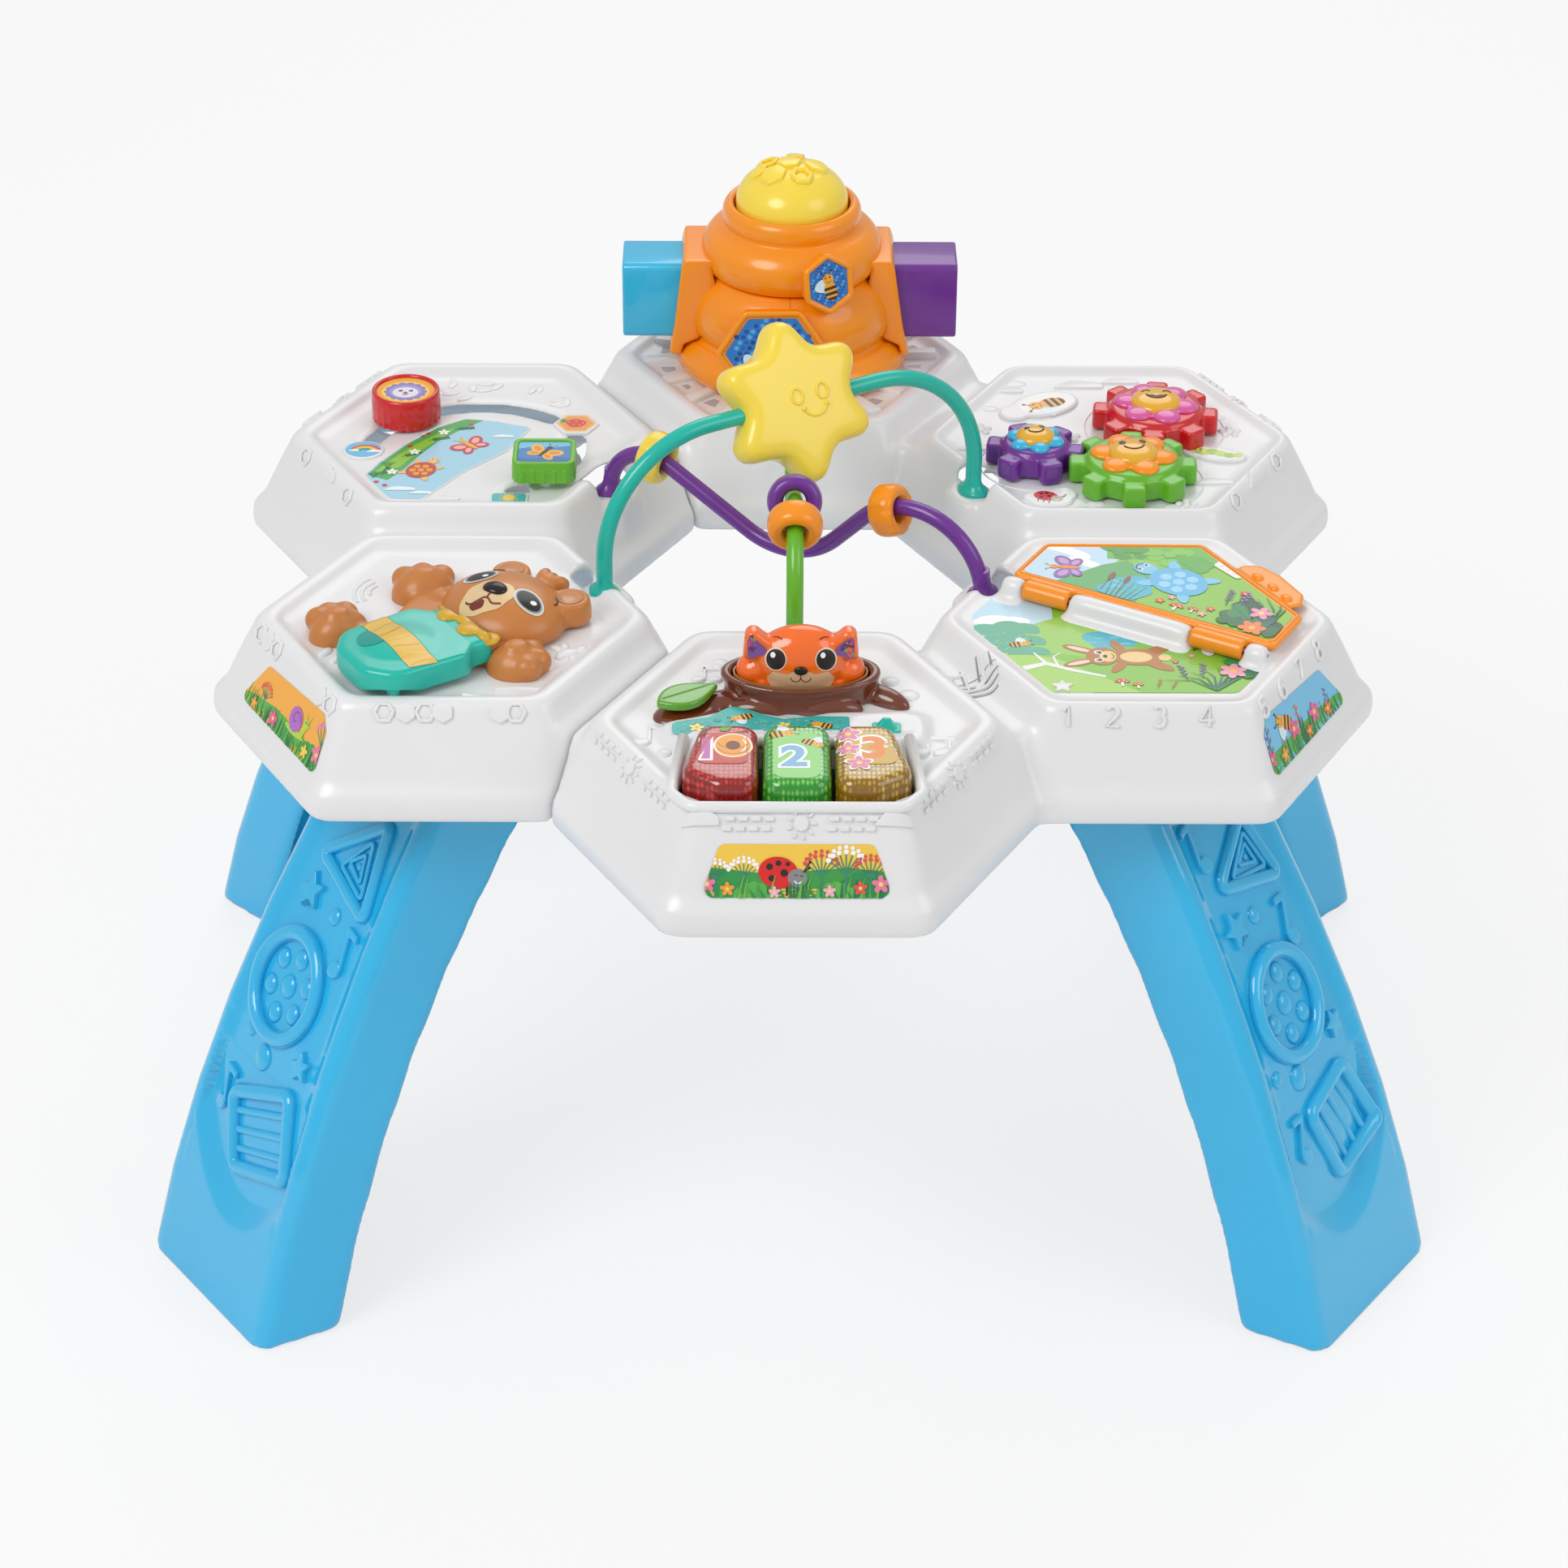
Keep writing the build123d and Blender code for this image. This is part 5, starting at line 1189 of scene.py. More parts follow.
class ACTIVITY_OT_arches(bpy.types.Operator):
    """Teal, purple and green bead arches"""

    bl_idname = "activity.arches"
    bl_label = "Bead arches"

    def execute(self, context):
        reach, foot = 117.0, 33.0
        for node, slot, azimuth, corners, radii in (
            ("teal_arch", "teal", 30, [(-reach, 132), (reach, 132)], (65, 65)),
            ("purple_arch", "purple", -30, [(-reach, 91.9), (2.6, 30.9), (reach, 151)], (25.5, 46, 44.4)),
            ("green_arch", "green", 90, [(-reach, 165), (0, 48), (reach, 165)], (40, 30, 40)),
        ):
            tube = arch_tube(azimuth, [(-reach, foot)] + corners + [(reach, foot)], radii)
            piece(node + "_tube", tube, moulded(slot), "table", [node], 50)
        return {"FINISHED"}


def bead_place(azimuth, middle, radius, angle):
    """Frame of a bead on an arch: Z along the tube."""
    spot = arch_spot(azimuth, middle[0] + radius * cos(radians(angle)),
                     middle[1] + radius * sin(radians(angle)))
    along = polar(-sin(radians(angle)), azimuth, cos(radians(angle)))
    return Matrix.Translation(spot) @ along.to_track_quat("Z", "Y").to_matrix().to_4x4()


def bead_form(kind):
    """Bead about Z: smooth, slotted, ridged or knobbly."""
    half, outer, hole = 7.4, 14.7, 5.9
    outline = []
    for k in range(24):
        angle = 2 * pi * k / 24
        outline.append(((outer + hole) / 2
                        + (outer - hole) / 2 * np.sign(cos(angle)) * abs(cos(angle)) ** 0.8,
                        half * np.sign(sin(angle)) * abs(sin(angle)) ** 0.8))
    bead = turned_ring(outline, 64)
    if kind == "ridged":
        for vert in bead.verts:
            around = np.arctan2(vert.co.y, vert.co.x)
            grow = 1 - 0.045 * abs(sin(around * 4)) ** 6 if vert.co.to_2d().length > 10 else 1
            vert.co.x *= grow
            vert.co.y *= grow
    if kind == "slotted":
        for vert in bead.verts:
            around = np.arctan2(vert.co.y, vert.co.x)
            if vert.co.to_2d().length > 10:
                dent = 0.05 * max(0.0, 1 - abs(((around * 180 / pi) % 60) - 30) / 9) * (abs(vert.co.z) < 5)
                vert.co.x *= 1 - dent
                vert.co.y *= 1 - dent
    if kind == "knobbly":
        group = Group(bead)
        for row, lift in ((0, -4.2), (1, 0), (2, 4.2)):
            for k in range(10):
                spot = polar(13.0 if row == 1 else 11.9, 36 * k + 18 * (row % 2), lift)
                group.add(ball(*spot, 1.8, steps=12))
        return group.bm
    return bead


def star_form():
    """Puffed six-armed star in its own plane; its smiling face is made apart."""
    outline = starlike(0, 0, 53.0, 30.6, 6, 30, 10)
    skin = softened(plate(outline, -9.4, 9.4, 5, 3), 1.3, 26)
    for vert in skin.verts:
        vert.co.z *= 1.3 - 0.3 * min(1.0, vert.co.xy.length_squared / 2400)
    return skin


class ACTIVITY_OT_beads(bpy.types.Operator):
    """Star spinner and the four beads"""

    bl_idname = "activity.beads"
    bl_label = "Star and beads"

    def execute(self, context):
        for node, slot, kind, azimuth, middle, radius, angle in (
            ("yellow_bead", "pale_yellow", "slotted", -30, (-91.5, 50.5), 25.5, 80),
            ("ridged_bead", "orange", "ridged", -30, (72.6, 40.1), 44.4, 106.5),
            ("orange_bead", "orange", "smooth", 90, (-77, 68.4), 40, 109.5),
            ("purple_bead", "purple", "knobbly", 90, (-77, 68.4), 40, 70),
        ):
            bead = bead_form(kind)
            moved(bead, bead_place(azimuth, middle, radius, angle))
            piece(node + "_turned", bead, moulded(slot), node, [node], 60)
        along = polar(1, 30)
        front = Vector((0.433, -0.75, 0.5))
        place = framed(along, front.cross(along), front, (0, 0, SKIRT + 132))
        star = star_form()
        surface = surface_of(star)
        moved(star, place)
        piece("star_spinner_puffed", star, moulded("pale_yellow"), "star",
              ["star_spinner"], 180)
        face = Group()
        for x in (-3.8, 11.8):
            face.add(bar(oval(x, 3.0, 3.3, 4.2, 0, 28), 0.2, 0.8, True))
        smile = bow(5.6, -1.8, 7.5, 200, 340, 18)
        face.add(bar(smile, 0.2, 0.8))
        for x, y in (smile[0], smile[-1]):
            face.add(ball(x, y, 0.2, 1.5, steps=12))
        wrapped(face.bm, Matrix(), surface)
        moved(face.bm, place)
        piece("star_spinner_face", face.bm, moulded("pale_yellow"), "star")
        return {"FINISHED"}

# ---- Front cell ----
STUMP_SPOT = (2.5, 31)                 # stump and fox in the front cell
EAR_SPOT, EAR_LEAN = (20.4, -3.0, 79.6), 9
LEAF_SPOT, LEAF_TURN = (-70.5, 5.6), 31


def key_outline(side, back=-24.2, front=-83.0, inset=0.0):
    """Key's outline from above: side -1, 0 or 1."""
    if side == 0:
        corners = [(-17.5, -84), (17.5, -84), (17.5, back), (-17.5, back)]
    else:
        corners = [(18.3, front), (39.3, front), (58.05, -71), (48.55, back), (18.3, back)]
        if side < 0:
            corners = [(-x, y) for x, y in reversed(corners)]
    middle = (sum(x for x, y in corners) / len(corners), sum(y for x, y in corners) / len(corners))
    shrunk = []
    for x, y in corners:
        run = Vector((x - middle[0], y - middle[1]))
        shrunk.append((x - inset * (1 if run.x > 0 else -1), y - inset * (1 if run.y > 0 else -1)))
    return shrunk


class ACTIVITY_OT_keys(bpy.types.Operator):
    """Three clear keys with their numbered top panels"""

    bl_idname = "activity.keys"
    bl_label = "Light-up keys"

    def execute(self, context):
        place = tray_place("front", 0)
        # Columns: side, key node, slot, deep colour, lighter colour of the painted glints, panel colour.
        for side, node, slot, deep, painted_glint, panel in (
            (-1, "key_one", "clear_red", "#8E0B08", "#E8423A", "#C9493F"),
            (0, "key_two", "clear_green", "#1F8F1C", "#86E062", "#93D77A"),
            (1, "key_three", "clear_amber", "#8E6407", "#E8C63E", "#D2AE52"),
        ):
            outline = eased(key_outline(side), 10.0)
            body = plate(outline, 51.5, 72.6, 5.5, 4, 0.965)
            skin = softened(body, 0.9, 5)
            moved(skin, place)
            surface = surface_of(skin)
            piece(node + "_clear", skin, faceted(node + "_plastic", deep, painted_glint), node, [node], 180)
            top = Picture(eased(key_outline(side, -30.0, -71.0, 6.0), 6.0), panel, 3)
            if side < 0:
                top.line([(-46, -35.5), (-24, -34.0)], 2.6, "#8E3A22")
                top.fill(leafy(-38, -34, 7, 2.4, 35), "#6FA83A")
                top.fill(oval(-31.5, -48, 9.8, 11.2, 0, 28), "#FFF3E0")
                top.fill(oval(-31.5, -48, 8.8, 10.2, 0, 28), "#F0A132")
                for k in range(3):
                    top.line(bow(-31.5, -48 - 5 + 5 * k, 8.0, 200, 340, 8), 0.7, "#C9761E")
                top.fill(oval(-31.5, -48, 3.6, 4.2, 0, 18), "#7A3A1C")
                top.numeral("1", -45.0, -52, 26, "#C76BAE", "#FFFFFF")
            elif side == 0:
                bee(top, -6.5, -36.5, 8.0, 15, "#F4B63A")
                bee(top, 8.5, -46, 7.0, -25, "#F4B63A")
                top.numeral("2", -1.5, -59, 26, "#7FB7DD", "#FFFFFF")
            else:
                top.numeral("3", 38.0, -50.5, 27, "#EE8A3C", "#FFFFFF")
                for x, y, reach in ((25.5, -37, 7.5), (25.5, -50.5, 7.0), (30.5, -64, 7.5)):
                    flower(top, x, y, reach, "#FFFFFF", "#FFFFFF", 5, 20)
                    flower(top, x, y, reach * 0.84, "#E583A8", "#F6DC6A", 5, 20)
            top.lay(node + "_panel", place @ Matrix.Translation((0, 0, 70)), node, slot, surface, 0.25)
        lip = eased([(-56.6, -24), (-61.8, -76), (-52.5, -88.6), (52.5, -88.6), (61.8, -76), (56.6, -24)],
                    (0, 9, 9, 9, 9, 0), 6, False)
        bezel = moved(bar(lip, 62.4, 3.0), place)
        piece("key_bezel_lip", bezel, moulded("white"), "table", (), 180)
        return {"FINISHED"}


class ACTIVITY_OT_stump(bpy.types.Operator):
    """Hollow tree stump with its roots"""

    bl_idname = "activity.stump"
    bl_label = "Tree stump"

    def execute(self, context):
        group = Group()
        outer = lathe([(0, 55.2), (39.5, 55.2), (38.6, 58), (38.8, 62), (40.6, 66), (41.0, 68.6), (38.5, 70),
                       (36.0, 69.4), (34.9, 67), (34.7, 56.5), (0, 56.5)], 72)
        for vert in outer.verts:
            around = np.arctan2(vert.co.y, vert.co.x)
            share = 0.3 + 0.7 * (70 - vert.co.z) / 15
            waves = sin(3 * around + 0.6) + 0.6 * sin(5 * around - 1.2)
            swell = 1 + 0.035 * share * waves * (vert.co.to_2d().length > 36.2)
            vert.co.x *= swell
            vert.co.y *= swell * 0.52
        group.add(shift(outer, *STUMP_SPOT))
        for x, y, a, b, turn, height in ((44, 26, 17, 7, -35, 7.5), (-38, 22, 14, 8.6, 12, 6),
                                         (-54, 14, 20.5, 12.6, 30, 3.9), (-20, 14.5, 15, 6, -10, 6.5),
                                         (18, 13.5, 17, 5.5, 6, 7)):
            group.add(ball(x, y, 55.2, a, b, height, turn))
        lump = group.bm
        skin = softened(lump, 0.9, 7)
        cut = skin.verts[:] + skin.edges[:] + skin.faces[:]
        result = bmesh.ops.bisect_plane(skin, geom=cut, plane_co=(0, 0, 55.05), plane_no=(0, 0, -1),
                                        clear_outer=True)
        rim = [g for g in result["geom_cut"] if isinstance(g, bmesh.types.BMEdge)]
        bmesh.ops.edgeloop_fill(skin, edges=rim)
        moved(skin, tray_place("front", 0))
        piece("tree_stump_moulded", skin, glossy("brown", 0.08), "table", ["tree_stump"], 180)
        wood = plain("pale_wood_plastic", "#B98A5E", 0.35)
        liner = turned_ring([(33.6, 57), (34.5, 57), (34.5, 69.2), (33.6, 69.0)], 64)
        bmesh.ops.scale(liner, vec=(1, 0.505, 1), verts=liner.verts)
        moved(shift(liner, *STUMP_SPOT), tray_place("front", 0))
        piece("stump_liner", liner, wood, "table")
        return {"FINISHED"}


class ACTIVITY_OT_fox(bpy.types.Operator):
    """Orange fox push button with its painted face"""

    bl_idname = "activity.fox"
    bl_label = "Fox button"

    def execute(self, context):
        group = Group()
        group.add(ball(0, 0, 74, 25.5, 14.2, 21.2, 0, 40))
        for side in (-1, 1):
            group.add(ball(side * 23.5, 0.5, 70.0, 9.5, 9.5, 8.6))
            ear = plate(eased([(-13.5, 0), (9.5, 0), (4.0, 21.5)], (3, 3, 4.4)), -4.6, 4.6, 2.4, 3)
            moved(ear, Matrix.Rotation(radians(90), 4, "X"))
            bmesh.ops.scale(ear, vec=(side, 1, 1), verts=ear.verts)
            if side < 0:
                bmesh.ops.reverse_faces(ear, faces=ear.faces)
            bmesh.ops.rotate(ear, matrix=Matrix.Rotation(radians(EAR_LEAN * side), 3, "Y"), verts=ear.verts)
            group.add(shift(ear, side * EAR_SPOT[0], *EAR_SPOT[1:]))
        group.add(plate(oval(0, 0, 31, 13.0), 59, 68))
        skin = softened(group.bm, 0.75, 6)
        for vert in skin.verts:
            narrow = max(0.0, min(1.0, (66 - vert.co.z) / 5))
            vert.co.x *= 1 - 0.10 * narrow
            vert.co.y *= 1 - 0.19 * narrow
            vert.co.z = max(vert.co.z, 60.9)
        place = tray_place("front", 0, *STUMP_SPOT)
        moved(skin, place)
        surface = surface_of(skin)
        piece("fox_button_moulded", skin, glossy("fox_orange"), "fox", ["fox_button"], 180)
        front = place @ Matrix.Translation((0, 0, 76)) @ Matrix.Rotation(radians(66), 4, "X")
        cream = [(-17.5, -8.5), (-14, -5.2), (-7, -6.5), (-2.5, -4.6), (2.5, -4.6), (7, -6.5),
                 (14, -5.2), (17.5, -8.5), (15, -13.5), (8, -16.5), (-8, -16.5), (-15, -13.5)]
        art = Picture(eased(cream, 1.2), "#E6BD93", 4)
        art.lay("fox_muzzle", front, "fox", "fox_orange", surface, 0.2, 1, 1.6)
        for side in (-1, 1):
            eye = Picture(oval(side * 12.8, 1.2, 5.6, 6.1, 0, 28), "#F3D9C4", 2)
            eye.fill(oval(side * 12.7, 1.1, 4.9, 5.4, 0, 28), "#2A1512")
            eye.fill(oval(side * 12.7 - 0.4, 1.6, 3.4, 3.8, 0, 24), "#120A09")
            eye.fill(oval(side * 12.7 - 1.5, 3.4, 1.3, 1.5, 0, 16), "#FFFFFF")
            eye.lay("fox_eye_" + ("left" if side < 0 else "right"), front, "fox", "fox_orange", surface,
                    0.22, 22, 1.2)
            brow = Picture([(side * 9.5 + side * p, 11.4 + q) for p, q in
                            ribbon([(0, 0), (2.2, 1.1), (4.6, 0.9)], 0.7, 0.5)], "#6B2412")
            brow.lay("fox_brow_" + ("left" if side < 0 else "right"), front, "fox", "fox_orange",
                     surface, 0.3, 1, 1.5)
            inner = eased([(-5.6, 3.8), (6.6, 1.2), (4.0, 17.4)], 2.2)
            lining = Picture([(side * p, q) for p, q in inner], "#8E5AA8")
            for k, (first, second) in enumerate(scatter(16, 7 + side)):
                shade = ("#B7A23B", "#4E4B7E", "#C05A98", "#6E3C8E")[k % 4]
                width = (1 - second) * 4.2
                lining.fill(oval(side * (2.4 + width * (first * 2 - 1)), 4.4 + second * 10, 1.3, 0.9,
                                 60 * k, 10), shade)
            ear_place = (place @ Matrix.Translation((side * EAR_SPOT[0], *EAR_SPOT[1:]))
                         @ Matrix.Rotation(radians(EAR_LEAN * side), 4, "Y")
                         @ Matrix.Rotation(radians(90), 4, "X"))
            lining.lay("fox_ear_" + ("left" if side < 0 else "right"), ear_place, "fox", "fox_orange",
                       surface, 0.15)
        nose = ball(0, -4.6, 0.6, 3.5, 2.3, 1.5)
        piece("fox_nose", wrapped(nose, front, surface), plain("black_paint", "#1B1211", 0.2),
              "fox")
        mouth = Group(wire([(0, -6.5, 0.1), (0, -8.6, 0.1)], 0.28),
                      bar(bow(-2.6, -7.9, 2.6, 190, 350, 10), 0.1, 0.28),
                      bar(bow(2.6, -7.9, 2.6, 190, 350, 10), 0.1, 0.28))
        piece("fox_mouth", wrapped(mouth.bm, front, surface), plain("dark_paint", "#5A2413", 0.3),
              "fox")
        return {"FINISHED"}


class ACTIVITY_OT_front_details(bpy.types.Operator):
    """Leaf, switch, panel picture and the raised motifs of the front cell"""

    bl_idname = "activity.front_details"
    bl_label = "Front cell details"

    def execute(self, context):
        place = tray_place("front", 0)
        leaf = plate(eased(leafy(*LEAF_SPOT, 36.5, 10.6, LEAF_TURN), 1.0, 2), 61.3, 66.0, 2.6, 4)
        leaf = softened(leaf, 0.6, 8)
        for vert in leaf.verts:
            vert.co.z = max(vert.co.z, 61.4 + 0.26 * max(0.0, vert.co.x + 48.5))
        moved(leaf, place)
        top = surface_of(leaf)
        piece("leaf_button_moulded", leaf, glossy("leaf_green"), "leaf", ["leaf_button"], 180)
        vein = [Figure(None, *LEAF_SPOT, 1, LEAF_TURN).at(run, 0.6) for run in (4, 12, 20, 28, 34)]
        rib = wrapped(bar(vein, 0, 0.55), place @ Matrix.Translation((0, 0, 62)), top)
        piece("leaf_vein", rib, glossy("leaf_green"), "leaf")
        thumb = plate(oblong(7.2, 4.6, 1.5), 58.9, 60.4, 0.5)
        fin = plate(oblong(5.4, 3.4, 1.2), 60.0, 65.4, 0.5, 2, 0.3)
        switch = gather(thumb, fin)
        low, high = (Vector(corner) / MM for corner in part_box("volume_switch"))
        middle = (low + high) / 2
        bmesh.ops.translate(switch, vec=(middle.x, middle.y, SKIRT), verts=switch.verts)
        piece("volume_switch_moulded", switch, moulded("teal"), "switch", ["volume_switch"])
        strip = [(-60, -21.5), (26, -21.5), (27, -19.5), (27, -4), (10, -3.6), (-6, -6.5),
                 (-16, -2.5), (-26, 3.8), (-33, 5.5), (-38, 1.0), (-44, -5), (-60, -9.5), (-62.5, -12),
                 (-62.5, -19.5)]
        art = Picture(eased(strip, 1.6, 4), "#2DB5AE")
        for k, (first, second) in enumerate(scatter(60, 5)):
            art.fill(oval(-60 + first * 84, -20 + second * 13, 0.5 + (k % 4) * 0.5, steps=10),
                     ("#27A9A5", "#3CC0B4", "#23A09F")[k % 3])
        bee(art, -28, -5.5, 7.0, 200)
        bee(art, 12.5, -12.5, 6.8, 160)
        flower(art, -50, -15.5, 4.0, "#F7E27A", "#F59A2C", 5, 10)
        flower(art, -6, -13.5, 3.6, "#F7E27A", "#F59A2C", 5, 40)
        trail = [(-20 + 4.2 * k, -11 - 3.0 * sin(k * 0.9)) for k in range(7)]
        for x, y in trail:
            art.fill(oval(x, y, 0.55, steps=8), "#F3C33C")
        for x, y in [(-56 + 4.0 * k, -12 + 2.0 * sin(k)) for k in range(6)]:
            art.fill(oval(x, y - 1, 0.5, steps=8), "#F3C33C")
        art.lay("panel_picture", tray_place("front", 60.5, 0, 4), "table", "white", None, 0.1)
        motifs = Group()
        rise = sizes().relief / MM

        def note(x, y, double=False, size=1.0):
            for dx in ((0, 11) if double else (0,)):
                motifs.add(plate(oval(x + dx * size, y, 4.6 * size, 3.4 * size, 15, 20), -0.4,
                                 rise + 0.6, 0.9))
                stem = corners_of(x + (dx + 3.2) * size, y, x + (dx + 5) * size, y + 15 * size)
                motifs.add(plate(stem, -0.4, rise, 0.4))
            if double:
                beam = corners_of(x + 3.2 * size, y + 12 * size, x + 16 * size, y + 15.4 * size)
                motifs.add(plate(beam, -0.4, rise, 0.4))
            else:
                motifs.add(plate([(x + 3.2 * size, y + 15 * size), (x + 11 * size, y + 10 * size),
                                  (x + 11 * size, y + 12.4 * size), (x + 4 * size, y + 18 * size)],
                                 -0.4, rise, 0.4))
        note(-78, -18)
        note(-50, 44, True, 0.8)
        note(62, -27, True)
        for x, y, reach in ((-66, -27, 4.2), (-39, 62, 5), (58, 30, 6), (49, 44, 5), (57, 6, 6),
                            (78, -14, 4)):
            motifs.add(ball(x, y, -0.3, reach, reach, 2.0, steps=20))
        motifs.add(plate(starlike(-62, 30, 6, 2.8, 5, 0, 0.5), -0.4, rise + 0.3, 0.6))
        motifs.set(tray_place("front"))
        piece("front_tray_motifs", motifs.bm, moulded("white"), "table")
        return {"FINISHED"}

# ---- Gears ----
GEAR_SPOTS = {"green": (190.03, 57.0), "red": (207.46, 119.41), "purple": (136.45, 75.55)}


def gear_form(count, pitch, turn):
    """Gear with rounded teeth about the origin, and a raised middle that carries its flower."""
    outline = []
    for k in range(count):
        middle = turn + 360 * k / count
        wide = 180 / count
        for offset, radius in ((-1.0, pitch - 4.6), (-0.56, pitch - 4.4), (-0.48, pitch + 3.9),
                               (0.48, pitch + 3.9), (0.56, pitch - 4.4)):
            outline.append(tuple(polar(radius, middle + offset * wide).to_2d()))
    teeth = plate(eased(outline, [1.2, 1.5, 2.8, 2.8, 1.5] * count, 4), 56.2, 68.2, 2.4, 3)
    hub = plate(oval(0, 0, pitch - 5.2, steps=64), 60, 71.0, 2.2, 3, 0.95)
    return gather(teeth, hub)


def flower_cap(reach, turn, body, node, slot, spot):
    """Six plump petals."""
    group = Group(plate(oval(0, 0, reach * 0.72, steps=48), 70.6, 72.2, 0.4))
    for k in range(6):
        angle = turn + 60 * k
        spot_x, spot_y = polar(reach * 0.64, angle).to_2d()
        petal = ball(0, 0, 0, reach * 0.36, reach * 0.33, 3.3, 0, 28)
        group.add(shift(petal, spot_x, spot_y, 71.2, angle))
    skin = softened(group.bm, 0.5, 4, False, False)
    shift(skin, *spot, SKIRT)
    return piece(node + "_plump", skin, moulded(slot, 0.18, 0.6), body, [node], 180)


def smiling_face(node, reach, spot, turn, winking=False):
    """Golden domed face with its painted eyes and smile."""
    body = node.replace("_face", "")
    profile = [(0, 72.4), (reach, 72.4), (reach, 73.6), (reach * 0.93, 75.0), (reach * 0.75, 76.4),
               (reach * 0.45, 77.3), (0, 77.7)]
    dome = shift(lathe(profile, 48), *spot, SKIRT)
    top = surface_of(dome)
    piece(node + "_dome", dome, moulded("gold", 0.18, 0.6), body, [node], 60)
    place = Matrix.Translation((*spot, SKIRT + 73)) @ Matrix.Rotation(radians(turn), 4, "Z")
    marks = Group()
    for side in (-1, 1):
        if winking:
            marks.add(bar(bow(side * reach * 0.42, reach * 0.22, reach * 0.16, 20, 160, 10), 0.05, 0.42))
        else:
            marks.add(ball(side * reach * 0.4, reach * 0.3, 0, reach * 0.14, reach * 0.2, 0.22))
    path = bow(0, reach * 0.12, reach * 0.42, 200, 340, 16)
    marks.add(bar(path, 0.05, 0.5))
    if winking:
        marks.add(plate(path, -0.1, 0.25))
    paint_black = plain("face_paint", "#5A3A1E", 0.3)
    piece(node + "_marks", wrapped(marks.bm, place, top), paint_black, body, (), 60)


class ACTIVITY_OT_gears(bpy.types.Operator):
    """Three meshing gears with flower caps and golden faces"""

    bl_idname = "activity.gears"
    bl_label = "Flower gears"

    def execute(self, context):
        for name, count, pitch, turn in (("green", 8, 32.4, -92.5), ("red", 8, 32.4, 263.8),
                                         ("purple", 6, 24.3, 348.77)):
            gear = gear_form(count, pitch, turn)
            skin = softened(gear, 0.8, 4)
            shift(skin, *GEAR_SPOTS[name], SKIRT)
            piece(name + "_gear_moulded", skin, moulded(name, 0.2, 0.5), name + "_gear",
                  [name + "_gear"], 180)
        flower_cap(24.5, -12, "red_gear", "pink_petals", "pink", GEAR_SPOTS["red"])
        flower_cap(24.5, -10, "green_gear", "orange_petals", "orange", GEAR_SPOTS["green"])
        flower_cap(16.8, -20, "purple_gear", "blue_petals", "sky", GEAR_SPOTS["purple"])
        smiling_face("red_gear_face", 14.5, GEAR_SPOTS["red"], -3, True)
        smiling_face("green_gear_face", 14.3, GEAR_SPOTS["green"], 8)
        smiling_face("purple_gear_face", 11.0, GEAR_SPOTS["purple"], 14)
        return {"FINISHED"}


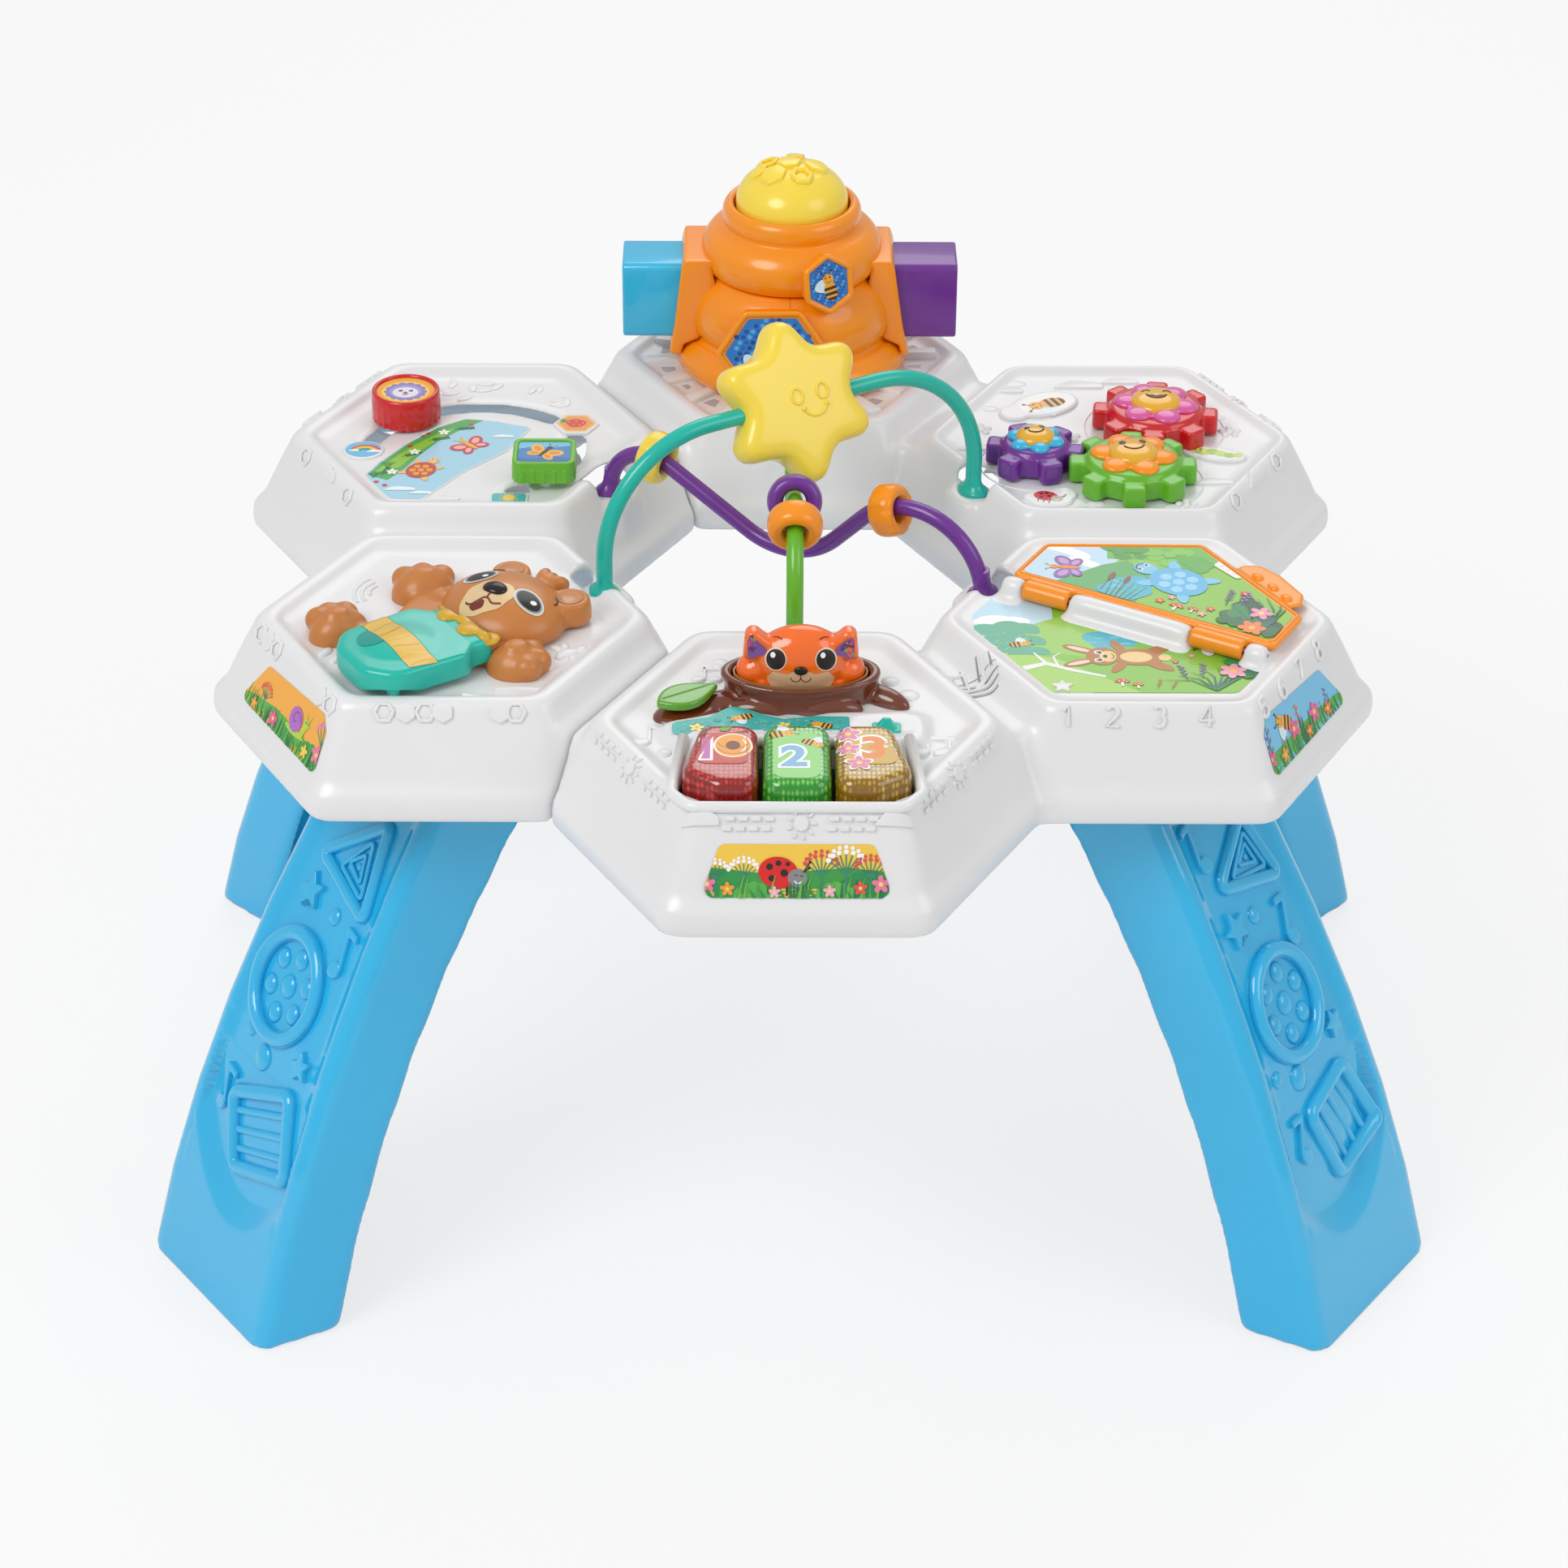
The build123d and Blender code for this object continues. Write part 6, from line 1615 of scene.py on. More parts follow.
class ACTIVITY_OT_gear_tray(bpy.types.Operator):
    """Picture pads and raised motifs of the gear tray"""

    bl_idname = "activity.gear_tray"
    bl_label = "Gear tray"

    def execute(self, context):
        white = moulded("white")
        level = tray_place("back_right", 0)
        pads = Group()
        for x, y, a, b, turn in ((-34, 44, 21, 14, 28), (-52, 33, 9, 9, 0), (-38.5, -71, 14, 8.6, -12),
                                 (-30, -66, 8, 8, 0), (62, -18, 15, 8, -12), (49, -13, 8, 7, 0)):
            pads.add(plate(oval(x, y, a, b, turn, 48), 54.6, 57.4, 1.0))
        skin = softened(pads.bm, 0.7, 5, False, False)
        moved(skin, level)
        top = surface_of(skin)
        piece("gear_tray_pads", skin, white, "table", (), 180)
        film = tray_place("back_right", 56)
        art = Picture(oval(-33, 44, 17.5, 11.2, 28, 40), "#F7F5F0", 4)
        art.lay("pad_one_film", film, "table", "white", top, 0.04)
        art = Picture(oval(-33, 44, 0.5, 0.5), "#F7B32B")
        bee(art, -34, 42, 13.5, 205, "#F2B04A")
        art.lay("pad_bee", film, "table", "white", top, 0.1)
        art = Picture(oval(-38, -71, 0.5, 0.5), "#E0231F")
        ladybird(art, -39, -70, 8.0, -20, "#DD3B34", "#C9B9A8")
        art.lay("pad_ladybird", film, "table", "white", top, 0.1)
        art = Picture(oval(62, -18, 0.5, 0.5), "#B5D84A")
        for k in range(5):
            art.fill(oval(53 + 4.6 * k, -16.5 - 1.0 * k + 1.2 * sin(k * 1.6), 4.2 - 0.35 * k,
                          3.8 - 0.3 * k, 0, 18),
                     ("#C4DE62", "#A5CC4A")[k % 2])
        art.fill(oval(49.5, -14.5, 4.6, 4.2, 0, 20), "#D3E67E")
        for x, y in ((48, -13.8), (51, -13.6)):
            art.fill(oval(x, y, 0.7, steps=10), "#3A3A22")
        art.line(bow(49.5, -15.2, 1.8, 200, 340, 8), 0.35, "#3A3A22")
        art.lay("pad_grub", film, "table", "white", top, 0.1)
        motifs = Group()
        rise = sizes().relief / MM
        for x, y in ((-22, 5), (46, 34), (38, -76), (-72, 14), (70, 12)):
            motifs.add(ball(x, y, -0.2, 2.4, 2.4, 1.8, steps=14))
            for k in range(5):
                px, py = polar(4.6, 72 * k + 18).to_2d()
                motifs.add(ball(x + px, y + py, -0.2, 2.3, 2.3, 1.9, steps=14))
        for x, y, wide in ((-58, 60, 12), (-12, 66, 13), (12, 72, 10), (-76, -12, 9), (56, -52, 10),
                           (-62, -38, 9)):
            motifs.add(plate(cloudy(x, y, wide, wide * 0.62), -0.4, rise, 0.6))
        for x, y, a in ((-50, 72, 5), (-66, 40, 4), (30, -78, 3.4), (60, -66, 4),
                        (-12, -74, 3.6), (64, 30, 4)):
            motifs.add(ball(x, y, -0.3, a * 1.5, a, 1.4, steps=16))
        rings = ((GEAR_SPOTS["green"], 40.0), (GEAR_SPOTS["red"], 40.0), (GEAR_SPOTS["purple"], 31.0))
        middle = CELLS["back_right"]
        for spot, reach in rings:
            path = []
            for p in oval(spot[0] - middle.x, spot[1] - middle.y, reach, steps=120):
                others = [s for s, r in rings if s != spot and
                          Vector((p[0] + middle.x - s[0], p[1] + middle.y - s[1])).length < r]
                if others:
                    if len(path) > 3:
                        motifs.add(wire(path, 0.45))
                    path = []
                else:
                    path.append((p[0], p[1], 0.1))
            if len(path) > 3:
                motifs.add(wire(path, 0.45))
        motifs.set(tray_place("back_right"))
        piece("gear_tray_motifs", motifs.bm, white, "table")
        return {"FINISHED"}


# ---- Sliders ----
class ACTIVITY_OT_sliders(bpy.types.Operator):
    """Red and green slider knobs with their pictures"""

    bl_idname = "activity.sliders"
    bl_label = "Slider knobs"

    def execute(self, context):
        red = glossy("red")
        outline = [tuple(polar(19.6 - 0.9 * (0.5 + 0.5 * cos(radians(24 * k * 3))) ** 2, 3 * k).to_2d())
                   for k in range(120)]
        drum = plate(outline, 57.0, 70.4, 0.8)
        rim = turned_ring([(16.6, 60), (19.4, 60), (19.4, 73.6), (18.9, 74.5), (18.0, 74.9), (17.1, 74.5),
                           (16.6, 73.6)], 72)
        floor = plate(oval(0, 0, 17.5, steps=48), 66, 73.1)
        spot = (-220.34, 128.56)
        knob = shift(gather(drum, rim, floor), *spot, SKIRT)
        piece("red_slider_knob_fluted", knob, red, "red_knob", ["red_slider_knob"], 50)
        art = Picture(oval(0, 0, 16.5, steps=48), "#F6A81F")
        art.fill(oval(0, -1, 13.5, 12.5, 0, 40), "#FFD35A")
        for k in range(14):
            art.fill(oval(9.0 * cos(radians(26 * k)), -1 + 8.2 * sin(radians(26 * k)), 3.4, 2.6, 26 * k, 14),
                     "#8C7FC0")
        art.fill(oval(0, -1, 9.2, 8.4, 0, 32), "#A79BD6")
        art.fill(oval(0, -2.0, 7.4, 6.4, 0, 30), "#E9E6F4")
        for side in (-1, 1):
            art.fill(oval(side * 3.1, 0.0, 1.9, 1.7, 0, 18), "#FFFFFF")
            art.fill(oval(side * 3.0, 0.0, 1.4, 1.35, 0, 18), "#2A2430")
            art.fill(oval(side * 3.0 - 0.4, 0.6, 0.4, steps=8), "#FFFFFF")
        art.fill(oval(0, -2.2, 1.2, 0.8, 0, 14), "#2A2430")
        art.fill(bow(0, -3.6, 1.8, 180, 360, 10), "#B5443A")
        art.lay("red_knob_picture", Matrix.Translation((*spot, SKIRT + 73.15)), "red_knob", "red")
        green = glossy("green")
        spot = (-138.24, 55.74)
        square = oblong(17.2, 15.2, 5)
        body = Group(plate(square, 60.5, 71.0, 0.6))
        for k in range(5):
            for side in (-1, 1):
                body.add(plate(oval(-12 + 6 * k, side * 14.2, 2.0, 1.6, 0, 20), 60.6, 69.0, 0.8))
                if k < 4:
                    body.add(plate(oval(side * 16.2, -9 + 6 * k, 1.6, 2.0, 0, 20), 60.6, 69.0, 0.8))
        outer = oblong(17.4, 15.4, 5, 8)
        inner = oblong(14.6, 12.6, 3, 8)
        band = bmesh.new()
        lips = []
        for outline, height in ((outer, 66), (outer, 73.2), (inner, 73.2), (inner, 66)):
            verts = [band.verts.new((x, y, height)) for x, y in outline]
            lips.append([band.edges.new((verts[k], verts[(k + 1) % len(verts)])) for k in range(len(verts))])
        for first, second in zip(lips, lips[1:] + lips[:1]):
            bmesh.ops.bridge_loops(band, edges=first + second)
        bmesh.ops.recalc_face_normals(band, faces=band.faces)
        rounded(band, [e for e in edges_at(band, 73.2) if e.calc_face_angle(0) > radians(60)], 0.9)
        body.add(band)
        body.add(plate(inner, 66, 72.1))
        shift(body.bm, *spot, SKIRT)
        piece("green_slider_knob_ribbed", body.bm, green, "green_knob", ["green_slider_knob"], 50)
        art = Picture(oblong(14.4, 12.4, 3), "#3E86C6")
        art.fill([(-14.4, 4), (-6, 7), (4, 5), (14.4, 8), (14.4, 12), (-14.4, 12)], "#7CC4EA")
        art.fill([(-14.4, -12), (14.4, -12), (14.4, -7), (4, -5), (-6, -8), (-14.4, -6)], "#2F6FB0")
        butterfly(art, 0, 0, 10.5, 60, "#F6C23A", "#F28B2A", "#4A2A1A")
        art.lay("green_knob_picture", Matrix.Translation((*spot, SKIRT + 72.15)), "green_knob", "green")
        return {"FINISHED"}


class ACTIVITY_OT_slider_tray(bpy.types.Operator):
    """Pictures and raised motifs of the slider tray"""

    bl_idname = "activity.slider_tray"
    bl_label = "Slider tray"

    def execute(self, context):
        white = moulded("white")
        level = tray_place("back_left", TRAY)
        crescent = eased([(-46, -71.5), (-25, -72), (-14, -55), (-3, -38), (8, -26), (18, -15),
                          (31, 14), (10, 22), (-6, 25), (-22, 14), (-38, -6), (-52, -30), (-58, -45)],
                         (4, 4, 8, 8, 8, 8, 3, 8, 8, 8, 8, 8, 4), 3)
        art = Picture(crescent, "#A9D9EE")
        art.fill([(-57.2, -44), (-51.4, -30), (-37.6, -6.2), (-22, 13.6), (-7, 24.4), (4, 23.2),
                  (-8, 12), (-20, -2), (-30, -20), (-38, -38), (-46, -50)], "#4FAF5A")
        art.fill([(-55, -42), (-46, -26), (-34, -8), (-22, 6), (-12, 14), (-18, 2), (-30, -14), (-40, -34)],
                 "#8CCB3E")
        for x, y, size, turn in ((-50, -45, 11, 70), (-40, -22, 12, 30), (-26, -2, 12, 20),
                                 (-12, 12, 11, 10)):
            fern(art, x, y, size, turn, "#1F7A45")
        for x, y in ((-52, -52), (-47, -56), (-30, 4), (-27, 6.5), (-3, 18), (-36, -9)):
            art.fill(oval(x, y, 1.5, steps=12), "#D93A2E")
        for x, y in ((-44, -40), (-33, -16), (-18, 8)):
            flower(art, x, y, 3.4, "#FFFFFF", "#F6CF4A")
        for x, y, wide in ((-38, -62, 8), (-26, -66, 6), (16, 2, 6)):
            art.fill(cloudy(x, y, wide, wide * 0.5), "#F4FAFD")
        turtle(art, -28, -38, 13.5, 60, "#C9502E", "#F0A63C", "#F2C27A")
        butterfly(art, -2, -8, 11.5, 135, "#D8335A", "#F8B7A0", "#F3B52E")
        tuft(art, -54, -47, 8, "#2F8F4E")
        tuft(art, -47, -35, 8, "#3FA04E")
        art.lay("slider_picture", level, "table", "white", None, 0.15)
        ring = eased([(x * 1.02, y * 1.02) for x, y in crescent], 0)
        pads = Group(bar(ring, 0.1, 0.55, True))
        for shape in (oval(-62, -15.5, 11.6, 10.6, 0, 40), hexagon(57, 17.4, 11.6, 0, 2),
                      eased([(12.5, -78.6), (33.5, -78.6), (33.5, -66.4), (12.5, -66.4)], 2.5)):
            pads.add(plate(shape, -0.4, 1.4, 0.7))
        rise = sizes().relief / MM
        for k, (first, second) in enumerate(scatter(46, 11)):
            x, y = -70 + 140 * first, 30 + 42 * second
            if abs(x) + abs(y) * 0.577 > 80 or abs(Vector((x - 2.4, y + 23.6)).length - 64.3) < 9:
                continue
            pads.add(plate(oval(x, y, 5, 2.2, 67 * k, 14), -0.4, 0.5 + 0.01 * k, 0.3))
        for k, (first, second) in enumerate(scatter(30, 23)):
            x, y = 20 + 52 * first, -60 + 66 * second
            if abs(x) + abs(y) * 0.577 > 80 or Vector((x - 0.1, y + 7.9)).length < 68:
                continue
            pads.add(plate(oval(x, y, 4.6, 2.1, 53 * k, 14), -0.4, 0.5 + 0.01 * k, 0.3))
        pads.add(plate(cloudy(-12, -74, 7, 4), -0.4, rise, 0.6))
        pads.set(level)
        piece("slider_tray_motifs", pads.bm, white, "table")
        film = tray_place("back_left", TRAY + 1.4)
        art = Picture(oval(-62, -15.5, 10.2, 9.2, 0, 40), "#6FC0EA")
        for k, shade in enumerate(("#E0392E", "#F29A2A", "#F6DE3C", "#58B947", "#3C7FC4")):
            art.line(bow(-61, -19.5, 9.0 - 1.25 * k, 25, 150, 16), 1.25, shade)
        art.fill(cloudy(-55.5, -18.5, 3.8, 2.6), "#FFFFFF")
        art.fill(cloudy(-67, -17.5, 2.6, 1.8), "#FFFFFF")
        art.lay("rainbow_picture", film, "table", "white")
        art = Picture(hexagon(57, 17.4, 10.0, 0, 1.6), "#F7C06A")
        art.fill(hexagon(57, 17.4, 8.4, 0, 1.4), "#F3A046")
        art.fill(eased([(49.5, 20.5), (57, 23), (64.5, 19.5), (60, 13), (54, 12.5)], 3.2), "#E03A34")
        for x, y in ((53, 19), (57, 20), (61, 18), (55.5, 16), (59, 15.5)):
            art.fill(oval(x, y, 0.45, steps=8), "#FBE3A0")
        for turn in (150, 180, 210):
            art.fill(leafy(51.5, 20.5, 4.2, 1.1, turn), "#3F9A3A")
        art.lay("berry_picture", film, "table", "white")
        art = Picture(eased([(13.6, -77.5), (32.4, -77.5), (32.4, -67.5), (13.6, -67.5)], 2), "#4DB9C0")
        for k in range(12):
            a = 30 * k
            art.line([tuple(Vector((23, -72.5)) + polar(4.0, a).to_2d()),
                      tuple(Vector((23, -72.5)) + polar(5.6, a).to_2d())],
                     0.6, "#F5C02C")
        art.fill(oval(23, -72.5, 3.5, steps=26), "#F9D03A")
        art.lay("sun_picture", film, "table", "white")
        return {"FINISHED"}

# ---- Bear and pot ----
def bear_picture(outline, base, name, place, surface, draw=None, lift=0.25):
    """Painted patch on the bear's domed face."""
    art = Picture(outline, base, 4)
    if draw:
        draw(art)
    return art.lay(name, place, "table", "bear_brown", surface, lift, 25, 1.5)


class ACTIVITY_OT_bear(bpy.types.Operator):
    """Bear lying on its tray: head, paws and painted face"""

    bl_idname = "activity.bear"
    bl_label = "Bear"

    def execute(self, context):
        fur = moulded("bear_brown", 0.34, 0.12, 0.05, 260.0, 0.06)
        place = tray_place("front_left", 0)
        head = Group(ball(27.5, -0.5, 60.5, 35.5, 31, 18.5, -42, 44))
        head.add(plate(oval(27, 1, 31.5, 28, -42, 48), 56.5, 66, 3))
        head.add(ball(20, -9, 66, 14.5, 12, 12.6, -42, 32))
        for x, y, reach in ((30, 31, 11.0), (62, 1, 11.5)):
            head.add(plate(oval(x, y, reach, steps=36), 57, 67.5, 2.5))
            head.add(bar(oval(x, y, reach - 3.0, steps=32), 67.6, 2.6, True))
        for x, y, turn in ((49.5, 24.5, 40), (54, 21, 20), (47, 28.5, 65)):
            head.add(ball(x, y, 65, 8, 3.8, 6, turn))
        skin = moved(cut_off(softened(head.bm, 0.95, 8), (0, 0, 57.0), (0, 0, -1)), place)
        top = surface_of(skin)
        piece("bear_head_moulded", skin, fur, "table", ["bear_head"], 180)
        body = Group()
        body.add(plate(eased([(-46, -38), (-18, 24), (18, 30), (50, -22), (44, -52), (-18, -40)], 14), 55.0,
                       62, 2))
        for x, y, a, b, height, turn in ((-17, 29, 17.5, 14.5, 15.5, 20), (-6, 16, 15, 11, 9, -40),
                                         (36, -48, 16, 14.5, 14.5, 0), (30, -36, 12, 12, 8, 0),
                                         (-58, -14, 17, 13.0, 14.5, 30), (-44, -20, 15, 11, 9, -20)):
            body.add(ball(x, y, 55.0, a, b, height, turn))
        for x, y in ((-27, 37), (-18, 41), (-8, 39), (43, -40), (47, -49), (42, -57), (-69, -7),
                     (-64, -2), (-56, -1)):
            body.add(ball(x, y, 60, 7.6, 6.8, 7.2))
        for x, y, a, b, turn in ((-17, 29, 7.5, 5.5, 15), (36, -48, 7, 6, 40), (-59, -14, 7, 6, 20)):
            body.add(ball(x, y, 69.0, a, b, 2.2, turn))
        skin = moved(cut_off(softened(body.bm, 0.95, 7), (0, 0, 55.1), (0, 0, -1)), place)
        piece("bear_body_moulded", skin, fur, "table", ["bear_body"], 180)
        face = tray_place("front_left", 70)
        muzzle = eased([(5, -12), (10, -2), (20, 3), (33, -3), (35, -12), (26, -21), (13, -22), (5, -18)], 7)
        bear_picture(muzzle, "#E9C996", "bear_muzzle", face, top)
        for x, y, turn, where in ((15.2, 10.5, 20, "left"), (41.5, -14, -52, "right")):
            def eyed(art, x=x, y=y, turn=turn):
                art.fill(oval(x, y, 8.6, 5.9, turn, 32), "#8FA3AE")
                art.fill(oval(x, y, 7.6, 5.2, turn, 32), "#2B2320")
                art.fill(oval(x - 0.6, y, 6.0, 4.5, turn, 28), "#171210")
                c, s = cos(radians(-42)), sin(radians(-42))
                art.fill(oval(x + 3.4 * c, y + 3.4 * s + 0.6, 1.7, 1.5, 0, 16), "#FFFFFF")
            bear_picture(oval(x, y, 9.6, 6.8, turn, 32), "#E8E3DA", "bear_eye_" + where, face,
                         top, eyed, 0.35)
        nose = ball(23.5, -6.0, 0.6, 7.0, 5.0, 2.4, -30, 28)
        piece("bear_nose", wrapped(nose, face, top), plain("nose_paint", "#211A18", 0.16),
              "table")
        nib = Picture(eased([(9.5, -14.8), (14, -15), (19, -14), (17.5, -18.8), (12, -19.2)], 2.0), "#7A2A1C",
                      3)
        nib.lay("bear_tongue", face, "table", "bear_brown", top, 0.45, 1, 1.5)
        lines = Group(wire([(22, -9, 0.45), (21, -11, 0.45), (20, -13.2, 0.45)], 0.45),
                      bar(eased([(8.5, -12.4), (10, -15), (20, -13.2), (22, -17.5), (27, -18)],
                                3.0, 5, False), 0.45, 0.45))
        brows = Group(bar(bow(22, 16, 6, 30, 100, 8), 0.1, 0.5),
                      bar(bow(50, -6, 6, -40, 30, 8), 0.1, 0.5))
        lines.add(brows.bm)
        piece("bear_lines", wrapped(lines.bm, face, top), plain("brown_paint", "#6B3A1E", 0.4),
              "table")
        for x, y, reach in ((30, 31, 6.6), (62, 1, 7.0)):
            patch = Picture(oval(x, y, reach, steps=28), "#CF9468", 3)
            patch.lay("bear_ear_" + ("left" if x < 40 else "right"), face, "table", "bear_brown",
                      top, 0.2, 1, 2.0)
        return {"FINISHED"}


POT_TURN = 33.0
POT_SPOT = (16.4, -25.2)


def clear_of_head(bm, reach):
    """Moves a form's points out of the round that the bear's head takes."""
    middle = CELLS["front_left"] + Vector((27.0, 1.0, 0))
    for vert in bm.verts:
        away = (vert.co - middle).xy
        if away.length < reach:
            away = away.normalized() * reach
            vert.co.x = middle.x + away.x
            vert.co.y = middle.y + away.y


def clear_below(bm, surface, gap):
    """Lifts a form's points to at least a gap above a surface, so that the form can be pressed down."""
    for vert in bm.verts:
        hit = surface.ray_cast(vert.co, Vector((0, 0, -1)), gap)[0]
        if hit:
            vert.co.z = hit.z + gap


class ACTIVITY_OT_pot(bpy.types.Operator):
    """Teal honey pot button with a golden band and dripping honey"""

    bl_idname = "activity.pot"
    bl_label = "Honey pot"

    def execute(self, context):
        place = tray_place("front_left", 0, *POT_SPOT) @ Matrix.Rotation(radians(POT_TURN), 4, "Z")
        belly = eased([(-78, -14), (-66, -29), (-24, -30), (-17, -23), (-5, -24), (-5, 21),
                       (-17, 20), (-24, 29), (-68, 27), (-78, 13)], (14, 14, 6, 4, 3, 3, 4, 6, 14, 14), 5)
        form = Group(plate(belly, 58.8, 73.0, 3.5, 3))
        form.add(ball(-48, -1, 66, 27, 27, 10.2, 0, 40))
        skin = softened(form.bm, 1.0, 9)
        moved(skin, place)
        clear_of_head(skin, 34.6)
        for vert in skin.verts:
            vert.co.z = max(vert.co.z, SKIRT + 58.8)
        clear_below(skin, shell_surface("left_shell"), 3.4)
        top = surface_of(skin)
        piece("honey_pot_moulded", skin, glossy("teal"), "pot", ["honey_pot"], 180)
        face = place @ Matrix.Translation((0, 0, 70))

        def grained(art, low, high):
            for k in range(7):
                y = -26 + 8.4 * k
                art.line([(low + (high - low) * s, y + 2.0 * sin(3 * s + k))
                          for s in (0.02, 0.25, 0.5, 0.75, 0.98)], 0.8,
                         ("#D9A437", "#F3CB66")[k % 2])
        band = [(-56, -26.5), (-41, -28.5), (-41, 27), (-56, 26)]
        art = Picture(subdivided(band, 6), "#E8BC4E", 8)
        grained(art, -55.5, -41.5)
        art.lay("pot_band", face, "pot", "teal", top, 0.35, 8, 2.5)
        art = Picture(subdivided([(-40.5, -27.5), (-24.5, -28), (-18, -21.5), (-18, 19), (-24.5, 27),
                                  (-40.5, 26.5)], 5),
                      "#5ECDBE", 8)
        art.lay("pot_label", face, "pot", "teal", top, 0.2, 1, 2.5)
        art = Picture(oval(-57, 9, 10.0, 8.6, 20, 36), "#0F9C8E", 4)
        art.lay("pot_spot", face, "pot", "teal", top, 0.25, 1, 2.5)
        honey = Group()
        for y, reach, a in ((-19, -7, 6.0), (-9, -13.5, 6.4), (1, -8.5, 5.4), (9.5, -15, 6.0), (18, -9, 5.6)):
            honey.add(ball(reach + 1.5, y, 0.2, 6.4, a, 2.4))
        honey.add(plate(eased([(-11, -22), (-5.4, -22), (-5.4, 19), (-11, 19)], 2), -0.6, 1.8, 0.8))
        lid = softened(honey.bm, 0.6, 5, False, False)
        gold = plain("honey_gold", "#D9A92E", 0.2)
        lid = wrapped(lid, face, top)
        clear_of_head(lid, 35.2)
        clear_below(lid, surface_of(bpy.data.objects["bear_body_moulded"]), 3.6)
        piece("pot_honey", lid, gold, "pot", (), 180)
        return {"FINISHED"}


def subdivided(corners, times):
    """Outline with extra points along its sides."""
    result = []
    for k, corner in enumerate(corners):
        after = Vector(corners[(k + 1) % len(corners)])
        for step in range(times):
            result.append(tuple(Vector(corner).lerp(after, step / times)))
    return result


class ACTIVITY_OT_bear_tray(bpy.types.Operator):
    """Raised motifs of the bear's tray"""

    bl_idname = "activity.bear_tray"
    bl_label = "Bear tray motifs"

    def execute(self, context):
        motifs = Group()
        for x, y, reach, start, end in ((-36, 30, 14, 125, 215), (-38, 31, 8, 125, 205),
                                        (-34, 30, 20, 130, 210)):
            motifs.add(bar(bow(x, y, reach, start, end), 0.0, 1.0))
        for path in (((26, -70), (40, -67.5), (52, -70)), ((10, -74.5), (24, -78.5), (36, -78))):
            motifs.add(bar(eased(path, 30, 6, False), 0.0, 1.1))
        for x, y in ((-64, -33), (-57, -39)):
            motifs.add(ball(x, y, -0.3, 6, 3.0, 2.4, 60))
        for dx, dy, a, b, turn in ((0, 0, 7, 4.2, 30), (7, 3.5, 3.6, 3.4, 0), (-2, 6, 5, 2.6, 100),
                                   (-6, 3.5, 4.6, 2.4, 140), (11, 6, 1.2, 1.2, 0), (3, -6, 2.6, 2, 0),
                                   (-4, -5, 2.6, 2, 0)):
            motifs.add(ball(62 + dx, -32 + dy, -0.3, a, b, 2.2, turn, 16))
        motifs.set(tray_place("front_left"))
        piece("bear_tray_motifs", motifs.bm, moulded("white"), "table")
        return {"FINISHED"}

# ---- Book ----
BOOK = Matrix(((0.866025, 0.5, 0, 176.13), (-0.5, 0.866025, 0, -110.93), (0, 0, 1, SKIRT + 62.5),
               (0, 0, 0, 1)))


def book_local(points, height=0.0):
    """Cell points turned to the hinge's frame: U along the pin, V across the page."""
    back = BOOK.inverted() @ Matrix.Translation(CELLS["front_right"])
    return [tuple((back @ Vector((x, y, height))).to_2d()) for x, y in points]


def page_spots(inset):
    """Page outline inside its frame."""
    return eased([(-69 + inset, 11 + inset), (75.5 - inset, 11 + inset), (75.5 - inset, 39.5 - inset),
                  (1.5, 82.5 - 1.16 * inset), (-69 + inset, 42 - inset)], 3.0, 5)


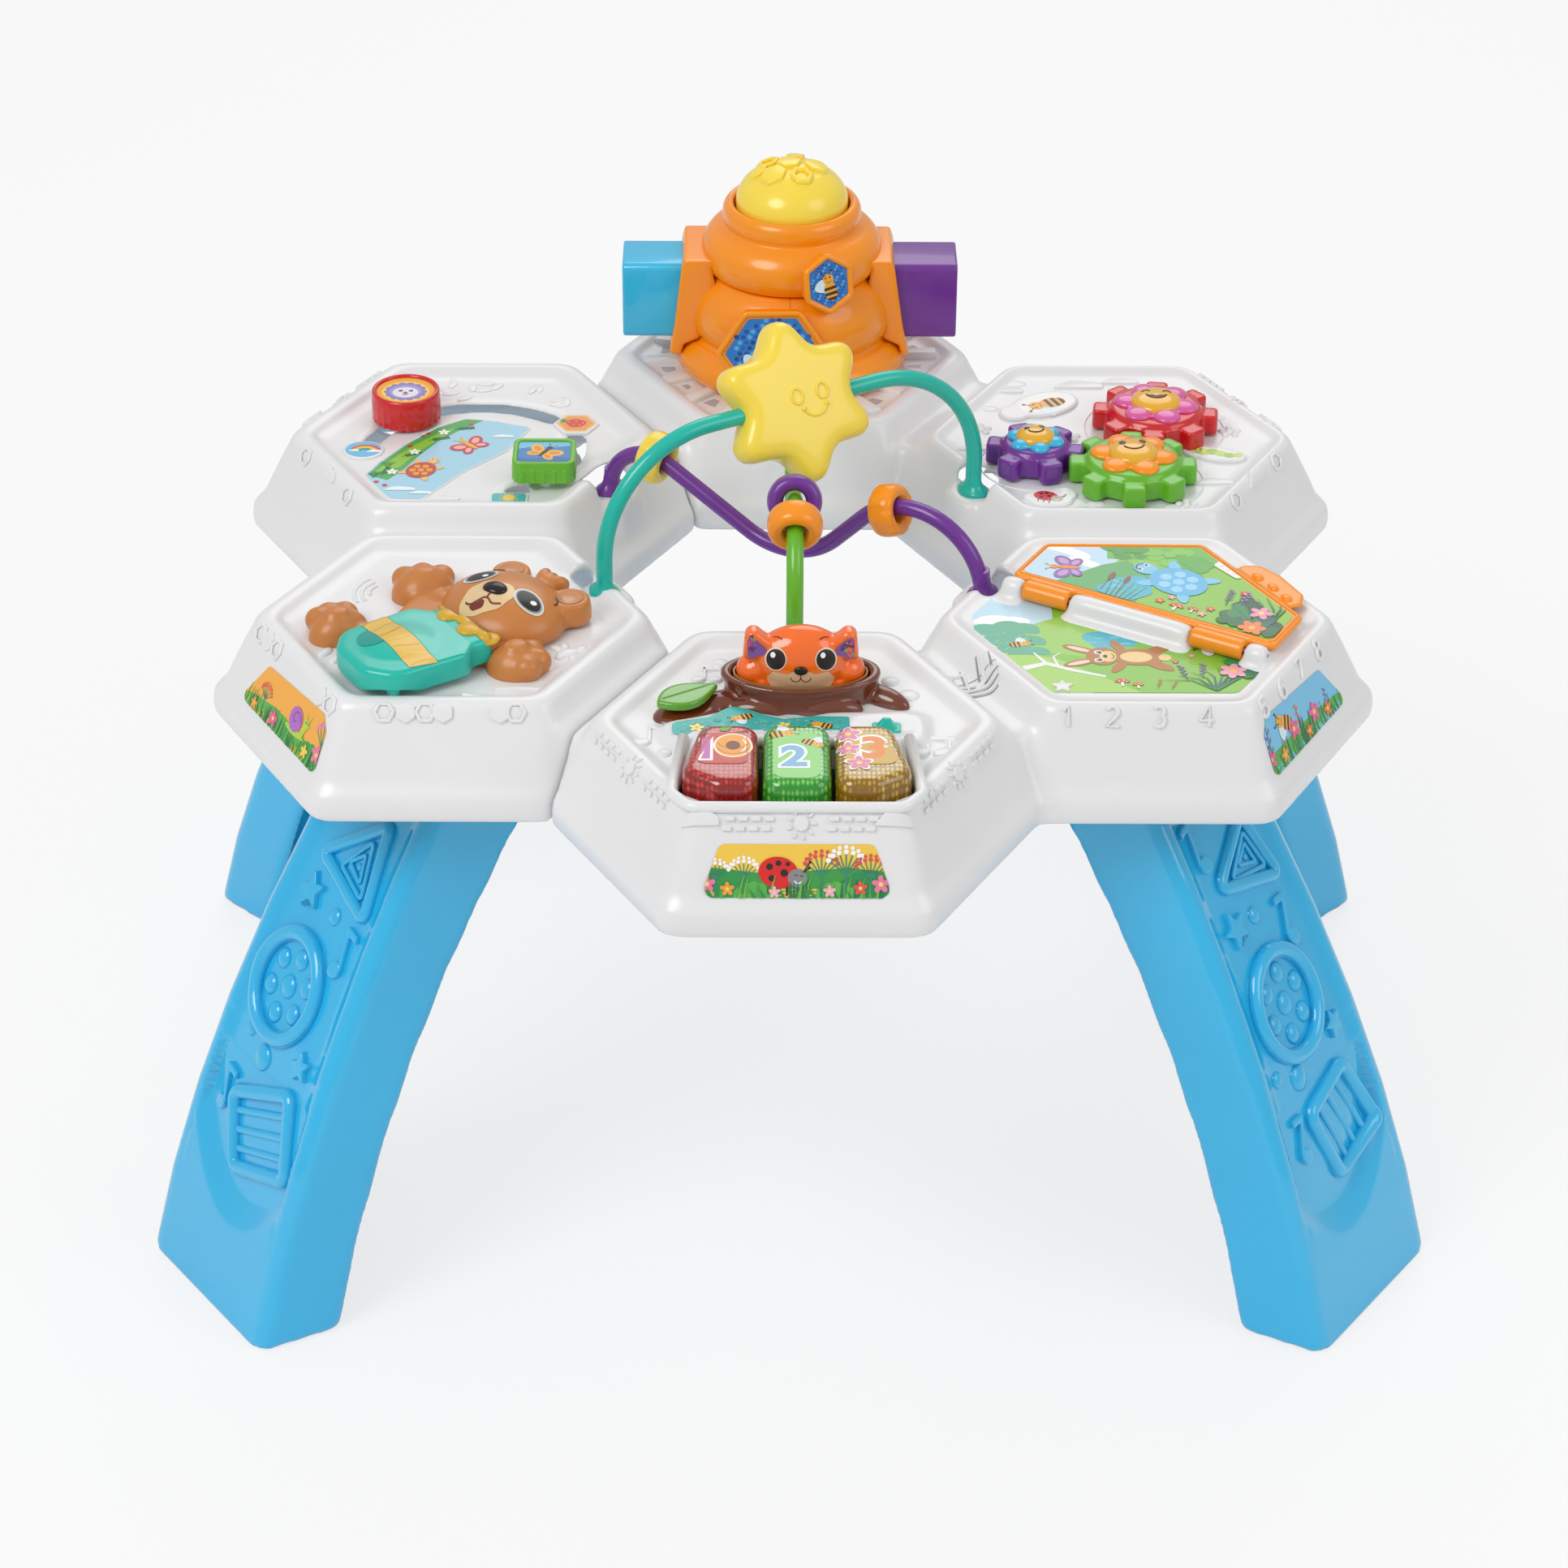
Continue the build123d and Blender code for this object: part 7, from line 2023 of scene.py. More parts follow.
class ACTIVITY_OT_book(bpy.types.Operator):
    """Hinged page with its frame, barrels and pictures"""

    bl_idname = "activity.book"
    bl_label = "Book"

    def execute(self, context):
        orange = glossy("orange")
        skin = softened(node_copy("book_page"), 0.75, 3, True, False, 1.8, 4.0)
        top = surface_of(skin)
        dots = Group()
        for x, y in ((67, 34), (74, 23), (80, 11.5)):
            dots.add(ball(*book_local([(x, y)])[0], 0, 4.2, 2.6, 1.6, -30, 20))
        dots.add(bar(page_spots(-1.7), -0.1, 0.9, True))
        wrapped(dots.bm, BOOK, top)
        piece("book_page_moulded", skin, orange, "page", ["book_page"], 180)
        piece("book_page_rim", dots.bm, orange, "page")
        art = Picture(page_spots(0), "#8CC63F", 0)
        art.fill([(-72, 9), (-38, 9), (-28, 36), (-34, 64), (-72, 64)], "#C4E2F5")
        for x, y, wide in ((-60, 40, 15), (-46, 33, 11)):
            art.fill(cloudy(x, y, wide, 7), "#FFFFFF")
        art.fill([(-50, 9), (-36, 38), (-26, 50), (-8, 40), (-2, 9)], "#5BAF62")
        art.fill([(-44, 62), (-36, 46), (-12, 58), (16, 62), (26, 78), (0, 90)], "#6DBB45")
        for s, t in scatter(60, 31):
            art.fill(leafy(-38 + 56 * s, 52 + 26 * t * (1 - abs(s - 0.6)), 8, 4, 300 * t),
                     ("#4E9F3A", "#82C94C", "#5DB043")[int(3 * s)])
        art.fill(eased([(-30, 12), (-6, 10), (2, 24), (-10, 40), (-22, 30)], 5), "#4BB8CF")
        for s, t in scatter(12, 8):
            art.line([(-25 + 18 * s, 14 + 14 * t), (-20 + 18 * s, 14.5 + 14 * t)], 0.6, "#7FD2DF")
        for k in range(6):
            art.line([(-20 + k * 2.6, 11), (-23 + k * 3.8, 26 + 3 * (k % 2))], 1.1, "#2F8F4A", 0.3)
        for x in (-25.5, -16.5):
            art.line([(x + 1, 14), (x, 28)], 0.6, "#7A5A32")
            art.fill(oval(x, 30, 1.5, 4.6, 6), "#8A4A2B")
        butterfly(art, -50, 27, 12.5, 205, "#8E5BA6", "#C79AD6", "#F08A2A")
        turtle(art, 8, 42, 23, 168, "#5CB9E8", "#9BD9F7", "#7CCBF1")
        art.line(bent(8 - 23.5, 47, 3.4, 3.6, range(110, 251, 20)), 0.8, "#1E1714")
        art.fill(eased([(16, 68), (34, 60), (36, 66), (18, 76)], 2.5), "#F4F1EC")
        for dx in (0, 5, 10):
            art.line([(20 + dx, 68 - 0.4 * dx), (22 + dx, 72 - 0.5 * dx)], 1.0, "#D9D2C8", 0.4)
        toadstool(art, 18, 13, 8.5)
        toadstool(art, 27, 15.5, 6.5)
        for x, y, reach, shade in ((8, 19, 2.8, "#E85A4F"), (12, 25, 2.4, "#F3A6B8"),
                                   (35, 24, 2.6, "#E85A4F"), (33, 17, 2.8, "#F3A6B8"),
                                   (44, 48, 3.0, "#E03B4B")):
            flower(art, x, y, reach, shade)
        for s, t in scatter(46, 5):
            art.fill(leafy(44 + 32 * s, 11 + 30 * t * (1 - 0.3 * s), 9, 4, 90 + 160 * s * t),
                     ("#1E6B3C", "#2C8A49", "#144F33")[int(3 * t)])
        for k in range(7):
            art.line([(68, 14), (54 + 2.6 * k, 26 + 3.4 * k), (42 + 3.4 * k, 34 + 4.0 * k)], 1.3,
                     "#1B6E57", 0.2)
        spray(art, 40, 32, 16, "#8A6BB0", "#5A5A78", -3)
        spray(art, 47, 35, 15, "#B08AC6", "#5A5A78", -1)
        flower(art, 60, 33, 6.6, "#F49AB8")
        flower(art, 62, 16.5, 7.6, "#F4833A", "#F7C13C", 6)
        art.trimmed().lay("page_picture", BOOK, "page", "orange", top, 0.16)
        under = Picture([(-p, q) for p, q in page_spots(0)], "#8CC63F")
        under.fill([(-75, 9), (67, 9), (67, 24), (-75, 30)], "#6DBB45")
        under.fill(eased([(-8, 26), (26, 22), (34, 38), (4, 44)], 8), "#4BB8CF")
        bee(under, -32, 30, 12, 10)
        flower(under, 44, 24, 6, "#F49AB8")
        flower(under, -60, 20, 5, "#F4833A")
        turn = BOOK @ Matrix.Rotation(pi, 4, "Y")
        under.trimmed()
        bmesh.ops.translate(under.bm, vec=(0, 0, 0.05), verts=under.bm.verts)
        moved(under.bm, turn)
        piece("page_back_picture", under.bm, inked(), "page", (), 180)
        return {"FINISHED"}


class ACTIVITY_OT_book_spread(bpy.types.Operator):
    """Meadow picture under the page and the star pad"""

    bl_idname = "activity.book_spread"
    bl_label = "Meadow picture"

    def execute(self, context):
        place = tray_place("front_right", 57)
        field = eased([(-86, -12), (-50, -74), (47, -74), (85, -12), (85, 8), (43, 70), (-46, 70), (-86, 6)],
                      6, 5)
        spread = Picture(field, "#86C440", 0)
        spread.fill([(-90, -20), (-44, -20), (-44, 72), (-90, 72)], "#BFE3F5")
        spread.fill(cloudy(-72, -4, 15, 8), "#FFFFFF")
        spread.fill([(-70, -30), (-58, -6), (-40, 4), (-20, -8), (-16, -40)], "#9ACF58")
        spread.fill([(-60, -76), (-78, -30), (-44, -40), (0, -76)], "#A8D660")
        spread.fill(eased([(-34, -14), (-8, -10), (2, -26), (-22, -30)], 5), "#45B6C9")
        for s, t in scatter(10, 77):
            spread.line([(-28 + 22 * s, -26 + 10 * t), (-23 + 22 * s, -25.6 + 10 * t)], 0.6, "#8ADBE4")
        for x, y, reach in ((-78, -16, 10), (-72, -26, 10), (-66, -14, 11), (-62, -26, 10), (-58, -36, 8),
                            (-68, -34, 7)):
            spread.fill(cloudy(x, y, reach * 1.25, reach * 1.05), "#56B290")
        for s, t in scatter(16, 12):
            spread.line([(-78 + 20 * s, -32 + 18 * t), (-76 + 20 * s, -30.5 + 18 * t)], 0.6, "#8CCFB4")
        spread.line([(-62, -50), (-50, -45), (-36, -52), (-20, -58)], 4.4, "#F2F3F4", 0.4)
        spread.line([(-50, -45), (-56, -34)], 2.4, "#F2F3F4", 0.4)
        spread.line([(-44, -48), (-46, -38), (-42, -34)], 1.6, "#F2F3F4", 0.4)
        bee(spread, -62, -25, 7.0, 12)
        rabbit(spread, -8, -38, 20, 178, "#B8722C", "#F3D08A")
        for x, y, reach, shade in ((8, -16, 2.0, "#F3A6B8"), (14, -22, 2.2, "#E85A7A"),
                                   (17, -43, 2.0, "#D94A5E"), (26, -37, 2.0, "#F3A6B8"),
                                   (48, -24, 2.2, "#F06A5A")):
            flower(spread, x, y, reach, shade)
        toadstool(spread, -12, -68, 8)
        toadstool(spread, -4, -70, 6)
        bee(spread, 36, -28, 9.5, 176)
        spray(spread, 22, -62, 15, "#8A6BB0", "#4B5C7A", -3)
        spray(spread, 30, -60, 15, "#9C7CC0", "#4B5C7A", 1)
        for k in range(9):
            spread.line([(36, -72), (24 + 4 * k, -62 + 1.2 * k), (10 + 7 * k, -62 + 3.2 * k * (1.5 - k / 9))],
                        1.3, ("#1F7C63", "#14634F")[k % 2], 0.15)
        spray(spread, 6, -70, 9, "#E8824A", "#6A7A3A", 2)
        spray(spread, 13, -71, 8, "#E8824A", "#6A7A3A", 3)
        for s, t in scatter(60, 9):
            x, y = 42 + 36 * s, -62 + 50 * t
            spread.fill(leafy(x, y, 8, 3.8, 60 + 220 * s * t),
                        ("#1E7A3F", "#2E9A4E", "#115233", "#1A6A45")[int(4 * t)])
        flower(spread, 46, -53, 7.4, "#F7A9C4", "#F7D24A", 6)
        flower(spread, 57, -44, 5.0, "#F58A3C", "#F7C13C", 5)
        flower(spread, 64, -32, 5.0, "#F07CA0", "#F7D24A", 5)
        flower(spread, 74, -14, 4.6, "#F58A3C", "#F7C13C", 5)
        spread.trimmed().lay("meadow_picture", place, "table", "white", None, 0.3)
        pad = Group(plate(eased([(-62, -74.6), (-56, -66), (-50, -62), (-38, -61), (-30, -66),
                                 (-26.5, -74.6)], (1, 6, 8, 10, 6, 1)),
                          -1.0, 2.2, 1.0))
        pad.add(plate(starlike(-43, -68.2, 7.0, 3.2, 5, 18, 0.8), 1.6, 3.2, 0.6))
        pad.set(tray_place("front_right", 55))
        piece("star_pad", pad.bm, moulded("white"), "table")
        return {"FINISHED"}

# ---- Hive ----
def smooth_profile(points, steps=8):
    """Rounded run through (radius, height) points."""
    result = []
    for k in range(len(points) - 1):
        p0, p1 = Vector(points[max(k - 1, 0)]), Vector(points[k])
        p2, p3 = Vector(points[k + 1]), Vector(points[min(k + 2, len(points) - 1)])
        for step in range(steps):
            t = step / steps
            spot = 0.5 * (2 * p1 + (p2 - p0) * t + (2 * p0 - 5 * p1 + 4 * p2 - p3) * t * t
                          + (3 * p1 - p0 - 3 * p2 + p3) * t * t * t)
            result.append(tuple(spot))
    result.append(tuple(points[-1]))
    return result


def halved(bm, side, seam=-1.0):
    """Keeps one side of a hive part, closed at the seam."""
    return cut_off(bm, (seam + side * 0.1, 0, 0), (-side, 0, 0))


class ACTIVITY_OT_hive(bpy.types.Operator):
    """Orange hive tiers, side ports, sliding block and dome button"""

    bl_idname = "activity.hive"
    bl_label = "Beehive"

    def execute(self, context):
        orange = glossy("orange")
        place = tray_place("back", 0)
        lower = smooth_profile([(60.5, 55.2), (64.5, 57), (68.2, 63), (67.6, 70), (62, 76.2),
                                (57.6, 79), (59.8, 85), (60.8, 93), (59.2, 102), (54.5, 110.5), (48, 116.5)],
                               6)
        wall = lower + [(44, 116.5), (44, 56), (60.5, 55.2)]
        for side, node in ((-1, "hive_left_half"), (1, "hive_right_half")):
            half = halved(turned_ring(wall[:-1], 96), side)
            moved(half, place)
            piece(node + "_turned", half, orange, "table", [node], 50)
        upper = smooth_profile([(45.6, 116.6), (49.4, 118.6), (51.8, 123.5), (52.2, 129), (50.6, 135),
                                (46.6, 140.2), (41.8, 142.8), (39.6, 144.6), (40.2, 149), (39.4, 154),
                                (36.6, 157), (34.0, 156.2)], 6)
        crown = turned_ring(upper + [(33.2, 150), (33.2, 118), (45.0, 116.6)], 96)
        moved(crown, place)
        piece("hive_crown_turned", crown, orange, "table", ["hive_crown"], 50)
        for node in ("hive_left_port", "hive_right_port"):
            skin = softened(node_copy(node), 0.9, 4, True, False, 2.2, 5.0)
            for vert in skin.verts:
                height = vert.co.z - SKIRT
                vert.co.z += 0.3 * max(0, 88 - height) - 0.66 * max(0, height - 125)
            piece(node + "_moulded", skin, orange, "table", [node], 180)
        for node, slot in (("blue_block", "sky"), ("violet_block", "purple")):
            low, high = (Vector(corner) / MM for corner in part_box(node))
            deep, tall = (high.y - low.y) / 2, (high.z - low.z) / 2
            outline = oblong(deep, tall, 4.0, 6)
            block = plate(outline, 0, high.x - low.x)
            rounded(block, edges_at(block, 0 if node == "blue_block" else high.x - low.x), 1.4)
            moved(block, framed((0, 1, 0), (0, 0, 1), (1, 0, 0),
                                (low.x, (low.y + high.y) / 2, (low.z + high.z) / 2)))
            piece(node + "_moulded", block, glossy(slot), "block", [node], 50)
        yellow = glossy("pale_yellow")
        cap = [(0, 134.4), (33.6, 134.4), (33.9, 136.2), (32.6, 137), (32.4, 154)]
        cap += smooth_profile([(32.4, 156), (32.0, 160.5), (29.6, 166), (25.2, 171), (18.5, 175.6),
                               (10, 178.4), (4, 179.4), (0, 179.6)], 5)
        dome = lathe(cap, 72)
        moved(dome, place)
        top = surface_of(dome)
        piece("hive_dome_button_turned", dome, yellow, "hive_dome", ["hive_dome_button"], 50)
        cells = Group()
        for x, y, reach, ring in ((-11, -11, 6.6, False), (5.5, -13, 5.6, True), (-2, 0.5, 6.4, False),
                                  (14, 0, 6.2, False), (-14, 6, 5.6, True), (-20, -3, 4.6, False),
                                  (2, 12.5, 4.8, False)):
            shape = hexagon(x, y, reach, 10, 1.0)
            if ring:
                cells.add(bar(hexagon(x, y, reach - 0.8, 10, 1.0), 0.9, 1.4, True))
            else:
                cells.add(finer(plate(shape, -0.8, 2.3, 0.6), 1.6))
        spot = place @ Matrix.Translation((0, 0, 150))
        piece("dome_cells", wrapped(cells.bm, spot, top), yellow, "hive_dome")
        for name, spot, turn, lean, wide, tall, flat in (
                ("upper", (20.5, -54, 129.5), 20, 78, 14.5, 15.8, 90),
                ("lower", (-11, -64, 90.5), 2, 82, 30, 26.0, 0)):
            window = (place @ Matrix.Translation(spot) @ Matrix.Rotation(radians(turn), 4, "Z")
                      @ Matrix.Rotation(radians(lean), 4, "X"))
            shape = [(p * wide, q * tall) for p, q in hexagon(0, 0, 0.9, flat)]
            frame_solid = Group(plate(eased(shape, 3.5, 5), -9, 0.6, 0.6))
            frame_solid.add(bar(eased(shape, 3.5, 4), 0.6, 1.7, True))
            frame_solid.set(window)
            piece(name + "_window_frame", frame_solid.bm, orange, "table", (), 60)
            film = Picture(eased([(p * 0.88, q * 0.88) for p, q in shape], 2.5, 4), "#2F7FD0")
            step = wide / 8
            for row in range(-16, 17):
                for column in range(-12, 13):
                    p, q = (column + 0.5 * (row % 2)) * step, row * step * 0.87
                    inside = all(abs(p * cos(radians(a)) / wide + q * sin(radians(a)) / tall) < 0.74
                                 for a in (flat - 60, flat, flat + 60))
                    if inside:
                        shade = ("#1F55B0", "#5FB2EC", "#2465C4", "#1C489C")[(row * 3 + column * 5) % 4]
                        film.fill(oval(p, q, step * 0.38, steps=10), shade).level_with()
            film.level += 1
            if name == "upper":
                bee(film, 0.5, -1.0, 9.6, 100, "#F6A92F")
            else:
                for k, (p, q) in enumerate(((-12, -8), (11, -9), (9, 10))):
                    bee(film, p, q, 8.6, (30, 140, 80)[k], "#F6A92F")
            film.lay(name + "_window_print", window, "table", "orange", None, 0.75)
        return {"FINISHED"}


class ACTIVITY_OT_hive_tray(bpy.types.Operator):
    """Rays moulded in the tray round the hive, with grey painted shade in the recesses between them"""

    bl_idname = "activity.hive_tray"
    bl_label = "Hive tray rays"

    def execute(self, context):
        rays = Group()
        # The grey wedges between the fins are painted shade where the recesses fall dark; they are not a
        # colour of the tray.
        recess_shade = Picture(oval(0, 0, 0.5), "#C9CACC")
        for k in range(18):
            azimuth = 20 * k + 4
            fin = plate([(58, -3.2), (86, -4.4), (86, 4.4), (58, 3.2)], -0.4, 3.4, 1.4)
            wedge = [polar(reach, azimuth + 10 + turn).to_2d()
                     for reach, turn in ((69, -4.6), (77, -5.6), (77, 1), (69, -1))]
            recess_shade.fill([tuple(p) for p in wedge], "#B4B6BA").level_with()
            bmesh.ops.rotate(fin, matrix=Matrix.Rotation(radians(azimuth), 3, "Z"), verts=fin.verts)
            rays.add(fin)
        for k in range(6):
            out = polar(1, 30 + 60 * k)
            cut_off(rays.bm, out * 79.5, out)
        recess_shade.lay("hive_tray_shades", tray_place("back"), "table", "white", None, 0.12)
        rays.set(tray_place("back"))
        piece("hive_tray_rays", rays.bm, moulded("white"), "table")
        return {"FINISHED"}

# ---- Wall pictures and rim reliefs ----
def growing(art, low, high, seed, tall, greens):
    """Grass and leaves along the bottom of a wall picture."""
    for s, t in scatter(46, seed):
        x = low + (high - low) * s
        art.line([(x, -18), (x + 2 * t - 1, -18 + tall * (0.5 + t) * 0.5),
                  (x + 6 * t - 3, -18 + tall * (0.5 + t))],
                 1.6, greens[int(len(greens) * t)], 0.15)


class ACTIVITY_OT_wall_pictures(bpy.types.Operator):
    """Printed films set in the front walls"""

    bl_idname = "activity.wall_pictures"
    bl_label = "Wall pictures"

    def execute(self, context):
        surface = shell_surface("front_shell")
        left_surface = shell_surface("left_shell")
        greens = ("#2F8F46", "#49A84B", "#1F7A4A", "#6DBB45")
        outline = eased(on_wall([(-47, 21.5), (47, 21.5), (38, 46), (-38, 46)]), 4.5, 5)
        art = Picture(outline, "#F9CE4E")
        art.fill([(-60, -19), (60, -19), (60, -6), (24, -3), (-14, -6), (-60, -1)], "#3E9E4A")
        for x, wide, tall, shade in ((-37, 26, 17, "#2F9A4B"), (34, 26, 17, "#2C9350"),
                                     (-21, 18, 11, "#57B54E"), (19, 18, 11, "#62BC55")):
            bush(art, x, -20, wide, tall, shade)
        for x, tall, shade in ((-26, 19, "#FFFFFF"), (12, 22, "#E2574C"), (24, 24, "#FFFFFF"),
                               (36, 20, "#E2574C"), (-40, 18, "#FFFFFF")):
            umbel(art, x, -18, tall, shade, "#3C8F6E")
        ladybird(art, -8, -5.5, 11.5, -8)
        growing(art, -50, 50, 3, 8, greens)
        for x, y, reach, shade in ((-44, -11, 4.4, "#F27CA5"), (-34, -13.5, 3.6, "#F4A23C"),
                                   (41, -11, 4.6, "#F27CA5"), (31, -13, 3.6, "#E85A4F"),
                                   (-11, -15, 3.0, "#F7B7C9"), (16, -14.5, 3.2, "#F7B7C9")):
            flower(art, x, y, reach, shade)
        art.trimmed().lay("front_wall_picture", wall_place("front", -90), "table", "white",
                          surface, 0.25, 1, 3.0)
        side = eased(on_wall([(-53, 22), (37, 22), (20, 46), (-44, 50), (-51, 43)]), 4, 5)
        art = Picture(side, "#7CC8F0")
        art.fill([(-70, -19), (42, -19), (30, -10), (0, -7), (-70, -6)], "#52AF4C")
        for k, (x, tall) in enumerate(((-50, 24), (-16, 20), (16, 14), (-36, 16))):
            spray(art, x, -15, tall, ("#8A6BB0", "#E9824A")[k % 2], "#3C6F5A", 2)
        growing(art, -62, 36, 17, 13, greens)
        bee(art, -30, 3, 10, 150)
        for x, y, reach, shade in ((-52, -8, 5.2, "#F25F9A"), (-22, -5, 5.4, "#F25F9A"),
                                   (2, -7, 5.6, "#F06AA2"), (-38, -12, 4, "#F4A23C"),
                                   (-8, -13, 3.6, "#F4833A"), (16, -12, 4.2, "#F4833A")):
            flower(art, x, y, reach, shade)
        right = wall_place("front_right", -30)
        art.trimmed().lay("right_wall_picture", right, "table", "white", surface, 0.25, 1, 3.0)
        other = eased([(-x, y) for x, y in side], 0.5, 2)
        art = Picture(other, "#FBB13E")
        art.fill([(70, -19), (-42, -19), (-30, -11), (0, -6), (70, -8)], "#5DB24B")
        for x, wide, tall in ((44, 26, 15), (10, 24, 10)):
            bush(art, x, -19, wide, tall, "#3F9E4A")
        umbel(art, 52, -16, 25, "#E98AA8", "#3C8F6E")
        umbel(art, -14, -16, 16, "#E2574C", "#3C8F6E")
        growing(art, -36, 62, 23, 9, greens)
        snail(art, 22, -8, 10)
        for x, y, reach, shade in ((50, -8, 5.2, "#F27CA5"), (0, -12, 4.6, "#F25F9A"),
                                   (38, -12, 3.8, "#F9D34A"), (-22, -14, 3.4, "#F4A23C")):
            flower(art, x, y, reach, shade)
        left = wall_place("front_left", 210)
        art.trimmed().lay("left_wall_picture", left, "table", "white", left_surface, 0.25, 1, 3.0)
        return {"FINISHED"}


STROKES = {
    "1": ([(-1.9, 2.6), (0.6, 4.9), (0.6, -4.9)],),
    "2": (bow(0, 2.1, 2.8, 165, -40, 12) + [(-3.0, -4.8), (3.2, -4.8)],),
    "3": (bow(-0.3, 2.4, 2.5, 150, -70, 12), bow(-0.3, -2.2, 2.8, 75, -150, 12)),
    "4": ([(1.4, -4.9), (1.4, 4.9), (-3.2, -1.9), (3.4, -1.9)],),
    "5": ([(2.9, 4.8), (-2.1, 4.8), (-2.5, 0.6)] + bow(-0.1, -1.7, 3.0, 120, -150, 12),),
    "6": ([(2.3, 4.8), (-0.8, 3.4), (-2.7, 0.6), (-3.0, -1.9)], bow(0, -2.0, 3.0, 0, 360, 20)),
    "7": ([(-2.9, 4.8), (2.9, 4.8), (-0.8, -4.9)],),
    "8": (bow(0, 2.5, 2.3, 0, 360, 18), bow(0, -2.4, 2.8, 0, 360, 20)),
}


def rim_mark(kind):
    """One raised motif of a rim."""
    mark = Group()
    if kind == "sun":
        mark.add(plate(oval(0, 0, 3.6, steps=20), -0.5, 1.4, 0.4))
        for k in range(9):
            ray = polar(6.2, 40 * k)
            mark.add(ball(ray.x, ray.y, 0, 1.7, 0.8, 1.3, 40 * k, 12))
    elif kind == "cloud":
        mark.add(plate(cloudy(0, -1, 8.5, 6.5), -0.5, 1.5, 0.6))
    elif kind == "dashes":
        for row in (-2.3, 2.3):
            for column in (-9.6, -3.2, 3.2, 9.6):
                mark.add(plate(eased([(column - 2.3 + row / 3, row - 1.2),
                                      (column + 2.3 + row / 3, row - 1.2),
                                      (column + 2.3 + row / 3, row + 1.2),
                                      (column - 2.3 + row / 3, row + 1.2)], 0.6, 2),
                               -0.5, 1.3, 0.4))
    elif kind == "cell":
        mark.add(bar(hexagon(0, 0, 4.2, 0, 0.6), 0.3, 0.9, True))
    elif kind == "full_cell":
        mark.add(plate(hexagon(0, 0, 4.8, 30, 0.8), -0.5, 1.4, 0.5))
    else:
        for path in STROKES[kind]:
            mark.add(bar(path, 0.3, 1.05))
    return mark.bm


RIM_MARKS = (
    ("front", -90, ((-47, "cloud"), (-24, "dashes"), (2, "sun"), (27, "dashes"), (48, "cloud"))),
    ("front", -150, ((-30, "dashes"), (-4.7, "sun"), (21, "dashes"))),
    ("front", -30, ((-24, "dashes"), (0, "sun"), (26, "dashes"))),
    ("front_right", -90, ((-42, "1"), (-18.8, "2"), (5.2, "3"), (28.9, "4"))),
    ("front_right", -30, ((-42.9, "5"), (-20.7, "6"), (2.1, "7"), (25.2, "8"))),
    ("front_left", -90, ((-29, "cell"), (-18, "full_cell"), (-8, "cell"), (1, "full_cell"), (30, "full_cell"),
                         (38, "cell"))),
    ("front_left", -150, ((-38.6, "cell"), (-29, "full_cell"), (-19, "cell"), (44.9, "cell"),
                          (35, "full_cell"))),
    ("back_left", 150, ((-28, "dashes"), (0, "sun"), (28, "cloud"))),
    ("back_left", 210, ((-28, "cell"), (0, "cloud"), (26, "cell"))),
    ("back_right", 30, ((-28, "cloud"), (0, "sun"), (28, "dashes"))),
    ("back_right", -30, ((-28, "cell"), (0, "cloud"), (26, "cell"))),
    ("back", 90, ((-28, "dashes"), (0, "sun"), (28, "dashes"))),
)


class ACTIVITY_OT_rim_marks(bpy.types.Operator):
    """Numbers, suns, clouds, dashes and cells raised on the rims"""

    bl_idname = "activity.rim_marks"
    bl_label = "Rim reliefs"

    def execute(self, context):
        surfaces = {"front": "front_shell", "front_right": "front_shell", "back": "back_shell",
                    "back_right": "back_shell", "front_left": "left_shell", "back_left": "left_shell"}
        for cell, azimuth, row in RIM_MARKS:
            group = Group()
            surface = shell_surface(surfaces[cell])
            for along, kind in row:
                drop = 0.9 if kind in STROKES else 0.0
                mark = shift(finer(rim_mark(kind), 2.5), 0, -drop, 0.45)
                group.add(wrapped(mark, rim_place(cell, azimuth, along, 55), surface))
            piece("%s_rim_%d" % (cell, azimuth % 360), group.bm, moulded("white"), "table")
        return {"FINISHED"}


class ACTIVITY_OT_speaker_notes(bpy.types.Operator):
    """Sound slots, printed grey as painted shade, and raised notes over the speaker, on the slope between two
    cells
    """

    bl_idname = "activity.speaker_notes"
    bl_label = "Speaker notes"

    def execute(self, context):
        place = Matrix.Translation((90, -154, SKIRT + 60)) @ Matrix.Rotation(radians(12), 4, "Z")
        surface = shell_surface("front_shell")
        # The grey slots and the grooves under the notes are painted shade standing in for the dark inside
        # open slots.
        slots = Picture(ribbon([(-17, 3), (-8, 1), (4, 4), (15, 3)], 1.3, 0.4), "#8E9094")
        for k, y in enumerate((-3.2, -7.2, -11.2)):
            path = [(-15 + 2 * k, y + 2), (-7, y - 1.4), (3, y + 0.6), (15 - k, y + 1)]
            slots.line(path, 2.3, "#8E9094", 0.4).level_with()
        for x, y, tall in ((-9, 2, 10), (-2, 3, 12), (6, 4, 10), (12, 4, 8)):
            slots.line([(x, y - 5), (x + 1, y + tall)], 1.2, "#9A9CA0", 0.6).level_with()
        slots.lay("speaker_slots", place, "table", "white", surface, 0.12, 1, 2.0)
        notes = Group()
        for x, y, tall in ((-9, -3, 13), (-2, -6, 16), (7, -2, 13)):
            notes.add(ball(x - 1.4, y, 0, 2.8, 2.0, 1.5, 20, 16))
            notes.add(wire([(x + 1, y, 0.3), (x + 2, y + tall, 0.3)], 0.8))
        notes.add(wire([(-7, 10, 0.3), (0, 11, 0.3)], 1.1))
        for y in (-1.2, -5.2, -9.2):
            notes.add(bar(eased([(-16, y + 2), (-7, y - 1.4), (3, y + 0.6), (14, y + 1)], 6, 6, False), 0.3,
                          0.9))
        piece("speaker_notes", wrapped(finer(notes.bm, 3.0), place, surface), moulded("white"),
              "table")
        return {"FINISHED"}

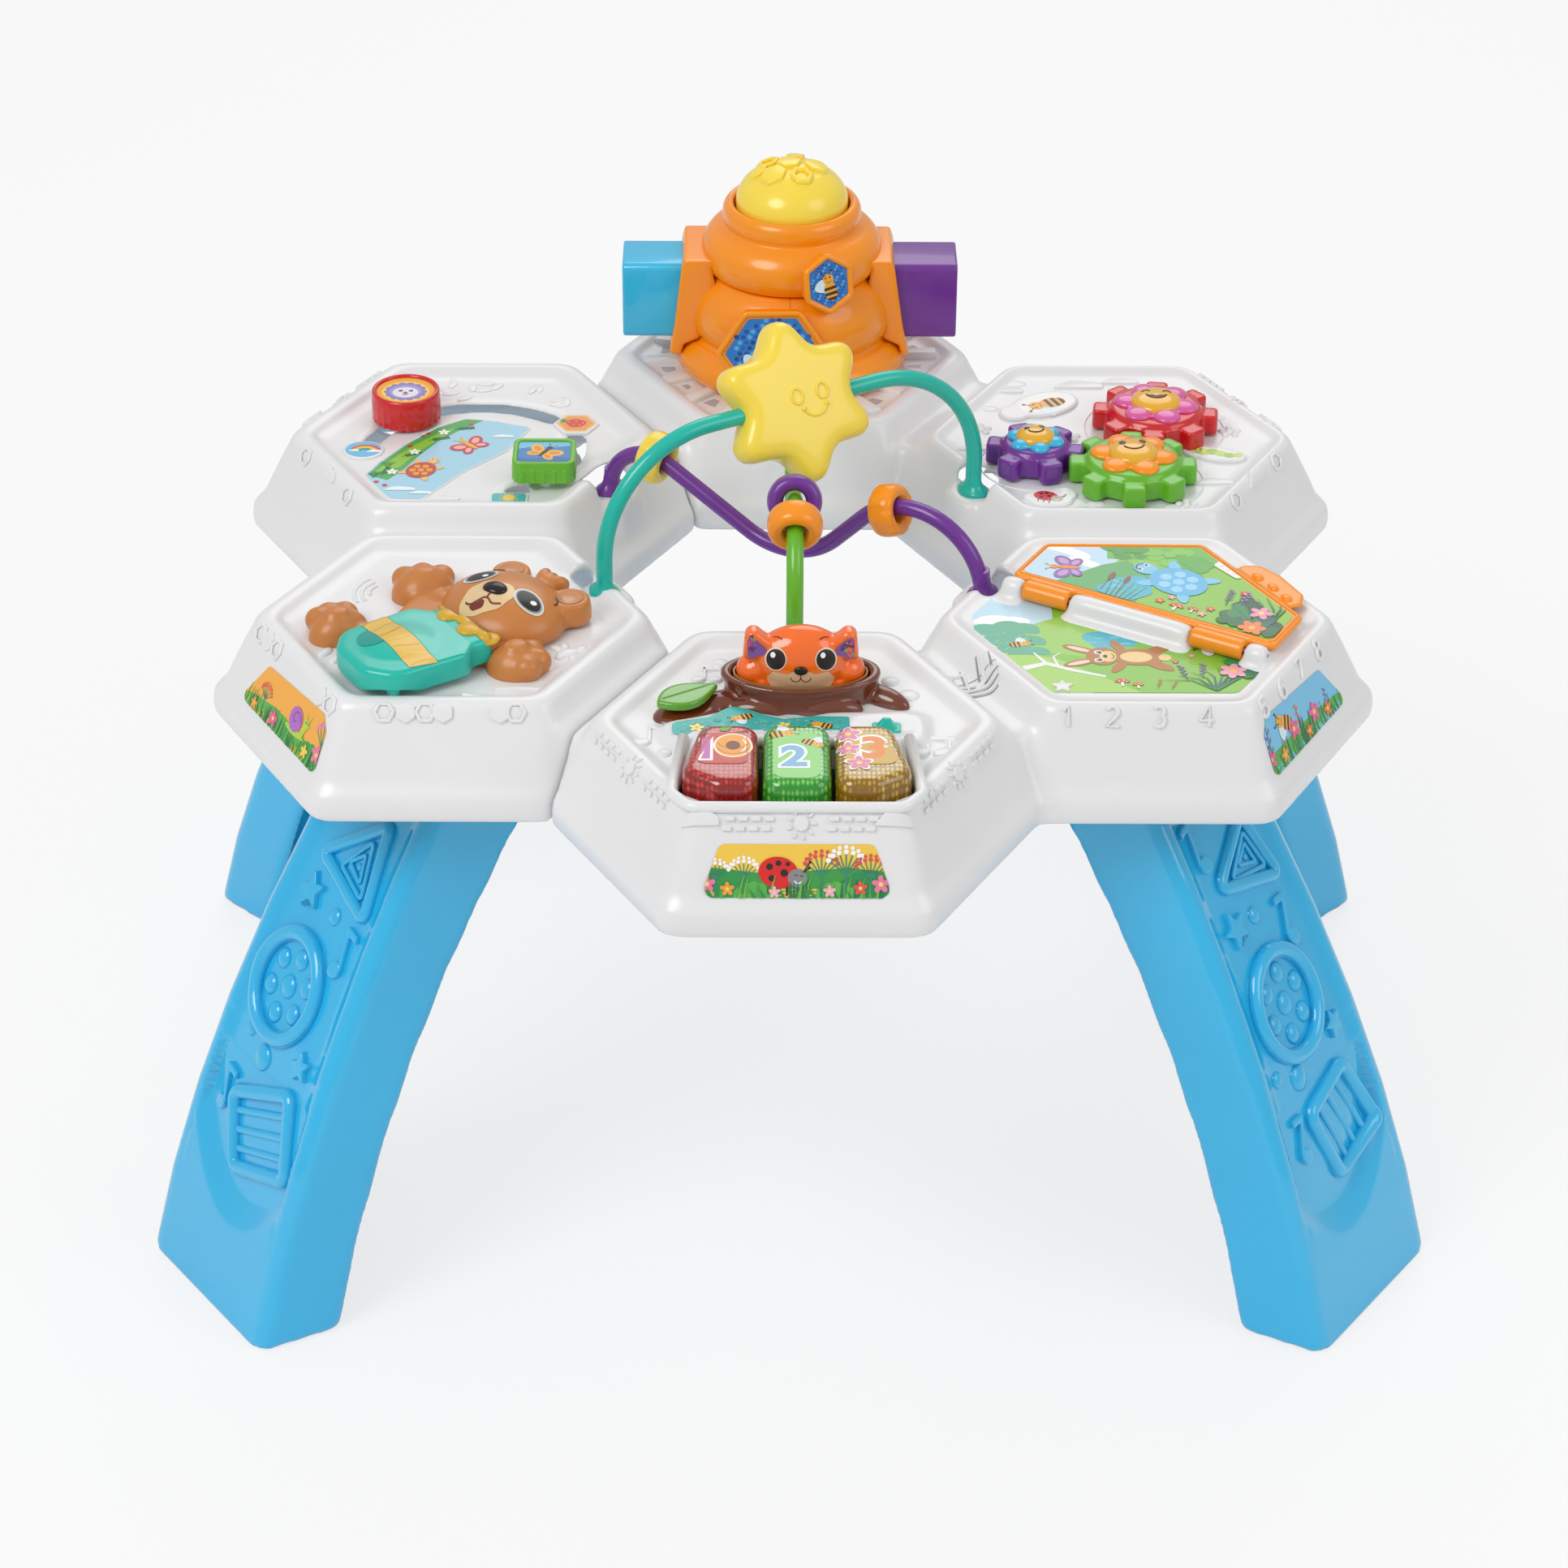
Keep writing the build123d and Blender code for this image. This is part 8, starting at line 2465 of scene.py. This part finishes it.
# ---- Stage ----
class ACTIVITY_OT_stage(bpy.types.Operator):
    """Pale floor, soft lamps and the camera"""

    bl_idname = "activity.stage"
    bl_label = "Stage, lamps and camera"

    def execute(self, context):
        scene = context.scene
        scene.view_settings.view_transform = "Standard"
        ground = bmesh.new()
        bmesh.ops.create_grid(ground, x_segments=1, y_segments=1, size=30000)
        mesh = scaled(ground)
        floor = bpy.data.objects.new("floor", mesh)
        scene.collection.objects.link(floor)
        material, tree, shader = new_material("pale_floor")
        shader.inputs["Base Color"].default_value = (0.9, 0.9, 0.9, 1)
        shader.inputs["Roughness"].default_value = 0.8
        glow = tree.nodes.new("ShaderNodeEmission")
        glow.inputs["Strength"].default_value = 1.0
        way = tree.nodes.new("ShaderNodeLightPath")
        share = tree.nodes.new("ShaderNodeMath")
        share.operation = "MULTIPLY"
        share.inputs[1].default_value = 0.72
        mix = tree.nodes.new("ShaderNodeMixShader")
        tree.links.new(way.outputs["Is Camera Ray"], share.inputs[0])
        tree.links.new(share.outputs[0], mix.inputs["Fac"])
        tree.links.new(shader.outputs["BSDF"], mix.inputs[1])
        tree.links.new(glow.outputs["Emission"], mix.inputs[2])
        tree.links.new(mix.outputs["Shader"], tree.nodes["Material Output"].inputs["Surface"])
        mesh.materials.append(material)
        world = bpy.data.worlds.new("soft_room")
        world.use_nodes = True
        world.node_tree.nodes["Background"].inputs["Color"].default_value = (1, 1, 1, 1)
        world.node_tree.nodes["Background"].inputs["Strength"].default_value = 0.55
        scene.world = world
        for name, spot, width, share in (
            ("key_lamp", (-1.5, -1.5, 2.5), 1.6, 1.0),
            ("fill_lamp", (2.2, -1.2, 2.0), 1.8, 0.4),
            ("back_lamp", (0.3, 2.2, 2.4), 2.0, 0.5),
        ):
            light = bpy.data.lights.new(name, "AREA")
            light.shape = "DISK"
            light.size = width
            light.energy = sizes().lamp_power * share
            lamp = bpy.data.objects.new(name, light)
            lamp.location = spot
            lamp.rotation_euler = (Vector((0, 0, 0.35)) - lamp.location).to_track_quat("-Z", "Y").to_euler()
            scene.collection.objects.link(lamp)
        lens = bpy.data.cameras.new("camera")
        lens.sensor_width = 36.0
        lens.lens = 96.94
        lens.clip_end = 100.0
        camera = bpy.data.objects.new("camera", lens)
        camera.location = (-0.02263, -2.0331, 1.4704)
        camera.rotation_euler = (1.010431, -0.006851, -0.004954)
        scene.collection.objects.link(camera)
        scene.camera = camera
        return {"FINISHED"}

# ---- Panel and start ----
STEPS = [cls for cls in bpy.types.Operator.__subclasses__() if cls.__name__.startswith("ACTIVITY_OT_")]


class ACTIVITY_PT_table(bpy.types.Panel):
    """Steps that build the activity table, and its settings"""

    bl_idname = "ACTIVITY_PT_table"
    bl_label = "Activity table"
    bl_space_type = "VIEW_3D"
    bl_region_type = "UI"
    bl_category = "Activity table"

    def draw(self, context):
        for step in STEPS:
            self.layout.operator(step.bl_idname)
        for group in (context.scene.table_colours, context.scene.table_sizes):
            for key in group.bl_rna.properties.keys():
                if key not in ("rna_type", "name"):
                    self.layout.prop(group, key)


def register():
    """Registers the classes and their settings."""
    for cls in (TableColours, TableSizes, *STEPS, ACTIVITY_PT_table):
        bpy.utils.register_class(cls)
    bpy.types.Scene.table_colours = PointerProperty(type=TableColours)
    bpy.types.Scene.table_sizes = PointerProperty(type=TableSizes)


def unregister():
    """Removes the settings and the classes."""
    del bpy.types.Scene.table_sizes
    del bpy.types.Scene.table_colours
    for cls in (ACTIVITY_PT_table, *reversed(STEPS), TableSizes, TableColours):
        bpy.utils.unregister_class(cls)


def main():
    """Builds everything."""
    register()
    for step in STEPS:
        group, name = step.bl_idname.split(".")
        getattr(getattr(bpy.ops, group), name)()


if __name__ == "__main__":
    main()
